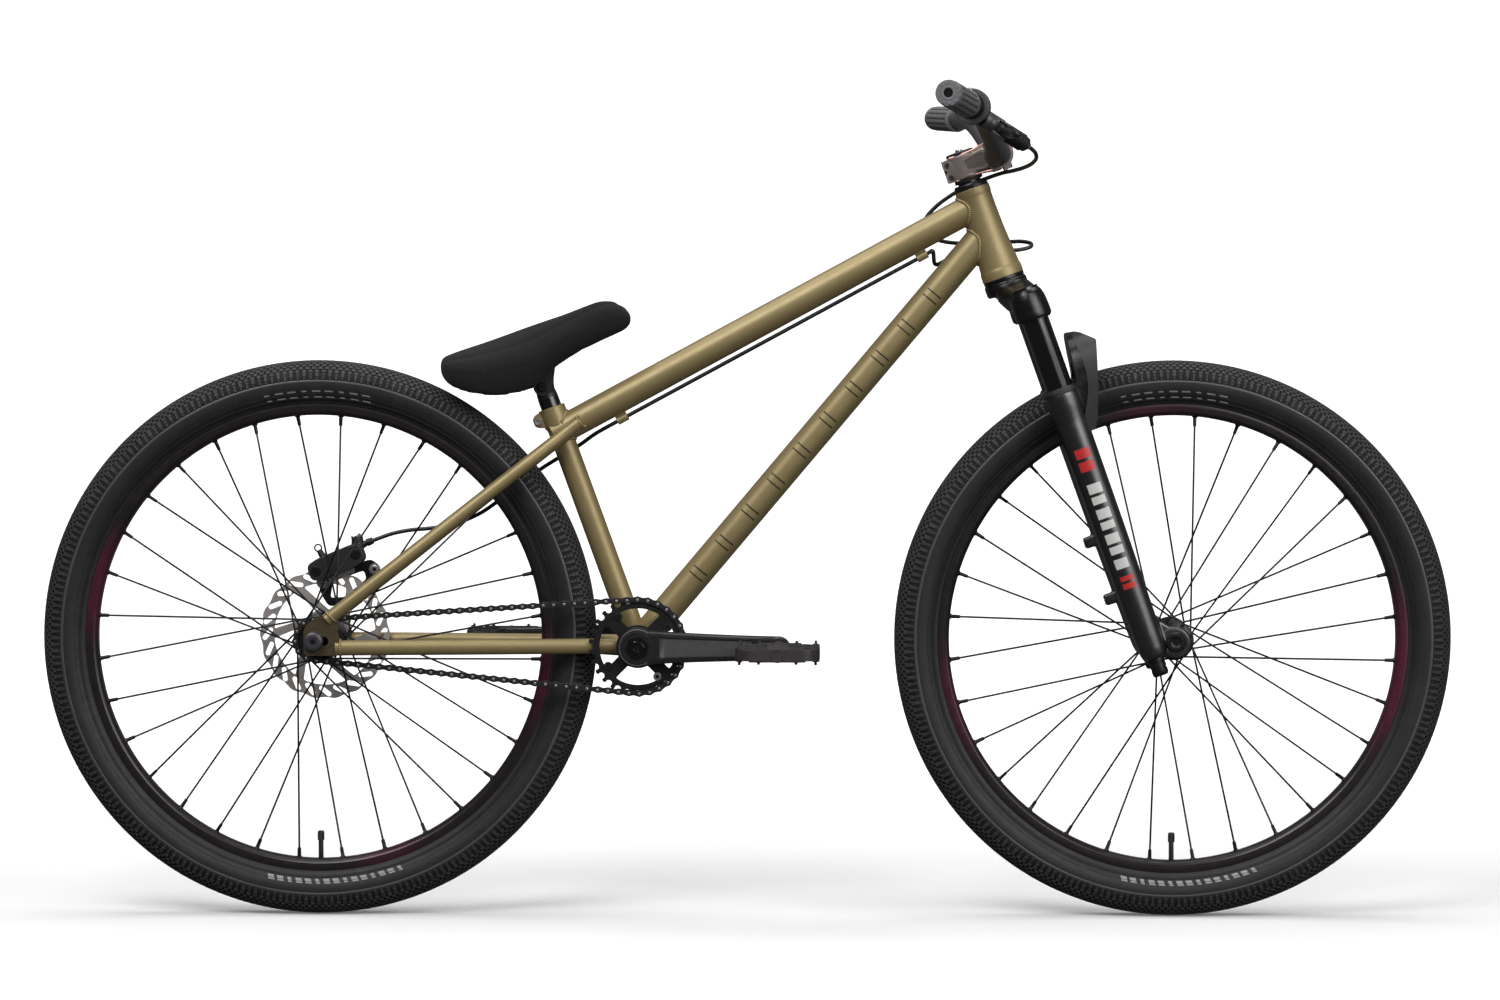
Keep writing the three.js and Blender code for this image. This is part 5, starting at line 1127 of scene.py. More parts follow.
def saddle_section(x, slim=0.0):
    """Half ring from the crown over the side and the lip to the roof of the hollow, then its mirror."""
    zt, zb, w = along_x(top, x) - slim, along_x(und, x), along_x(half, x) - slim * 0.6
    zt += 2.6 * min(1.0, max(0.0, (x + 250) / 70)) + 1.6 * min(1.0, max(0.0, (-320 - x) / 30))
    zm = zb + (zt - zb) * 0.40
    pts = []
    for k in range(15):
        a = pi / 2 * (1 - k / 14)
        pts.append((w * cos(a) ** 0.80, zm + (zt - zm) * sin(a) ** 0.86))
    inx = min(8.0, w * 0.34)
    for k in range(1, 9):
        b = pi / 2 * k / 8
        pts.append((w - inx * (1 - cos(b)), zm - (zm - zb) * sin(b) ** 0.9))
    roof = along_x(base_high, x) + 0.6
    edge = min(x + 351, -195 - x)
    deep = max(0.0, min(1.0, edge / 3.0))
    roof = lerp(zb + 0.8, max(roof, zb + 0.8), deep)
    wi = max(along_x(half, x) - 13.0, 1.0)
    if -259 < x < -230:
        wi = max(wi, min(25.0, w - 5.0))
    wi = min(wi, w - inx - 1.2) if w > 14 else w * 0.3
    pts += [(lerp(w - inx, wi, 0.7), zb + 0.15), (wi, zb + 0.8), (wi, lerp(zb, roof, 0.35) + 0.3), (wi, lerp(zb, roof, 0.75) + 0.2), (wi - 0.8 * deep, roof)]
    pts += [(wi * 0.66, roof + 0.02), (wi * 0.33, roof + 0.03)]
    if x > -175:
        x += 2.6 * (x + 175) / 33
    ring = [(x, 0.0, zt)] + [(x, y, z) for y, z in pts[1:]] + [(x, 0.0, roof + 0.04)] + [(x, -y, z) for y, z in pts[:0:-1]]
    return ring


g = Geo()
SLIM = 0.2
xs = [-367.9, -367.5, -366.6, -364.6, -361.5, -358, -354] + list(np.linspace(-351.5, -345, 6)) + list(np.linspace(-342, -206, 54)) + list(np.linspace(-203, -192, 9)) + list(np.linspace(-189, -152, 14)) + [-149.6, -147.4, -145.4, -143.6, -142.2, -141.3]
g.loft([saddle_section(float(x), SLIM) for x in xs])
saddle_cover = piece("saddle_pad", g, None, FABRIC, None, sharp=180)


def cushion(ob, voxel, pressure, cap, held):
    """Blows the pad up as cloth over its foam. held(p) gives how firmly a point keeps its place, 0 to 1."""
    mod = ob.modifiers.new("r", "REMESH")
    mod.mode = "VOXEL"
    mod.voxel_size = voxel
    dg = bpy.context.evaluated_depsgraph_get()
    me = bpy.data.meshes.new_from_object(ob.evaluated_get(dg))
    ob.modifiers.clear()
    ob.data = me
    n = len(me.vertices)
    rest = np.zeros(n * 3)
    me.vertices.foreach_get("co", rest)
    rest = rest.reshape(-1, 3)
    group = ob.vertex_groups.new(name="held")
    hold = [held(q) for q in rest]
    for i, h in enumerate(hold):
        if h > 0:
            group.add([i], h, "REPLACE")
    cl = ob.modifiers.new("c", "CLOTH")
    st = cl.settings
    st.quality = 5
    st.mass = 0.2
    st.tension_stiffness = st.compression_stiffness = 12
    st.shear_stiffness = 5
    st.bending_stiffness = 0.4
    st.use_pressure = True
    st.uniform_pressure_force = pressure
    st.vertex_group_mass = "held"
    st.effector_weights.gravity = 0
    cl.collision_settings.use_collision = False
    cl.point_cache.frame_start, cl.point_cache.frame_end = 1, 20
    for k in range(1, 21):
        scene.frame_set(k)
    dg = bpy.context.evaluated_depsgraph_get()
    done = bpy.data.meshes.new_from_object(ob.evaluated_get(dg))
    co = np.zeros(n * 3)
    done.vertices.foreach_get("co", co)
    move = co.reshape(-1, 3) - rest
    size = np.linalg.norm(move, axis=1)[:, None]
    move = move * np.minimum(1.0, cap / np.maximum(size, 1e-9))
    ob.modifiers.clear()
    me.vertices.foreach_set("co", (rest + move).reshape(-1))
    me.update()
    bpy.data.meshes.remove(done)
    scene.frame_set(1)


def settle(ob, rounds, levels):
    """Smooths and subdivides, with the result kept in the mesh."""
    sm = ob.modifiers.new("s", "SMOOTH")
    sm.factor, sm.iterations = 0.5, rounds
    sb = ob.modifiers.new("sub", "SUBSURF")
    sb.levels = sb.render_levels = levels
    dg = bpy.context.evaluated_depsgraph_get()
    new = bpy.data.meshes.new_from_object(ob.evaluated_get(dg))
    ob.modifiers.clear()
    ob.data = new


def in_hollow(q):
    x, y, z = q[0] * 1000, abs(q[1]) * 1000, q[2] * 1000
    zt, zb, w = along_x(top, x), along_x(und, x), along_x(half, x)
    if z < zb + 4 or (-353 < x < -193 and y < w - 9 and z < along_x(base_high, x) + 4):
        return 1.0
    return 0.0


cushion(saddle_cover, 0.0031, 4.0, 0.003, in_hollow)
settle(saddle_cover, 7, 1)
if not saddle_cover.data.materials:
    saddle_cover.data.materials.append(FABRIC)


def pad_z(x, y):
    """Height of the pad's top over a point."""
    ok, loc, nrm, _ = saddle_cover.ray_cast(Vector((x / 1000, y / 1000, 0.8)), Vector((0, 0, -1)))
    return (loc.z * 1000, nrm) if ok else (None, None)


# press the seams into the cloth: one each side of the top, closing round the nose
seam_half = [(-353, 45), (-343, 50.5), (-328, 52.5), (-310, 51.5), (-290, 46), (-265, 36), (-240, 27), (-215, 21), (-190, 17), (-172, 14), (-160, 9.5), (-154, 4), (-152.6, 0)]
seam = spline([(x, y, 0) for x, y in seam_half], 120)
seam_pts = [(x, y) for x, y, _ in seam]
me = saddle_cover.data
co = np.zeros(len(me.vertices) * 3)
me.vertices.foreach_get("co", co)
co = co.reshape(-1, 3)
nrm = np.zeros(len(me.vertices) * 3)
me.vertices.foreach_get("normal", nrm)
nrm = nrm.reshape(-1, 3)
sp = np.array(seam_pts) / 1000
P2 = np.stack([co[:, 0], np.abs(co[:, 1])], 1)
dist = np.sqrt(((P2[:, None, :] - sp[None, :, :]) ** 2).sum(2)).min(1)
up = nrm[:, 2] > 0.1
press = np.where(up, 0.0009 * np.exp(-(dist / 0.0034) ** 2), 0)
swell = np.where(up, 0.0004 * np.exp(-((dist - 0.009) / 0.005) ** 2), 0)
co = co + nrm * (swell - press)[:, None]
me.vertices.foreach_set("co", co.reshape(-1))
me.update()
me.shade_smooth()
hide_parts("saddle_cover")
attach(saddle_cover, "saddle")

g = Geo()
for s in (-1, 1):
    line = []
    for x, y in seam_pts:
        if x > -153.5:
            continue
        z, n_ = pad_z(x, s * y)
        if z is not None:
            line.append((x, s * y, z - 0.1))
    g.tube(spline(line, 160), 0.45, 6, dome=0.4)
# stitches along the seam
for s in (-1, 1):
    for i in range(2, len(seam_pts) - 8, 2):
        (x0, y0), (x1, y1) = seam_pts[i], seam_pts[i + 1]
        za, _ = pad_z(x0, s * (y0 - 2.2))
        zb_, _ = pad_z(x1, s * (y1 - 2.2))
        if za and zb_:
            p, q = (x0, s * (y0 - 2.2), za + 0.1), (x1, s * (y1 - 2.2), zb_ + 0.1)
            g.tube([p, tuple((a + b) / 2 + (0.2 if k == 2 else 0) for k, (a, b) in enumerate(zip(p, q))), q], 0.26, 5, dome=0.2)
piece("saddle_seams", g, "saddle", PIPING, None, sharp=80)

# base: moulded shell nested in the pad, arched over the post's head, with the yoke
g = Geo()
rings = []
for x in np.linspace(-349.6, -197, 70):
    x = float(x)
    zt, zb = along_x(base_high, x) - 0.3, along_x(base_low, x) + 0.2
    dx = x - PIV[0]
    if abs(dx) < 15.2:
        zb = max(zb, PIV[2] + sqrt(15.2 ** 2 - dx ** 2))
    zb = min(zb, zt - 2.5)
    w = max(along_x(half, x) - 15.0, 4)
    if x < -342:
        w *= 0.8 + 0.2 * (x + 349.6) / 7.6
    ring = []
    for k in range(44):
        a = 2 * pi * k / 44
        c, s = cos(a), sin(a)
        y = w * (abs(c) ** 0.5) * (1 if c > 0 else -1)
        z = (zt + zb) / 2 + (zt - zb) / 2 * (abs(s) ** 0.45) * (1 if s > 0 else -1)
        ring.append((x, y, z))
    rings.append(ring)
g.loft(rings)
piece("saddle_shell", g, "saddle", PLASTIC, "saddle_base", sharp=50)
g = Geo()
for s in (-1, 1):
    o = [(PIV[0] + 11.2 * cos(radians(t)), PIV[2] + 11.4 * sin(radians(t))) for t in range(180, 361, 12)]
    o += [(PIV[0] + 11.2, PIV[2] + 10), (PIV[0] + 13, PIV[2] + 24), (PIV[0] - 14, PIV[2] + 14), (PIV[0] - 11.6, PIV[2] + 8)]
    lo_, hi_ = (11.5, 18.3) if s < 0 else (-18.3, -11.5)
    g.plate(o, lo_, hi_, [[(PIV[0] + 4.1 * cos(2 * pi * k / 24), PIV[2] + 4.1 * sin(2 * pi * k / 24)) for k in range(24)]], M=XZ(0))
piece("saddle_yoke", g, "saddle", PLASTIC, None, bevel=0.6)
g = Geo()
Mb = YAX(PIV[0], PIV[2])
g.lathe([(0, -20.4), (3.6, -20.4), (3.6, 20.4), (0, 20.4)], 24, M=Mb)
g.lathe([(0, -22.6), (5.2, -22.6), (6.0, -21.9), (6.0, -18.5), (0, -18.5)], 32, M=Mb)
g.lathe([(0, 18.5), (6, 18.5), (6, 21.8), (5.4, 22.3), (0, 22.3)], 6, M=Mb)
# near-black hex socket: painted shade
g.mat = 1
g.lathe([(0, -22.75), (2.9, -22.75), (2.9, -20.8), (0, -20.8)], 6, M=Mb)
piece("saddle_bolt_fine", g, "saddle", [ANODISED, SOCKET_SHADE], "saddle_bolt", sharp=30)


# ------------------------------------------------------------------ headset, fork
FN, FY = 16.5, 65.0
AXLE_S, AXLE_N = 537.7, 45.9
g = Geo()
g.lathe([(15.2, 42), (17.2, 42), (17.2, HEAD_HALF + 0.06), (20.7, HEAD_HALF + 0.06), (20.8, 57.2), (20.8, 59.6), (20.2, 60.0), (20.2, 60.5), (20.7, 60.9), (20.6, 62.2), (19.6, 63.9), (18.6, 64.5), (15.2, 64.5)], 80, M=S, ring=True)
piece("upper_cup_fine", g, "frame", ANODISED, "headset_upper_cup", sharp=30)
g = Geo()
g.lathe([(19.8, -43), (21.4, -43), (21.4, -HEAD_HALF - 0.06), (25.3, -HEAD_HALF - 0.06), (25.4, -57.2), (25.4, -58.6), (24.9, -59.0), (24.9, -59.5), (25.4, -59.9), (25.2, -61), (19.8, -61)], 80, M=S, ring=True)
piece("lower_cup_fine", g, "frame", CROWN, "headset_lower_cup", sharp=30)
g = Geo()
g.lathe([(4.6, 99.9), (17.0, 99.9), (17.2, 100.4), (17.0, 102.8), (15.8, 104.0), (7.0, 104.4), (6.2, 103.2), (4.6, 103.2)], 64, M=S, ring=True)
g.mat = 1
g.lathe([(0, 100.6), (4.4, 100.6), (4.4, 106.2), (3.9, 107), (2.5, 107), (2.5, 104.4), (0, 104.4)], 32, M=S)
piece("top_cap_fine", g, "fork_upper", [SATIN_AND_ARCH_LIGHT, BRIGHT], "headset_top_cap", sharp=30)

# crown: forged body with stepped shoulders, merged over one fine mesh
g = Geo()
# beam lofted from one socket to the other: depth (x) and height (z) by |y|
rings = []
for k in range(41):
    y = -66 + 132 * k / 40
    ay = abs(y)
    zt = float(np.interp(ay, [0, 24, 40, 54, 66], [-65.5, -66.0, -69.5, -76, -88]))
    zb = float(np.interp(ay, [0, 22, 42, 66], [-80.5, -84, -102, -114]))
    x0 = float(np.interp(ay, [0, 30, 50, 66], [-19, -15, -6, -3]))
    x1 = float(np.interp(ay, [0, 30, 50, 66], [25, 29, 33, 34]))
    ring = []
    for j in range(28):
        a = 2 * pi * j / 28
        c, s = cos(a), sin(a)
        ring.append(((x0 + x1) / 2 + (x1 - x0) / 2 * abs(c) ** 0.6 * (1 if c > 0 else -1), y, (zt + zb) / 2 + (zt - zb) / 2 * abs(s) ** 0.6 * (1 if s > 0 else -1)))
    rings.append(ring)
g.loft(rings, M=S)
g.lathe([(0, -61.4), (25.4, -61.4), (26.2, -62.2), (26.5, -66), (26.3, -74.2), (24.6, -76.4), (0, -76.4)], 64, M=S)
for sg in (-1, 1):
    g.lathe([(0, -74.6), (7, -75.0), (12.5, -76.6), (16.6, -79.6), (19.4, -84), (21.0, -90), (21.9, -99), (22.3, -109), (22.1, -114), (20.8, -116.4), (0, -116.4)], 64, M=S @ Matrix.Translation((FN, sg * FY, 0)))
piece("crown_forged", g, "fork_upper", CROWN, "steerer_crown", remesh=1.15, smooth=5)
# lip round each stanchion, and the steerer inside the stem
g = Geo()
for sg in (-1, 1):
    MS = S @ Matrix.Translation((FN, sg * FY, 0))
    g.lathe([(16.7, -115.8), (19.6, -115.8), (19.6, -117.0), (19.0, -117.5), (16.7, -117.5)], 64, M=MS, ring=True)
g.lathe([(0, 98.8), (14.3, 98.8), (14.3, 20), (0, 20)], 48, M=S)
# race under the lower bearing
g.lathe([(0, -63), (24.5, -63), (24.9, -62.6), (24.9, -61.25), (24.6, -61.1), (19.4, -61.1), (19.4, -57), (0, -57)], 80, M=S)
piece("crown_turned", g, "fork_upper", CROWN, None, sharp=30)

for nm, sg in (("right", -1), ("left", 1)):
    g = Geo()
    MS = S @ Matrix.Translation((FN, sg * FY, 0))
    g.lathe([(0, -335), (16.0, -335), (16.5, -334), (16.5, -77), (0, -77)], 96, M=MS)
    piece("stanchion_%s_tube" % nm, g, "fork_upper", GLOSS, "stanchion_" + nm, sharp=30)

# lowers: legs, feet, dropouts and brake posts as one casting; the arch is made below
g = Geo()
for sg in (-1, 1):
    MS = S @ Matrix.Translation((FN, sg * FY, 0))
    g.lathe([(0, -209), (20.6, -209), (21.8, -210.5), (22, -214), (21.6, -226), (20.2, -238), (19.5, -246), (18.9, -400), (18.1, -470), (17.4, -520), (16.8, -536), (15.4, -544), (12.6, -547.4), (0, -548)], 64, M=MS)
    # forward web from the leg to the axle boss
    o = rp([(8, -480), (8, -544), (22, -549), (36, -554), (50, -552), (60, -540), (58, -527), (46, -518), (36, -506), (28, -486)], [6] * 10, 5)
    y0, y1 = (sg * 52.6, sg * 66)
    g.plate(o, -max(y0, y1), -min(y0, y1), M=S @ XZ(0))
    g.lathe([(0, min(y0, y1) - (0.6 if sg > 0 else 1.2)), (17.6, min(y0, y1) - (0.6 if sg > 0 else 1.2)), (18.6, min(y0, y1) + 0.6), (18.6, max(y0, y1) - 0.4), (17.4, max(y0, y1) + (1.2 if sg > 0 else 0.6)), (0, max(y0, y1) + (1.2 if sg > 0 else 0.6))], 64,
            M=S @ YAX(AXLE_N, -AXLE_S))
for v in (398, 472):
    o = rp([(-14, -v - 7), (6, -v - 7), (6, -v + 7), (-14, -v + 7)], 2.5, 4)
    g.plate(o, -(FY + 2), -(FY - 12), M=S @ XZ(0))
piece("lowers_casting", g, "fork_lower", LOWERS, "fork_lowers", remesh=1.35, smooth=8)

# arch: a face band in front, in lighter satin black as painted light on its forward face, and a recessed web behind it
outer = spline([(74, -264, 0), (75, -225, 0), (72, -190, 0), (64, -168, 0), (50, -154, 0), (30, -147.5, 0), (0, -145.2, 0)], 26)
inner = spline([(49, -264, 0), (46, -235, 0), (43, -212, 0), (36, -196, 0), (24, -186, 0), (12, -182.5, 0), (0, -181.5, 0)], 22)
band = [(y, z) for y, z, _ in outer] + [(-y, z) for y, z, _ in outer[-2::-1]] + [(-y, z) for y, z, _ in inner] + [(y, z) for y, z, _ in inner[-2::-1]]
face = rp([(52.5, -146.2), (61.5, -148.2), (77.8, -163.1), (65, -204), (47.5, -253), (38, -268), (24, -268), (33, -246), (41, -232), (48.5, -216), (53, -197), (54, -178), (52.5, -162)], [2, 3, 2.5, 12, 14, 2, 2, 6, 6, 6, 6, 6, 6], 5)
web = rp([(46.6, -144.6), (54, -146.6), (55.5, -162), (57, -180), (56, -199), (51, -219), (43, -236), (34, -252), (18, -268), (18, -226), (33, -215), (40.2, -198)], [1.5, 1, 6, 6, 6, 6, 6, 6, 2, 2, 5, 10], 5)


def arch_part(name, outline, shrink, mat):
    """The band seen from the front, cut to an outline seen from the side."""
    g = Geo()
    g.plate(outline, -90, 90, M=S @ XZ(0))
    cutter = piece("arch_side", g, None, mat)
    g = Geo()
    g.plate([(y - (shrink if y > 1 else -shrink if y < -1 else 0), z) if k < len(outer) * 2 - 1 else (y, z) for k, (y, z) in enumerate(band)], 2, 98, M=S @ Matrix(((0, 0, 1, 0), (1, 0, 0, 0), (0, 1, 0, 0), (0, 0, 0, 1))))
    ob = piece(name, g, "fork_lower", mat, None)
    bo = ob.modifiers.new("cut", "BOOLEAN")
    bo.operation, bo.solver, bo.object = "INTERSECT", "EXACT", cutter
    dg = bpy.context.evaluated_depsgraph_get()
    ob.data = bpy.data.meshes.new_from_object(ob.evaluated_get(dg))
    ob.modifiers.clear()
    bpy.data.objects.remove(cutter)
    return ob


arch_web = arch_part("lowers_arch_web", web, 3.2, CROWN)
arch_web.data.shade_smooth()
arch_web.data.set_sharp_from_angle(angle=radians(32))
# the face band takes the lighter satin black: painted light on the forward face
arch = arch_part("lowers_arch", face, 0.0, SATIN_AND_ARCH_LIGHT)
for poly in arch.data.polygons:
    poly.material_index = 0
arch.data.shade_smooth()
arch.data.set_sharp_from_angle(angle=radians(32))
b = arch.modifiers.new("bevel", "BEVEL")
b.width, b.segments, b.limit_method, b.angle_limit, b.use_clamp_overlap = 0.0014, 3, "ANGLE", radians(32), True
b = arch.modifiers.new("normals", "WEIGHTED_NORMAL")
b.keep_sharp = True

g = Geo()
for sg in (-1, 1):
    MS = S @ Matrix.Translation((FN, sg * FY, 0))
    # wiper seal
    g.mat = 0
    g.lathe([(16.55, -203.6), (17.6, -203.6), (18.6, -204.6), (20.0, -206.4), (21.9, -207.4), (22.3, -208.4), (22.3, -210.6), (21.6, -211.2), (16.55, -211.2)], 80, M=MS, ring=True)
    # axle boss rings on both faces; the outer ring takes the lighter nut grey as a painted highlight on the boss edge
    for yy, dr in ((sg * 66.6, 1), (sg * 52.0, -1)):
        for rr in (17.0, 13.6):
            g.mat = 4 if rr > 15 else 0
            y_ = yy + dr * sg * 0.2
            g.lathe([(rr - 0.5, y_), (rr, y_ + 0.5 * dr * sg), (rr + 0.5, y_)], 64, M=S @ YAX(AXLE_N, -AXLE_S), ring=True)
    # foot bolt and damper knob under the leg
    g.mat = 1
    g.lathe([(0, -545), (10.4, -545), (10.4, -551), (9.2, -551.6), (9.2, -553.4), (10, -554), (10, -559), (9.2, -559.6), (9.2, -561), (9.8, -561.6), (9.8, -567), (8.4, -569.4), (0, -570.2)], 48, M=MS)
    g.mat = 0
# machined faces and threads of the brake posts; the threaded holes are a near-black fill, painted shade
g.mat = 2
for v in (398, 472):
    mm = S @ Matrix.Translation((-14.15, FY - 5, -v)) @ Matrix.Rotation(radians(90), 4, "Y")
    g.lathe([(3.1, -0.3), (5.6, -0.3), (5.6, 0.5), (3.1, 0.5)], 32, M=mm, ring=True)
g.mat = 3
for v in (398, 472):
    mm = S @ Matrix.Translation((-14.2, FY - 5, -v)) @ Matrix.Rotation(radians(90), 4, "Y")
    g.lathe([(0, -0.1), (3.1, -0.1), (3.1, 3), (0, 3)], 24, M=mm)
piece("lowers_fittings", g, "fork_lower", [PLASTIC, ANODISED, STEEL, SOCKET_SHADE, NUT_AND_RING_HIGHLIGHT], None, sharp=35)

# plain blocks in a row down the outer side of each leg
g = Geo()
for sg in (-1, 1):
    row = [(-280, -292, -30, 26, 1), (-296, -308, -30, 26, 1)]
    row += [(-324 - 15.9 * k, -324 - 15.9 * k - (9.6 if k % 2 else 12.2), -28, 24, 0) for k in range(7)]
    row += [(-441, -447, -28, 24, 1), (-450, -457, -28, 24, 1)]
    for z0, z1, a0, a1, mi in row:
        g.mat = mi
        v, f = [], []
        n1, n2 = 6, 12
        for off in (-0.35, 0.16):
            for i in range(n1 + 1):
                z = lerp(z0, z1, i / n1)
                r = float(np.interp(-z, [246, 400, 470], [19.5, 18.9, 18.1])) + off + 0.05
                for j in range(n2 + 1):
                    a = radians(a0 + (a1 - a0) * j / n2) + sg * pi / 2
                    v.append((FN + r * cos(a), sg * FY + r * sin(a), z))
        w = n2 + 1
        m = (n1 + 1) * w
        for i in range(n1):
            for j in range(n2):
                a = i * w + j
                f.append((a, a + 1, a + w + 1, a + w))
                f.append((m + a, m + a + w, m + a + w + 1, m + a + 1))
        for i in range(n1):
            a, b = i * w, i * w + n2
            f.append((a, a + w, m + a + w, m + a))
            f.append((b, m + b, m + b + w, b + w))
        for j in range(n2):
            c_ = n1 * w + j
            f.append((j, m + j, m + j + 1, j + 1))
            f.append((c_, c_ + 1, m + c_ + 1, m + c_))
        g.put(v, f, S)
piece("leg_bands", g, "fork_lower", [MARK_WHITE, MARK_RED], None)

g = Geo()
AX = S @ YAX(AXLE_N, -AXLE_S)
g.lathe([(0, -66.4), (7.5, -66.4), (7.5, 66.4), (0, 66.4)], 40, M=AX)
for sg in (-1, 1):
    prof = [(0, 66.2), (11.2, 66.2), (12, 66.8), (12, 68.2), (10.6, 69.8), (7.4, 70.0), (6.9, 69.2), (5.4, 68.4), (0, 68.4)]
    g.lathe([(r, sg * y) for r, y in prof], 48, M=AX)
# near-black hex sockets: painted shade
g.mat = 1
for sg in (-1, 1):
    g.lathe([(0, sg * 68.2), (3.6, sg * 68.2), (3.6, sg * 68.7), (0, sg * 68.7)], 6, M=AX)
piece("front_axle_fine", g, "fork_lower", [ANODISED, SOCKET_SHADE], "front_axle", sharp=30)

# ------------------------------------------------------------------ stem and bar
CLAMP_N, CLAMP_Z = 42, 86
g = Geo()
# body: side outline extruded across, waisted in plan
rings = []
for k in range(25):
    x = -22 + (36 + 22) * k / 24
    t = k / 24
    w = float(np.interp(x, [-22, -12, 0, 14, 30, 36], [10.5, 15.5, 19.2, 16.5, 18.5, 22.0]))
    zt = float(np.interp(x, [-19, 0, 12, 24, 36], [98.8, 99.3, 99.8, 102.6, 104.8]))
    zb = float(np.interp(x, [-19, 0, 12, 36], [71.6, 71.4, 70.8, 67.4]))
    ring = []
    for j in range(36):
        a = 2 * pi * j / 36
        cc, ss = cos(a), sin(a)
        ring.append((x, w * abs(cc) ** 0.55 * (1 if cc > 0 else -1), (zt + zb) / 2 + (zt - zb) / 2 * abs(ss) ** 0.45 * (1 if ss > 0 else -1)))
    rings.append(ring)
g.loft(rings, M=S)
g.lathe([(0, 71.0), (18.6, 71.0), (19.2, 71.6), (19.2, 98.9), (18.6, 99.5), (0, 99.5)], 64, M=S)
sec = rp([(30, 66.6), (42.4, 66.6), (42.4, 105.4), (30, 105.4)], [4, 1.2, 1.2, 4], 5)
g.plate(sec, -23, 23, M=S @ XZ(0))
piece("stem_forged", g, "fork_upper", STEM, "stem_body", remesh=0.8, smooth=4)
g = Geo()
# recessed side panels, pinch slot and bolts, and the spacer below
for sg in (-1, 1):
    o = [(0, 77.2), (24, 74.2), (29.5, 77), (29.5, 95), (25, 97.6), (0, 93.6), (-4, 90), (-4, 80)]
    i_ = [(2.6, 79.8), (23, 77.2), (26.6, 79.4), (26.6, 92.8), (23, 94.6), (2.6, 91.2), (-0.6, 88.6), (-0.6, 82.4)]
    y0 = 19.3 if sg < 0 else -19.7
    g.mat = 0
    g.plate(rp(o, 3, 4), y0 - 0.9, y0 + 0.4, [rp(i_, 2.5, 4)], M=S @ XZ(0))
    # the pocket floor takes the darker copy of the stem grey: painted shade in the recess
    g.mat = 4
    g.plate(rp(i_, 2.5, 4), y0 - 1.0, y0 - 0.3, M=S @ XZ(0))
# a dark block in the pinch slot: painted shade
g.mat = 1
g.box((-24.8, -0.9, 71.6), (-8, 0.9, 99.0), M=S)
for z in (77.6, 92.8):
    o = rp([(-24.6, z - 6.4), (-12, z - 6.4), (-12, z + 6.4), (-24.6, z + 6.4)], [4, 1, 1, 4], 5)
    g.mat = 0
    for y0, y1 in ((-11, -1.1), (1.1, 11)):
        g.plate(o, y0, y1, M=S @ XZ(0))
    mm = S @ YAX(-18.4, z)
    for sg in (-1, 1):
        g.mat = 2
        g.lathe([(0, sg * 12.6), (3.3, sg * 12.6), (4.0, sg * 12.0), (4.0, sg * 10.6), (0, sg * 10.6)], 32, M=mm)
        # dark hex socket in each bolt head: painted shade
        g.mat = 1
        g.lathe([(0, sg * 12.8), (2.2, sg * 12.8), (2.2, sg * 11.8), (0, sg * 11.8)], 6, M=mm)
g.mat = 1
g.lathe([(14.6, 66.3), (17.0, 66.3), (17.4, 66.7), (17.4, 70.4), (17.0, 70.8), (14.6, 70.8)], 64, M=S, ring=True)
# painted highlight: pinkish light strips along the top and bottom edges of the body
g.mat = 3
for sg in (-1, 1):
    for z0, z1, z2 in ((99.2, 101.0, 104.4), (71.5, 70.9, 67.8)):
        g.tube([(-14, sg * 12.5, z0 + (0.6 if z0 > 90 else -0.4)), (2, sg * 16.2, z0 + (0.5 if z0 > 90 else -0.4)), (12, sg * 14.8, (z0 + z1) / 2), (20, sg * 15.6, z1), (30, sg * 18.4, (z1 + z2) / 2), (35, sg * 21.4, z2)], 1.3, 8, M=S, dome=0.8)
piece("stem_details", g, "fork_upper", [STEM, ETCHED_AND_HOLE_SHADE, NUT_AND_RING_HIGHLIGHT, EDGE_HIGHLIGHT, STEM_POCKET_SHADE], None, bevel=0.4)

g = Geo()
# faceplate: a curved shell with two windows, held by four bolts
def arc_shell(g, r0, r1, a0, a1, y0, y1, M, n=28):
    o = [(CLAMP_N + r1 * cos(radians(a0 + (a1 - a0) * k / n)), CLAMP_Z + r1 * sin(radians(a0 + (a1 - a0) * k / n))) for k in range(n + 1)]
    o += [(CLAMP_N + r0 * cos(radians(a1 + (a0 - a1) * k / n)), CLAMP_Z + r0 * sin(radians(a1 + (a0 - a1) * k / n))) for k in range(n + 1)]
    g.plate(o, y0, y1, M=M)


for y0, y1 in ((-22.8, -12.5), (-4.5, 4.5), (12.5, 22.8)):
    arc_shell(g, 16.4, 19.8, -84, 84, y0, y1, S @ XZ(0))
for a0, a1 in ((-84, -48), (-16, 16), (48, 84)):
    arc_shell(g, 16.4, 19.6, a0, a1, -22.6, 22.6, S @ XZ(0))
for z in (CLAMP_Z - 17.2, CLAMP_Z + 17.2):
    o = rp([(44.4, z - 4.6), (50.5, z - 4.6), (52.5, z - 2), (52.5, z + 2), (50.5, z + 4.6), (44.4, z + 4.6)], [0.5, 2, 2, 2, 2, 0.5], 4)
    for yc in (-15.5, 15.5):
        g.mat = 0
        g.plate(o, yc - 6.4, yc + 6.4, M=S @ XZ(0))
        g.mat = 1
        mm = S @ Matrix.Translation((52.3, yc, z)) @ Matrix.Rotation(radians(90), 4, "Y")
        g.lathe([(0, -1), (4.0, -1), (4.0, 2.0), (3.4, 2.6), (2.2, 2.6), (2.2, 0.6), (0, 0.6)], 28, M=mm)
        g.mat = 0
piece("faceplate_fine", g, "fork_upper", [STEM, BRIGHT], "stem_faceplate", bevel=0.5)


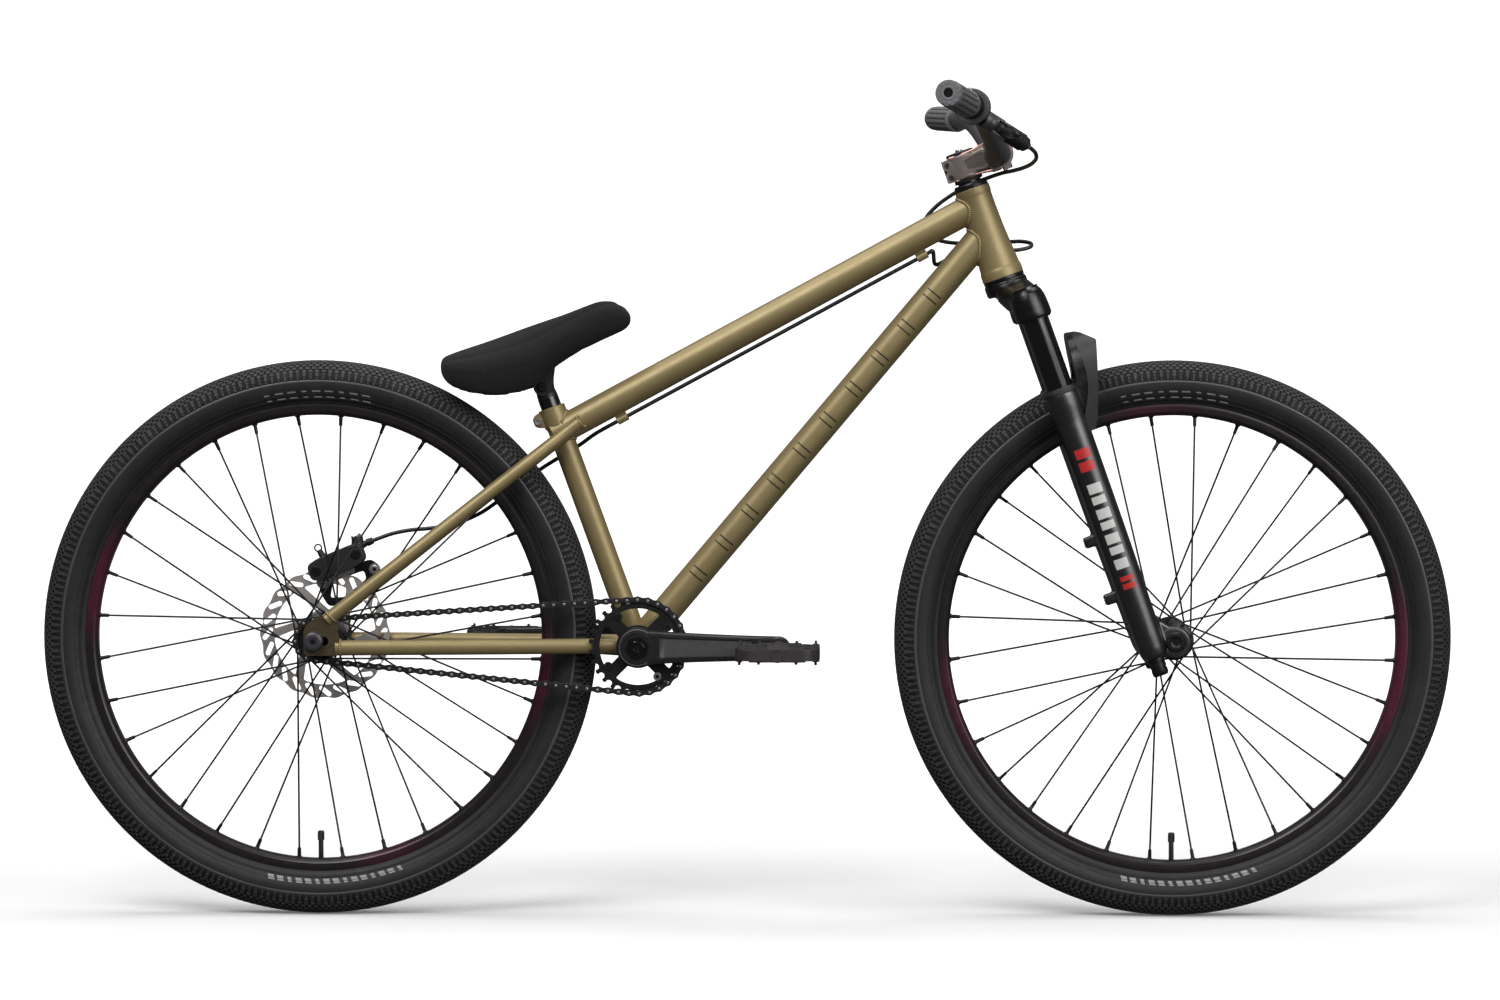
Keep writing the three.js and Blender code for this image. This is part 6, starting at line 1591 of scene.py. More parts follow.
def bar_side(sg):
    t = [(34, 303.5, 922.9), (50, 303.1, 924), (62, 301.8, 926.3), (75, 299.4, 930.6), (101, 293.0, 942.3), (130, 285.6, 955.6), (150, 280.9, 962.6), (168, 277.0, 967.2), (190, 272.4, 970.4), (215, 267.7, 971.95), (230, 264.9, 972.7), (280, 255.95, 975.13), (330, 246.97, 977.56), (380, 238, 980)]
    return [(x, sg * y, z) for y, x, z in t]


bar_path = bar_side(-1)[::-1] + [(303.6, -18, 922.9), (303.6, 18, 922.9)] + bar_side(1)
bp = spline(bar_path, 220)


def bar_r(y):
    y = abs(y)
    if y < 32:
        return 15.9
    if y < 102:
        t = (y - 32) / 70
        return 15.9 + (11.1 - 15.9) * (t * t * (3 - 2 * t))
    return 11.1


g = Geo()
g.tube(bp, [bar_r(p[1]) for p in bp], 48)
piece("handlebar_tube", g, "fork_upper", BAR, "handlebar", sharp=40)


def bar_at(y, sg):
    return (273 - 35 * (y - 185) / 195, sg * y, 970.5 + 9.5 * (y - 185) / 195)


for nm, sg in (("right", -1), ("left", 1)):
    M = along(bar_at(246, sg), bar_at(384, sg))
    g = Geo()
    # flange and sleeve with fine ring ribs broken into pads
    prof = [(11.4, 0.1), (14.4, 0.1), (15.6, 1.2), (15.8, 3.4), (15.4, 4.8), (14.8, 5.8), (14.3, 7.0)]
    prof += [(13.9, 8.0), (13.9, 131), (15.0, 132.2), (15.4, 133.2), (15.3, 138.6), (14.9, 140.4), (14.0, 141), (11.4, 141)]
    g.lathe(prof, 72, M=M, ring=True)
    # rows of long pads with grooves between them
    pads = []
    for k in range(14):
        a0 = 2 * pi * (k + 0.5 * (1 - 0.72)) / 14
        a1 = a0 + 2 * pi * 0.72 / 14
        pads += [(13.8 * cos(a0 - 0.02), 13.8 * sin(a0 - 0.02))]
        pads += [(r_ * cos(lerp(a0, a1, t)), r_ * sin(lerp(a0, a1, t))) for t, r_ in ((0.06, 15.3), (0.35, 15.7), (0.65, 15.7), (0.94, 15.3))]
        pads += [(13.8 * cos(a1 + 0.02), 13.8 * sin(a1 + 0.02))]
    for k in range(10):
        h = 8.6 + 12.25 * k
        g.plate(pads, h, h + 10.9, M=M)
    piece("grip_%s_ribbed" % nm, g, "fork_upper", GRIP, "grip_" + nm, sharp=28)
    # end plug with a knurled edge and a hole
    g = Geo()
    out = []
    for k in range(96):
        a = 2 * pi * k / 96
        r = 14.0 + (0.7 if (k // 4) % 2 else 0)
        out.append((r * cos(a), r * sin(a)))
    g.plate(out, 139.5, 142.2, [[(5.4 * cos(2 * pi * k / 32), 5.4 * sin(2 * pi * k / 32)) for k in range(32)]], M=M)
    g.lathe([(5.4, 139.6), (8.6, 139.6), (8.6, 142.4), (8.0, 142.9), (6.4, 142.9), (5.4, 142.2)], 56, M=M, ring=True)
    for k in range(12):
        sec = [2 * pi * (k + 0.62 * t / 5) / 12 for t in range(6)]
        g.plate([(12.9 * cos(a), 12.9 * sin(a)) for a in sec] + [(9.8 * cos(a), 9.8 * sin(a)) for a in sec[::-1]], 142.0, 143.0, M=M)
    # near-black disc in the plug's hole: painted shade
    g.mat = 1
    g.lathe([(0, 138.6), (5.8, 138.6), (5.8, 140.4), (0, 140.4)], 32, M=M)
    piece("grip_%s_plug" % nm, g, "fork_upper", [GRIP, SOCKET_SHADE], None, bevel=0.25)

# ------------------------------------------------------------------ brake controls
mA = Vector(bar_at(208, -1))
cdir = Vector((-35 / 195, -1, 9.5 / 195)).normalized()
cyl0, cyl1 = Vector((283, -206, 957.5)), Vector((333.5, -176, 927.5))
cd = (cyl1 - cyl0).normalized()
g = Geo()
g.rod(mA - cdir * 6.5, mA + cdir * 6.5, 15.2, n=48)
g.tube([(272, -207.5, 966), (284, -206, 958), (299, -204, 948)], [(8.5, 8.0), (9.3, 8.6), (9.3, 8.6)], 32)
g.tube([cyl0 - cd * 2, cyl0 + cd * 3, cyl0 + cd * 24, cyl0 + cd * 30], [10.4, 11.4, 11.4, 9.6], 40)
lev_ax = Vector((0.586, 0, 0.81)).normalized()
lev_p = Vector((303, -222, 944.5))
LM = Matrix(((0.81, 0, 0.586, lev_p.x), (0, 1, 0, lev_p.y), (-0.586, 0, 0.81, lev_p.z), (0, 0, 0, 1)))
for z0, z1 in ((-9.3, -6.6), (6.6, 9.3)):
    o = rp([(-8, -8), (8, -8), (10, 2), (9, 24), (-7, 24), (-9, 2)], [6, 6, 3, 2, 2, 3], 5)
    g.plate(o, z0, z1, M=LM)
piece("master_casting", g, "fork_upper", BAR, "brake_master", remesh=0.7, smooth=3)
g = Geo()
# split clamp: half ring in front with two bolts, lid on the reservoir, bellows and gland
CM = along(mA - cdir * 7, mA + cdir * 7)
g.lathe([(11.4, 0.4), (15.4, 0.4), (15.7, 1.0), (15.7, 13.0), (15.4, 13.6), (11.4, 13.6)], 56, M=CM, ring=True)
fwd = (Vector((299, -204, 948)) - Vector((272, -207.5, 966))).normalized()
g.mat = 1
side_v = cdir.cross(fwd).normalized()
for s in (-1, 1):
    c = mA - fwd * 12.5 + side_v * (s * 13.2)
    g.rod(c - fwd * 3.5, c + fwd * 9, 3.4, n=24, bev=0.6)
# near-black hex sockets in the bolts: painted shade
g.mat = 2
for s in (-1, 1):
    c = mA - fwd * 12.5 + side_v * (s * 13.2)
    g.rod(c - fwd * 3.7, c - fwd * 2.0, 1.9, n=6)
g.mat = 0
M = along(cyl0, cyl1)
Lc = (cyl1 - cyl0).length
bel = [(0, 26), (9.4, 26)]
h = 27.0
while h < Lc - 9:
    bel += [(10.6, h), (10.6, h + 1.3), (9.1, h + 1.9), (9.1, h + 2.7)]
    h += 3.3
bel += [(9.4, Lc - 7), (8.6, Lc - 2), (6.6, Lc), (0, Lc)]
g.mat = 3
g.lathe(bel, 48, M=M)
g.mat = 0
g.lathe([(0, -4.2), (8.2, -4.2), (9.6, -3.4), (10.4, -2.0), (0, -2.0)], 48, M=M)
g.mat = 1
gl = along((332, -176.9, 928.4), (337.2, -173.8, 925.3))
g.lathe([(0, 0), (5.2, 0), (5.2, 3.0), (4.4, 3.4), (4.4, 5.0), (3.4, 6.0), (0, 6.0)], 6, M=gl)
g.mat = 0
# pivot pin heads
for z in (-9.9, 9.3):
    g.mat = 1
    g.lathe([(0, z), (3.4, z), (3.4, z + 0.6), (0, z + 0.6)], 28, M=LM)
g.mat = 0
piece("master_fittings", g, "fork_upper", [ANODISED, STEEL, SOCKET_SHADE, PLASTIC], None, sharp=30)

g = Geo()
lv = lambda y, f: (lev_p.x + 0.81 * f, y, lev_p.z - 0.586 * f)
blade = spline([lv(-214, -1.5), lv(-222, 0.5), lv(-232, 5), lv(-250, 11), lv(-272, 13.5), lv(-298, 12), lv(-322, 13), lv(-334, 15.4), lv(-340, 17.0)], 60)
rad = []
for k, p in enumerate(blade):
    y = -p[1]
    ra = float(np.interp(y, [214, 224, 236, 260, 300, 325, 336, 340], [6.2, 6.2, 6.0, 5.4, 5.3, 5.4, 5.2, 3.6]))
    rb = float(np.interp(y, [214, 224, 236, 260, 300, 325, 336, 340], [5.6, 5.4, 4.2, 3.3, 3.2, 3.4, 4.0, 3.4]))
    rad.append((ra, rb))
g.tube(blade, rad, 28, ref=tuple(lev_ax), dome=2.2)
g.lathe([(0, -6), (6.6, -6), (7.2, -5.4), (7.2, 5.4), (6.6, 6), (0, 6)], 40, M=LM)
piece("lever_blade", g, "brake_lever", ANODISED, "brake_lever", remesh=0.75, smooth=4)
g = Geo()
g.rod(tuple(lev_p - lev_ax * 6.4), tuple(lev_p + lev_ax * 6.4), 3.0, n=24)
# a row of small holes' rims along the blade, as pressed dimples, their dark fill painted shade
for f_, y in ((12.4, -262), (12.6, -274), (12.0, -286)):
    c = Vector(lv(y, f_ + 0.4))
    nrm_ = Vector((0.81, 0, -0.586))
    g.rod(tuple(c + nrm_ * 1.9), tuple(c + nrm_ * 3.05), 1.9, n=20)
piece("lever_details", g, "brake_lever", ETCHED_AND_HOLE_SHADE, None, sharp=30)

# ------------------------------------------------------------------ hose
def hose_at(x, off):
    c = Vector((x, 0, top_z(x))) + tt_dn * off
    return (c.x, 0, c.z)


front_hose = [
    (338, -173.3, 924.8), (343.2, -169, 920), (345.5, -155, 914), (341.5, -128, 908), (333, -92, 904), (322, -52, 901.4), (310, -12, 899.6), (296, 20, 895.5),
    (276, 40, 888), (252, 50, 875.5), (231, 55, 860), (219, 57, 845), (220, 58, 831), (233, 60, 820.5), (258, 62, 816), (288, 63, 816), (318, 62, 817.5), (337, 57, 818), (347, 48, 815.5), (346.5, 39, 811.5),
    (334, 33, 808), (310, 33, 806), (284, 35, 803.5), (262, 33, 799.5), (244, 24, 795), (230, 11, 790)]
e1 = hose_at(203 + 12.5, HOSE_OFF)
front_hose += [(e1[0], 0.6, e1[2]), hose_at(203 + 8, HOSE_OFF)]
g = Geo()
g.tube(spline(front_hose, 420), HOSE_R, 20)
hf = piece("hose_front_tube", g, None, HOSE, "hose_front")
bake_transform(hf)
rear_hose = [hose_at(203 + 7.9, HOSE_OFF), hose_at(193, HOSE_OFF), hose_at(150, HOSE_OFF), hose_at(90, HOSE_OFF), hose_at(20, HOSE_OFF), hose_at(-60, HOSE_OFF), hose_at(-120, HOSE_OFF), hose_at(-152, HOSE_OFF), hose_at(-168, HOSE_OFF),
             (-183, 7.5, 584), (-202, 22, 570.5), (-229.8, 41, 553.6), (-252.5, 50, 539.2), (-304.8, 58, 500), (-329, 61, 484), (-360, 64.5, 471.5), (-389, 66, 466.3), (-412.9, 65.5, 464.1), (-435.1, 64.5, 459.8), (-453, 63, 453.6), (-466.3, 62, 448.6)]
g = Geo()
rh = spline(rear_hose, 420)
g.tube(rh, HOSE_R, 20)
piece("hose_rear_tube", g, "frame", HOSE, "hose_rear")

# ------------------------------------------------------------------ rear brake
CALM = Matrix.Translation((-503.7, 0, 426.5)) @ Matrix.Rotation(radians(-20), 4, "Y")
g = Geo()
# two halves with a bridge over the slot
o = rp([(-35, -13), (-22, -16), (20, -15), (36, -11), (36, 9), (24, 13), (-20, 11), (-35, 7)], [7, 5, 5, 7, 7, 8, 8, 7], 6)
g.plate(o, -68, -55.4, M=CALM @ XZ(0))
g.plate(o, -48.6, -38, M=CALM @ XZ(0))
g.plate(rp([(-33, 4.2), (34, 4.2), (34, 9), (24, 13), (-20, 11), (-33, 7)], [1, 1, 3, 6, 6, 3], 5), -66, -40, M=CALM @ XZ(0))
# piston boss on the outer half
g.lathe([(0, 66), (12.5, 66), (12.5, 69.0), (11, 70.2), (0, 70.2)], 48, M=CALM @ YAX(1, -4))
g.rod(tuple(CALM @ Vector((30, 62, 6))), tuple(CALM @ Vector((34, 62, 20))), 5.8, 4.9, 32)
piece("caliper_forged", g, "frame", SATIN_AND_ARCH_LIGHT, "brake_caliper", remesh=0.8, smooth=3)
g = Geo()
brk = rp([(-514, 370.8), (-498, 371), (-478, 386), (-452, 407), (-450, 420), (-462, 428), (-470, 426), (-520, 407), (-527, 400), (-522, 384)], [5, 5, 4, 7, 7, 5, 5, 5, 5, 5], 6)
brh = rp([(-512, 380.5), (-495, 381.5), (-467, 404.5), (-470, 414.5), (-509, 400.5)], 3.5, 5)
g.plate(brk, -67.2, -57.5, [brh], M=XZ(0))
piece("caliper_bracket", g, "frame", ANODISED, None, bevel=0.7)
g = Geo()
# bolts through the bracket and into the caliper, bleed port, banjo and olive nut
g.mat = 0
for x, z, y0, hh in ((-521, 399.5, 56.6, 2.4), (-456.5, 416.5, 56.6, 5.2)):
    g.lathe([(0, y0 - hh), (4.2, y0 - hh), (4.9, y0 - hh + 0.8), (4.9, y0 - 0.6), (7.0, y0 - 0.6), (7.0, y0 + 0.9), (0, y0 + 0.9)], 32, M=YAX(x, z))
    # near-black hex socket: painted shade
    g.mat = 1
    g.lathe([(0, y0 - hh - 0.2), (2.6, y0 - hh - 0.2), (2.6, y0 - hh + 0.6), (0, y0 - hh + 0.6)], 6, M=YAX(x, z))
    g.mat = 0
    g.lathe([(0, 67.2), (5.6, 67.2), (5.6, 69.6), (0, 69.6)], 6, M=YAX(x, z))
for x, z in ((-26, -3), (27, 0)):
    mm = CALM @ YAX(x, z)
    g.mat = 2
    g.lathe([(0, 36.4), (5.4, 36.4), (6.2, 37.2), (6.2, 38.4), (0, 38.4)], 36, M=mm)
    # near-black hex socket: painted shade
    g.mat = 1
    g.lathe([(0, 36.1), (2.8, 36.1), (2.8, 37.0), (0, 37.0)], 6, M=mm)
    g.mat = 0
# banjo ring and bolt where the hose arrives
bj = Vector((-470.2, 62, 446.2))
g.mat = 2
g.tube([(-466.0, 62, 448.8), (-470.5, 62, 446.4), (-474, 61.8, 444.6)], [3.5, 4.3, 4.6], 24)
g.rod((-459.0, 62.5, 451.6), (-466.5, 62, 448.5), 3.1, 3.5, 24, bev=0.5)
g.mat = 0
g.lathe([(0, 14), (4.6, 14), (4.6, 17.0), (6.4, 17.0), (6.4, 21.0), (5.6, 22.2), (0, 22.2)], 6, M=CALM @ Matrix.Translation((32.5, 62, 0)))
g.mat = 3
# bleed nipple with a small loop on top of the body
g.rod(tuple(CALM @ Vector((-14, 60, 10))), tuple(CALM @ Vector((-16, 60, 20))), 3.4, 2.6, 24, bev=0.5)
lp = [CALM @ Vector((-16 + 4.2 * cos(2 * pi * k / 40), 60, 22.6 + 4.2 * sin(2 * pi * k / 40))) for k in range(40)]
g.tube(lp, 1.0, 12, closed=True, ref=(0, 1, 0))
piece("caliper_fittings", g, "frame", [BRIGHT, SOCKET_SHADE, ANODISED, PLASTIC], None, sharp=30)

pad_o = rp([(-16, -22), (18, -21), (19, -6), (14, 2), (-12, 2), (-17, -6)], [4, 4, 3, 2, 2, 3], 5)
for nm, y0, y1, yb in (("inner", 50.4, 49.1, 49.5), ("outer", 53.6, 54.9, 54.5)):
    g = Geo()
    lo_, hi_ = sorted((-y0, -yb))
    g.plate([(x * 0.93, z * 0.93 - 1) for x, z in pad_o], lo_, hi_, M=CALM @ XZ(0))
    g.mat = 1
    lo_, hi_ = sorted((-yb, -y1))
    g.plate(pad_o, lo_, hi_, M=CALM @ XZ(0))
    piece("pad_%s_backed" % nm, g, "pad_" + nm, [PAD, STEEL], "brake_pad_" + nm)

# ------------------------------------------------------------------ rear axle
g = Geo()
RA = YAX(REAR_X, AXLE_Z)
g.lathe([(0, -75.2), (5, -75.2), (5, 75.2), (0, 75.2)], 40, M=RA)
for sg in (-1, 1):
    prof = [(0, 74.9), (11.9, 74.9), (11.9, 76.0), (11.0, 76.2), (11.0, 76.8), (11.6, 77.2), (11.6, 79.6), (11.0, 81.6), (9.6, 82.6), (7.6, 83.0), (5.2, 83.0), (4.8, 82.0), (0, 82.0)]
    g.lathe([(r, sg * y) for r, y in prof], 72, M=RA)
# near-black hex sockets: painted shade
g.mat = 1
for sg in (-1, 1):
    g.lathe([(0, sg * 81.8), (3.5, sg * 81.8), (3.5, sg * 82.3), (0, sg * 82.3)], 6, M=RA)
g.mat = 2
for sg in (-1, 1):
    g.lathe([(11.0, sg * 76.2), (11.15, sg * 76.5), (11.0, sg * 76.8)], 72, M=RA, ring=True)
piece("rear_axle_fine", g, "frame", [NUT_AND_RING_HIGHLIGHT, SOCKET_SHADE, STEEL], "rear_axle", sharp=30)

# ------------------------------------------------------------------ drivetrain
PITCH, RING_T, COG_T, CY = 12.7, 28, 12, -50.0
RING_PR, COG_PR = PITCH / 2 / sin(pi / RING_T), PITCH / 2 / sin(pi / COG_T)


def teeth(n, pr, cx, cz, turn):
    """Outline with a round seat for each roller and a pointed tooth between."""
    pts, step = [], 2 * pi / n
    for k in range(n):
        a = turn + k * step
        va = a + step / 2
        rx, rz = pr * cos(va), pr * sin(va)
        tip = pr + 2.7
        for da, r in ((-0.085 * 28 / n, tip - 0.7), (-0.03 * 28 / n, tip), (0.03 * 28 / n, tip), (0.085 * 28 / n, tip - 0.7)):
            aa = a + da * 0.55
            pts.append((cx + r * cos(aa), cz + r * sin(aa)))
        for j in range(7):
            b = va + pi + radians(62) * (1 - 2 * j / 6)
            pts.append((cx + rx + 4.05 * cos(b), cz + rz + 4.05 * sin(b)))
    return pts


g = Geo()
rot = pi / 2 + pi / RING_T
ring_holes = []
for k in range(4):
    pts = []
    for i in range(13):
        a = radians(-35 + k * 90 + 70 * i / 12)
        pts.append((BB[0] + 46.2 * cos(a), BB[1] + 46.2 * sin(a)))
    for i in range(9):
        a = radians(27 + k * 90 - 54 * i / 8)
        pts.append((BB[0] + 26 * cos(a), BB[1] + 26 * sin(a)))
    ring_holes.append(rp(pts, [6 if j in (0, 12, 13, 21) else 0 for j in range(len(pts))], 5))
bore = [(BB[0] + 15.2 * cos(2 * pi * k / 48), BB[1] + 15.2 * sin(2 * pi * k / 48)) for k in range(48)]
T = teeth(RING_T, RING_PR, BB[0], BB[1], rot)
g.plate(T, 48.9, 51.1, ring_holes + [bore], M=XZ(0))
piece("chainring_plate", g, "crank", COG, "chainring", bevel=0.3)
g = Geo()
inner = [(BB[0] + 50.6 * cos(2 * pi * k / 96), BB[1] + 50.6 * sin(2 * pi * k / 96)) for k in range(96)]
inner2 = [(BB[0] + 46.4 * cos(2 * pi * k / 96), BB[1] + 46.4 * sin(2 * pi * k / 96)) for k in range(96)]
g.plate(inner, 48.2, 51.7, [inner2], M=XZ(0))
for k in range(4):
    g.mat = 1 if k == 3 else 0
    a = radians(45 - 12 + 90 * k)
    x, z = BB[0] + 43 * cos(a), BB[1] + 43 * sin(a)
    g.lathe([(0, -52.9), (4.6, -52.9), (5.0, -52.5), (5.0, -47.4), (0, -47.4)], 32, M=YAX(x, z))
# near-black hex sockets in the bolts: painted shade
g.mat = 2
for k in range(4):
    a = radians(45 - 12 + 90 * k)
    x, z = BB[0] + 43 * cos(a), BB[1] + 43 * sin(a)
    g.lathe([(0, -53.1), (2.4, -53.1), (2.4, -52.6), (0, -52.6)], 6, M=YAX(x, z))
piece("chainring_rim", g, "crank", [COG, STEEL, SOCKET_SHADE], None, bevel=0.25)

g = Geo()
g.plate(teeth(COG_T, COG_PR, REAR_X, AXLE_Z, pi / 2 + pi / COG_T), 48.7, 51.3, [[(REAR_X + 5.9 * cos(2 * pi * k / 32), AXLE_Z + 5.9 * sin(2 * pi * k / 32)) for k in range(32)]], M=XZ(0))
piece("cog_plate", g, "cog", COG, "rear_cog", bevel=0.25)
g = Geo()
g.lathe([(5.8, -66.8), (8.6, -66.8), (9, -66.2), (9, -56.6), (14, -55.6), (16.2, -54.8), (16.5, -54.0), (16.5, -40.5), (5.8, -40.5)], 56, M=RA, ring=True)
piece("cog_driver", g, "cog", ANODISED, None, sharp=30)

# chain: 82 links on the pitch line
d_ = hypot(BB[0] - REAR_X, BB[1] - AXLE_Z)
base, open_ = atan2(BB[1] - AXLE_Z, BB[0] - REAR_X), acos((COG_PR - RING_PR) / d_)
loop = []
for i in range(121):
    a = base + open_ - 2 * open_ * i / 120
    loop.append((BB[0] + RING_PR * cos(a), BB[1] + RING_PR * sin(a)))
for i in range(81):
    a = base - open_ - (2 * pi - 2 * open_) * i / 80
    loop.append((REAR_X + COG_PR * cos(a), AXLE_Z + COG_PR * sin(a)))
L_ = np.array(loop + [loop[0]])
s_ = np.concatenate([[0], np.cumsum(np.linalg.norm(np.diff(L_, axis=0), axis=1))])
# start with a pin in the seat at the top of the chainring
top_s = s_[int(np.argmin(np.abs(L_[:121, 0] - BB[0]) + (L_[:121, 1] < BB[1]) * 1e3))]
NL = 82
pins = []
for k in range(NL):
    w = (top_s + s_[-1] * k / NL) % s_[-1]
    pins.append((float(np.interp(w, s_, L_[:, 0])), float(np.interp(w, s_, L_[:, 1]))))
g = Geo()
for k in range(NL):
    (x0, z0), (x1, z1) = pins[k], pins[(k + 1) % NL]
    ang = atan2(z1 - z0, x1 - x0)
    ln_ = hypot(x1 - x0, z1 - z0)
    o = [(4.0 * cos(radians(q)), 4.0 * sin(radians(q))) for q in (62, 90, 115, 140, 165, 195, 220, 245, 270, 298)]
    o += [(ln_ / 2, -2.5)]
    o += [(ln_ + 4.0 * cos(radians(q)), 4.0 * sin(radians(q))) for q in (242, 270, 295, 320, 345, 15, 40, 65, 90, 118)]
    o += [(ln_ / 2, 2.5)]
    c_, s2 = cos(ang), sin(ang)
    o = [(x0 + c_ * x - s2 * z, z0 + s2 * x + c_ * z) for x, z in o]
    ys = ((3.35, 4.3), (-4.3, -3.35)) if k % 2 else ((2.35, 3.25), (-3.25, -2.35))
    g.mat = 0
    for a, b in ys:
        g.plate(o, 50 + a, 50 + b, M=XZ(0))
    g.mat = 1
    g.lathe([(0, CY - 4.75), (1.35, CY - 4.75), (1.75, CY - 4.45), (1.75, CY + 4.45), (1.35, CY + 4.75), (0, CY + 4.75)], 14, M=YAX(x0, z0))
    g.mat = 2
    g.lathe([(0, CY - 2.25), (3.85, CY - 2.25), (3.85, CY + 2.25), (0, CY + 2.25)], 16, M=YAX(x0, z0))
piece("chain_links", g, "frame", [CHAIN, PIN, STEEL], "chain", bevel=0.18, seg=1)

# cranks
CRANK = 170.0
for nm, sg, fw in (("right", -1, 1), ("left", 1, -1)):
    g = Geo()
    rings, depth = [], []
    xs = [0, 8, 16, 24, 27, 30, 33, 40, 55, 70, 85, 100, 115, 128, 132, 135, 138, 146, 154, 162, 170]
    for x in xs:
        h = float(np.interp(x, [0, 22, 60, 120, 170], [21.0, 19.8, 17.6, 15.4, 14.3]))
        yo = float(np.interp(x, [0, 24, 70, 152, 170], [71.0, 72, 75, 82.6, 83]))
        yi = float(np.interp(x, [0, 24, 60, 146, 170], [56, 56.5, 60, 68, 68.6]))
        d = float(np.interp(x, [27, 33, 132, 138], [0, 1.3, 1.3, 0]))
        gh = h * 0.58
        p = [(yi, -h + 3.2), (yi + 0.9, -h + 0.9), (yi + 3.2, -h), (yo - 3.4, -h), (yo - 1.0, -h + 1.0), (yo, -h + 3.4), (yo, -gh - 0.8), (yo - d, -gh), (yo - d, gh), (yo, gh + 0.8),
             (yo, h - 3.4), (yo - 1.0, h - 1.0), (yo - 3.4, h), (yi + 3.2, h), (yi + 0.9, h - 0.9), (yi, h - 3.2)]
        rings.append([(BB[0] + fw * x, sg * y, BB[1] + z) for y, z in p])
        depth.append(d)
    b0 = len(g.m)
    g.loft(rings)
    n = 16
    for i in range(len(xs) - 1):
        if depth[i] > 0.2 or depth[i + 1] > 0.2:
            for j in (6, 7, 8):
                g.m[b0 + i * n + j] = 1 if j == 7 else 0
    AXM = YAX(BB[0], BB[1])
    prof = [(0, 56), (21.4, 56), (22.5, 57.2), (22.5, 70.0), (21.6, 71.2), (17.8, 71.8), (17.2, 71.2), (17.2, 70.4), (0, 70.4)]
    g.lathe([(r, sg * y) for r, y in prof], 80, M=AXM)
    TM = YAX(BB[0] + fw * CRANK, BB[1])
    prof = [(0, 68.8), (12.8, 68.8), (14.3, 70.2), (14.3, 81.4), (12.6, 83.0), (8.4, 83.2), (7.6, 82.4), (0, 82.4)]
    g.lathe([(r, sg * y) for r, y in prof], 64, M=TM)
    piece("crank_%s_forged" % nm, g, "crank", [CRANK_BLACK, PANEL_AND_BOSS_HIGHLIGHT], "crank_arm_" + nm, sharp=30)
    g = Geo()
    # cap over the spindle: a knurled ring with cut flats
    g.mat = 0
    out = []
    for k in range(120):
        a = 2 * pi * k / 120
        r = 13.6 - (0.9 if (k // 10) % 2 else 0)
        out.append((BB[0] + r * cos(a), BB[1] + r * sin(a)))
    inn = [(BB[0] + 8.8 * cos(2 * pi * k / 60), BB[1] + 8.8 * sin(2 * pi * k / 60)) for k in range(60)]
    lo_, hi_ = sorted((-sg * 70.2, -sg * 72.6))
    g.mat = 1
    g.plate(out, lo_, hi_, [inn], M=XZ(0))
    g.mat = 0
    prof = [(0, 70.2), (8.7, 70.2), (8.7, 72.2), (7.6, 73.0), (4.8, 73.0), (4.4, 71.6), (0, 71.6)]
    g.lathe([(r, sg * y) for r, y in prof], 48, M=AXM)
    # near-black hex socket: painted shade
    g.mat = 2
    g.lathe([(0, sg * 71.5), (4.0, sg * 71.5), (4.0, sg * 71.9), (0, sg * 71.9)], 6, M=AXM)
    g.mat = 1
    prof = [(7.4, 82.6), (9.0, 82.9), (9.0, 83.4), (7.4, 83.7)]
    g.lathe([(r, sg * y) for r, y in prof], 40, M=TM, ring=True)
    # bevel round the boss, in the lighter panel grey: a painted highlight
    g.mat = 3
    prof = [(20.6, 71.2), (21.5, 71.5), (22.6, 70.4), (22.2, 69.6)]
    g.lathe([(r, sg * y) for r, y in prof], 96, M=AXM, ring=True)
    piece("crank_%s_cap" % nm, g, "crank", [GLOSS, GLOSS, SOCKET_SHADE, PANEL_AND_BOSS_HIGHLIGHT], None, bevel=0.25)
# spider behind the right arm
g = Geo()
g.lathe([(12.4, -59), (23.2, -59), (24, -58.2), (24, -52.6), (23.4, -51.9), (14.9, -51.9), (14.9, -47.8), (12.4, -47.8)], 72, M=YAX(BB[0], BB[1]), ring=True)
g.lathe([(12.4, 47.8), (16.5, 47.8), (18, 57.5), (12.4, 57.5)], 64, M=YAX(BB[0], BB[1]), ring=True)
piece("crank_hubs", g, "crank", ANODISED, None, sharp=30)
g = Geo()
g.lathe([(9, -67), (12, -67), (12, 67), (9, 67)], 48, M=YAX(BB[0], BB[1]), ring=True)
piece("spindle_tube", g, "crank", STEEL, "crank_spindle", sharp=30)

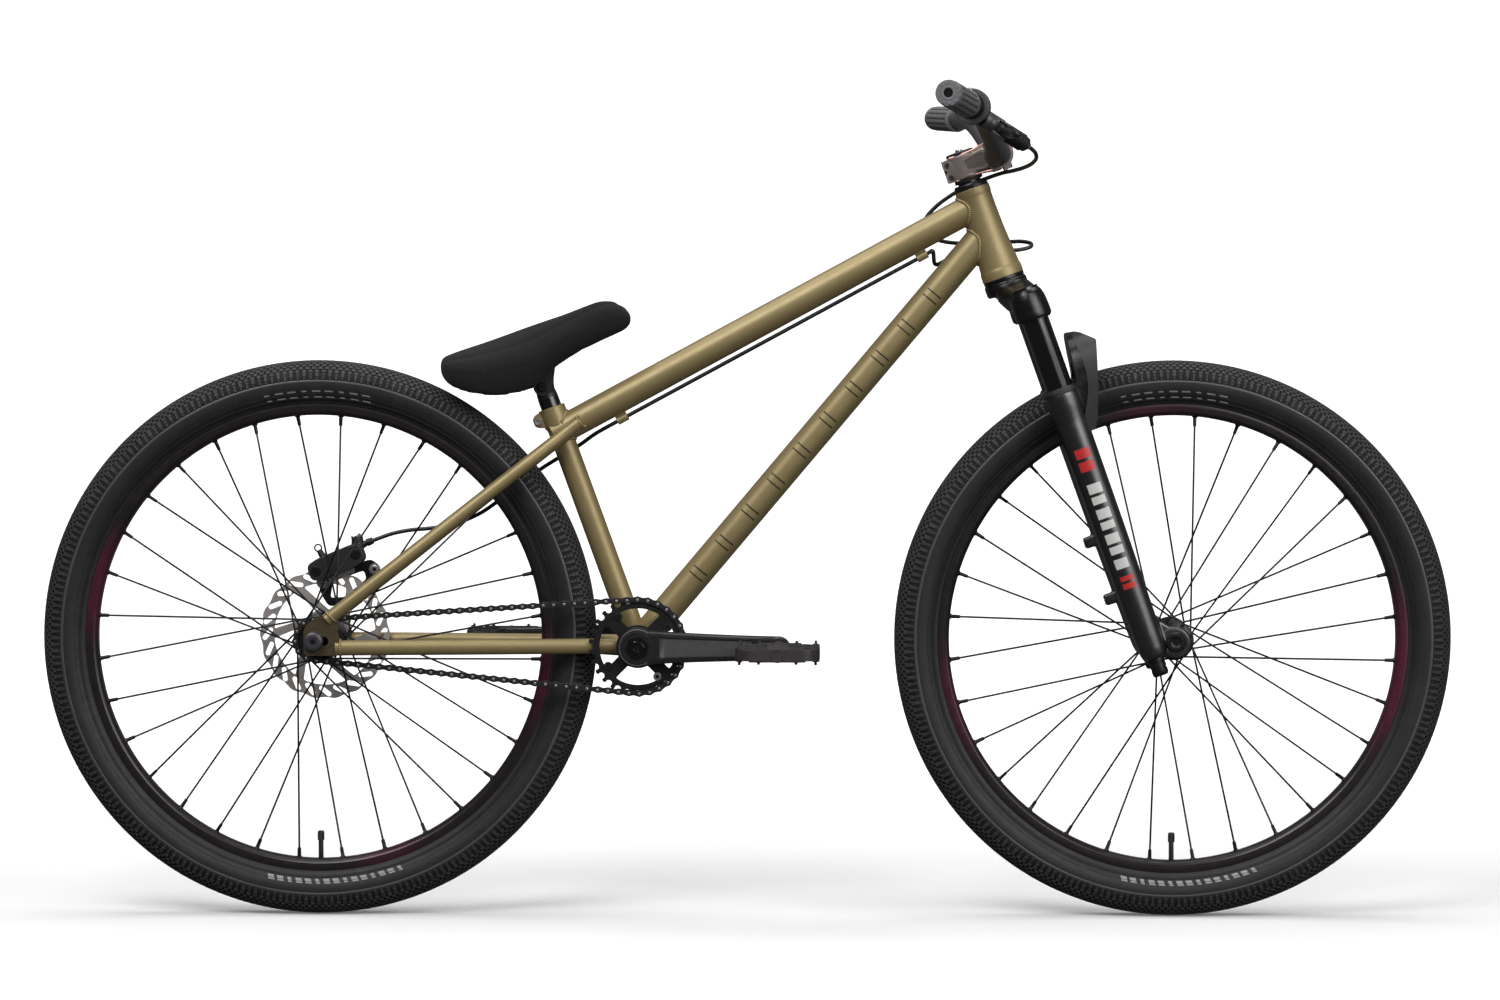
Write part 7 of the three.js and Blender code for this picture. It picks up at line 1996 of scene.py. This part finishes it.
# pedals
for nm, sg, fw in (("right", -1, 1), ("left", 1, -1)):
    cx, cz = BB[0] + fw * CRANK, BB[1]
    Y0, Y1 = 91, 194
    PM = Matrix.Translation((cx, 0, cz))
    outl = rp([(-34, Y0), (34, Y0), (49.5, Y0 + 15), (50, Y0 + 40), (50, Y1 - 32), (48.5, Y1 - 13), (37, Y1), (-37, Y1), (-48.5, Y1 - 13), (-50, Y1 - 32), (-50, Y0 + 40), (-49.5, Y0 + 15)], [6, 6, 5, 8, 8, 5, 7, 7, 5, 8, 8, 5], 6)
    wins = []
    for s in (-1, 1):
        wins.append(rp([(s * 13, Y0 + 16), (s * 38, Y0 + 18), (s * 40, Y0 + 47), (s * 13, Y0 + 47)], 5, 5))
        wins.append(rp([(s * 13, Y0 + 55), (s * 40, Y0 + 55), (s * 38.5, Y1 - 15), (s * 13, Y1 - 14)], 5, 5))
    fl = lambda pts: [(x, sg * y) for x, y in pts]
    g = Geo()
    g.plate(fl(outl), -6.6, 6.6, [fl(w) for w in wins], M=PM)
    # raised rails fore and aft
    for s in (-1, 1):
        rail = rp([(s * 41, Y0 + 12), (s * 49.4, Y0 + 17), (s * 49.8, Y1 - 16), (s * 41, Y1 - 9)], 3, 4)
        g.plate(fl(rail), -8, 8, M=PM)
    g.plate(fl(rp([(-30, Y1 - 11), (30, Y1 - 11), (34, Y1 - 1), (-34, Y1 - 1)], 3, 4)), -8, 8, M=PM)
    g.plate(fl(rp([(-28, Y0 + 1), (28, Y0 + 1), (26, Y0 + 12), (-26, Y0 + 12)], 3, 4)), -8, 8, M=PM)
    piece("pedal_%s_cage" % nm, g, "pedal_" + nm, PEDAL, "pedal_" + nm, bevel=0.9)
    g = Geo()
    prof = [(6.4, Y0 - 0.5), (9.6, Y0 - 0.5), (9.8, Y0 + 0.4), (9.0, Y0 + 18), (8.6, Y1 - 14), (8.6, Y1 - 1), (8.0, Y1 + 0.4), (6.6, Y1 + 0.5), (6.4, Y1 - 2)]
    g.lathe([(r, sg * y) for r, y in prof], 48, M=YAX(cx, cz), ring=True)
    g.mat = 1
    g.lathe([(0, sg * (Y1 - 1.5)), (6.4, sg * (Y1 - 1.5)), (6.2, sg * (Y1 - 0.4)), (0, sg * (Y1 - 0.4))], 36, M=YAX(cx, cz))
    # traction pins with their hex bases, three along each edge and four inboard, on both faces
    g.mat = 2
    for px, py in [(s * 45, y) for s in (-1, 1) for y in (Y0 + 22, (Y0 + Y1) / 2, Y1 - 20)] + [(s * 22, y) for s in (-1, 1) for y in (Y0 + 7, Y1 - 6)]:
        for dz in (-1, 1):
            M = PM @ Matrix.Translation((px, sg * py, 0)) @ (I4 if dz > 0 else Matrix.Rotation(pi, 4, "X"))
            g.lathe([(0, 6), (2.9, 6), (2.9, 8.6), (0, 8.6)], 6, M=M)
            top_ = 12.4 if abs(px) > 40 else 10.8
            g.lathe([(0, 8), (1.75, 8), (1.75, 9), (1.6, 9.3), (1.75, 9.6), (1.6, 10.0), (1.75, 10.4), (1.6, 10.8 if top_ > 11 else 10.5), (1.5, top_ - 0.3), (1.2, top_), (0, top_)], 16, M=M)
    piece("pedal_%s_pins" % nm, g, "pedal_" + nm, [PEDAL, ETCHED_AND_HOLE_SHADE, SATIN_AND_ARCH_LIGHT], None, sharp=30)
    g = Geo()
    prof = [(0, 68.5), (7.1, 68.5), (7.1, 83.6), (8.6, 83.6), (8.6, 89.4), (8.0, 89.9), (6.1, 90.2), (6.1, 182), (0, 182)]
    g.lathe([(r, sg * y) for r, y in prof], 48, M=YAX(cx, cz))
    piece("pedal_%s_axle" % nm, g, "crank", STEEL, "pedal_axle_" + nm, sharp=30)


# ------------------------------------------------------------------ floor, light
def floor_material():
    m = bpy.data.materials.new("studio_floor")
    m.use_nodes = True
    nt = m.node_tree
    sh = nt.nodes["Principled BSDF"]
    tc = nt.nodes.new("ShaderNodeTexCoord")
    nz = nt.nodes.new("ShaderNodeTexNoise")
    nz.inputs["Scale"].default_value = 0.8
    nt.links.new(tc.outputs["Object"], nz.inputs["Vector"])
    r = nt.nodes.new("ShaderNodeValToRGB")
    r.color_ramp.elements[0].color = (0.86, 0.86, 0.86, 1)
    r.color_ramp.elements[1].color = (0.9, 0.9, 0.9, 1)
    nt.links.new(nz.outputs["Fac"], r.inputs["Fac"])
    nt.links.new(r.outputs["Color"], sh.inputs["Base Color"])
    sh.inputs["Roughness"].default_value = 0.7
    sh.inputs["Specular IOR Level"].default_value = 0.2
    # the far part glows a little, so that it stays white behind the bike
    sep = nt.nodes.new("ShaderNodeSeparateXYZ")
    nt.links.new(tc.outputs["Object"], sep.inputs[0])
    em = nt.nodes.new("ShaderNodeMapRange")
    em.inputs["From Min"].default_value = 0.3
    em.inputs["From Max"].default_value = 3.0
    em.inputs["To Min"].default_value = 0.12
    em.inputs["To Max"].default_value = 1.0
    nt.links.new(sep.outputs["Y"], em.inputs["Value"])
    sh.inputs["Emission Color"].default_value = (1, 1, 1, 1)
    nt.links.new(em.outputs[0], sh.inputs["Emission Strength"])
    return m


me = bpy.data.meshes.new("studio")
W, back, rad = 14.0, 7.0, 3.0
prof = [(-9.0, -0.0006)]
for k in range(25):
    a = pi / 2 * k / 24
    prof.append((back - rad + rad * sin(a), rad - rad * cos(a) - 0.0006))
prof.append((back, 9.0))
vs, fs = [], []
for y, z in prof:
    vs += [(-W, y, z), (W, y, z)]
for i in range(len(prof) - 1):
    fs.append((2 * i, 2 * i + 1, 2 * i + 3, 2 * i + 2))
me.from_pydata(vs, [], fs)
me.update()
me.shade_smooth()
me.materials.append(floor_material())
studio = bpy.data.objects.new("studio", me)
scene.collection.objects.link(studio)
studio.visible_glossy = False
studio.visible_diffuse = False


def area(name, loc, target, size, power, size_y=None):
    d = bpy.data.lights.new(name, "AREA")
    d.energy = power
    d.shape = "RECTANGLE"
    d.size = size
    d.size_y = size_y or size
    o = bpy.data.objects.new(name, d)
    scene.collection.objects.link(o)
    o.location = loc
    o.rotation_euler = (Vector(target) - Vector(loc)).to_track_quat("-Z", "Y").to_euler()
    return o


area("key", (2.4, -3.6, 2.6), (0, 0, 0.55), 3.4, 105, 3.0)
area("left", (-1.8, -3.2, 4.0), (0, 0, 0.55), 2.8, 150)
area("top", (0.0, 0.3, 4.2), (0, 0, 0.4), 4.4, 110, 2.4)
panel = area("panel", (3.0, -2.5, 1.35), (0.3, 0, 0.7), 3.0, 34, 2.2)
panel.visible_diffuse = False

world = bpy.data.worlds.new("studio_world")
scene.world = world
world.use_nodes = True
world.node_tree.nodes["Background"].inputs[0].default_value = (0.95, 0.96, 1.0, 1)
world.node_tree.nodes["Background"].inputs[1].default_value = 0.1

scene.view_settings.view_transform = "Standard"
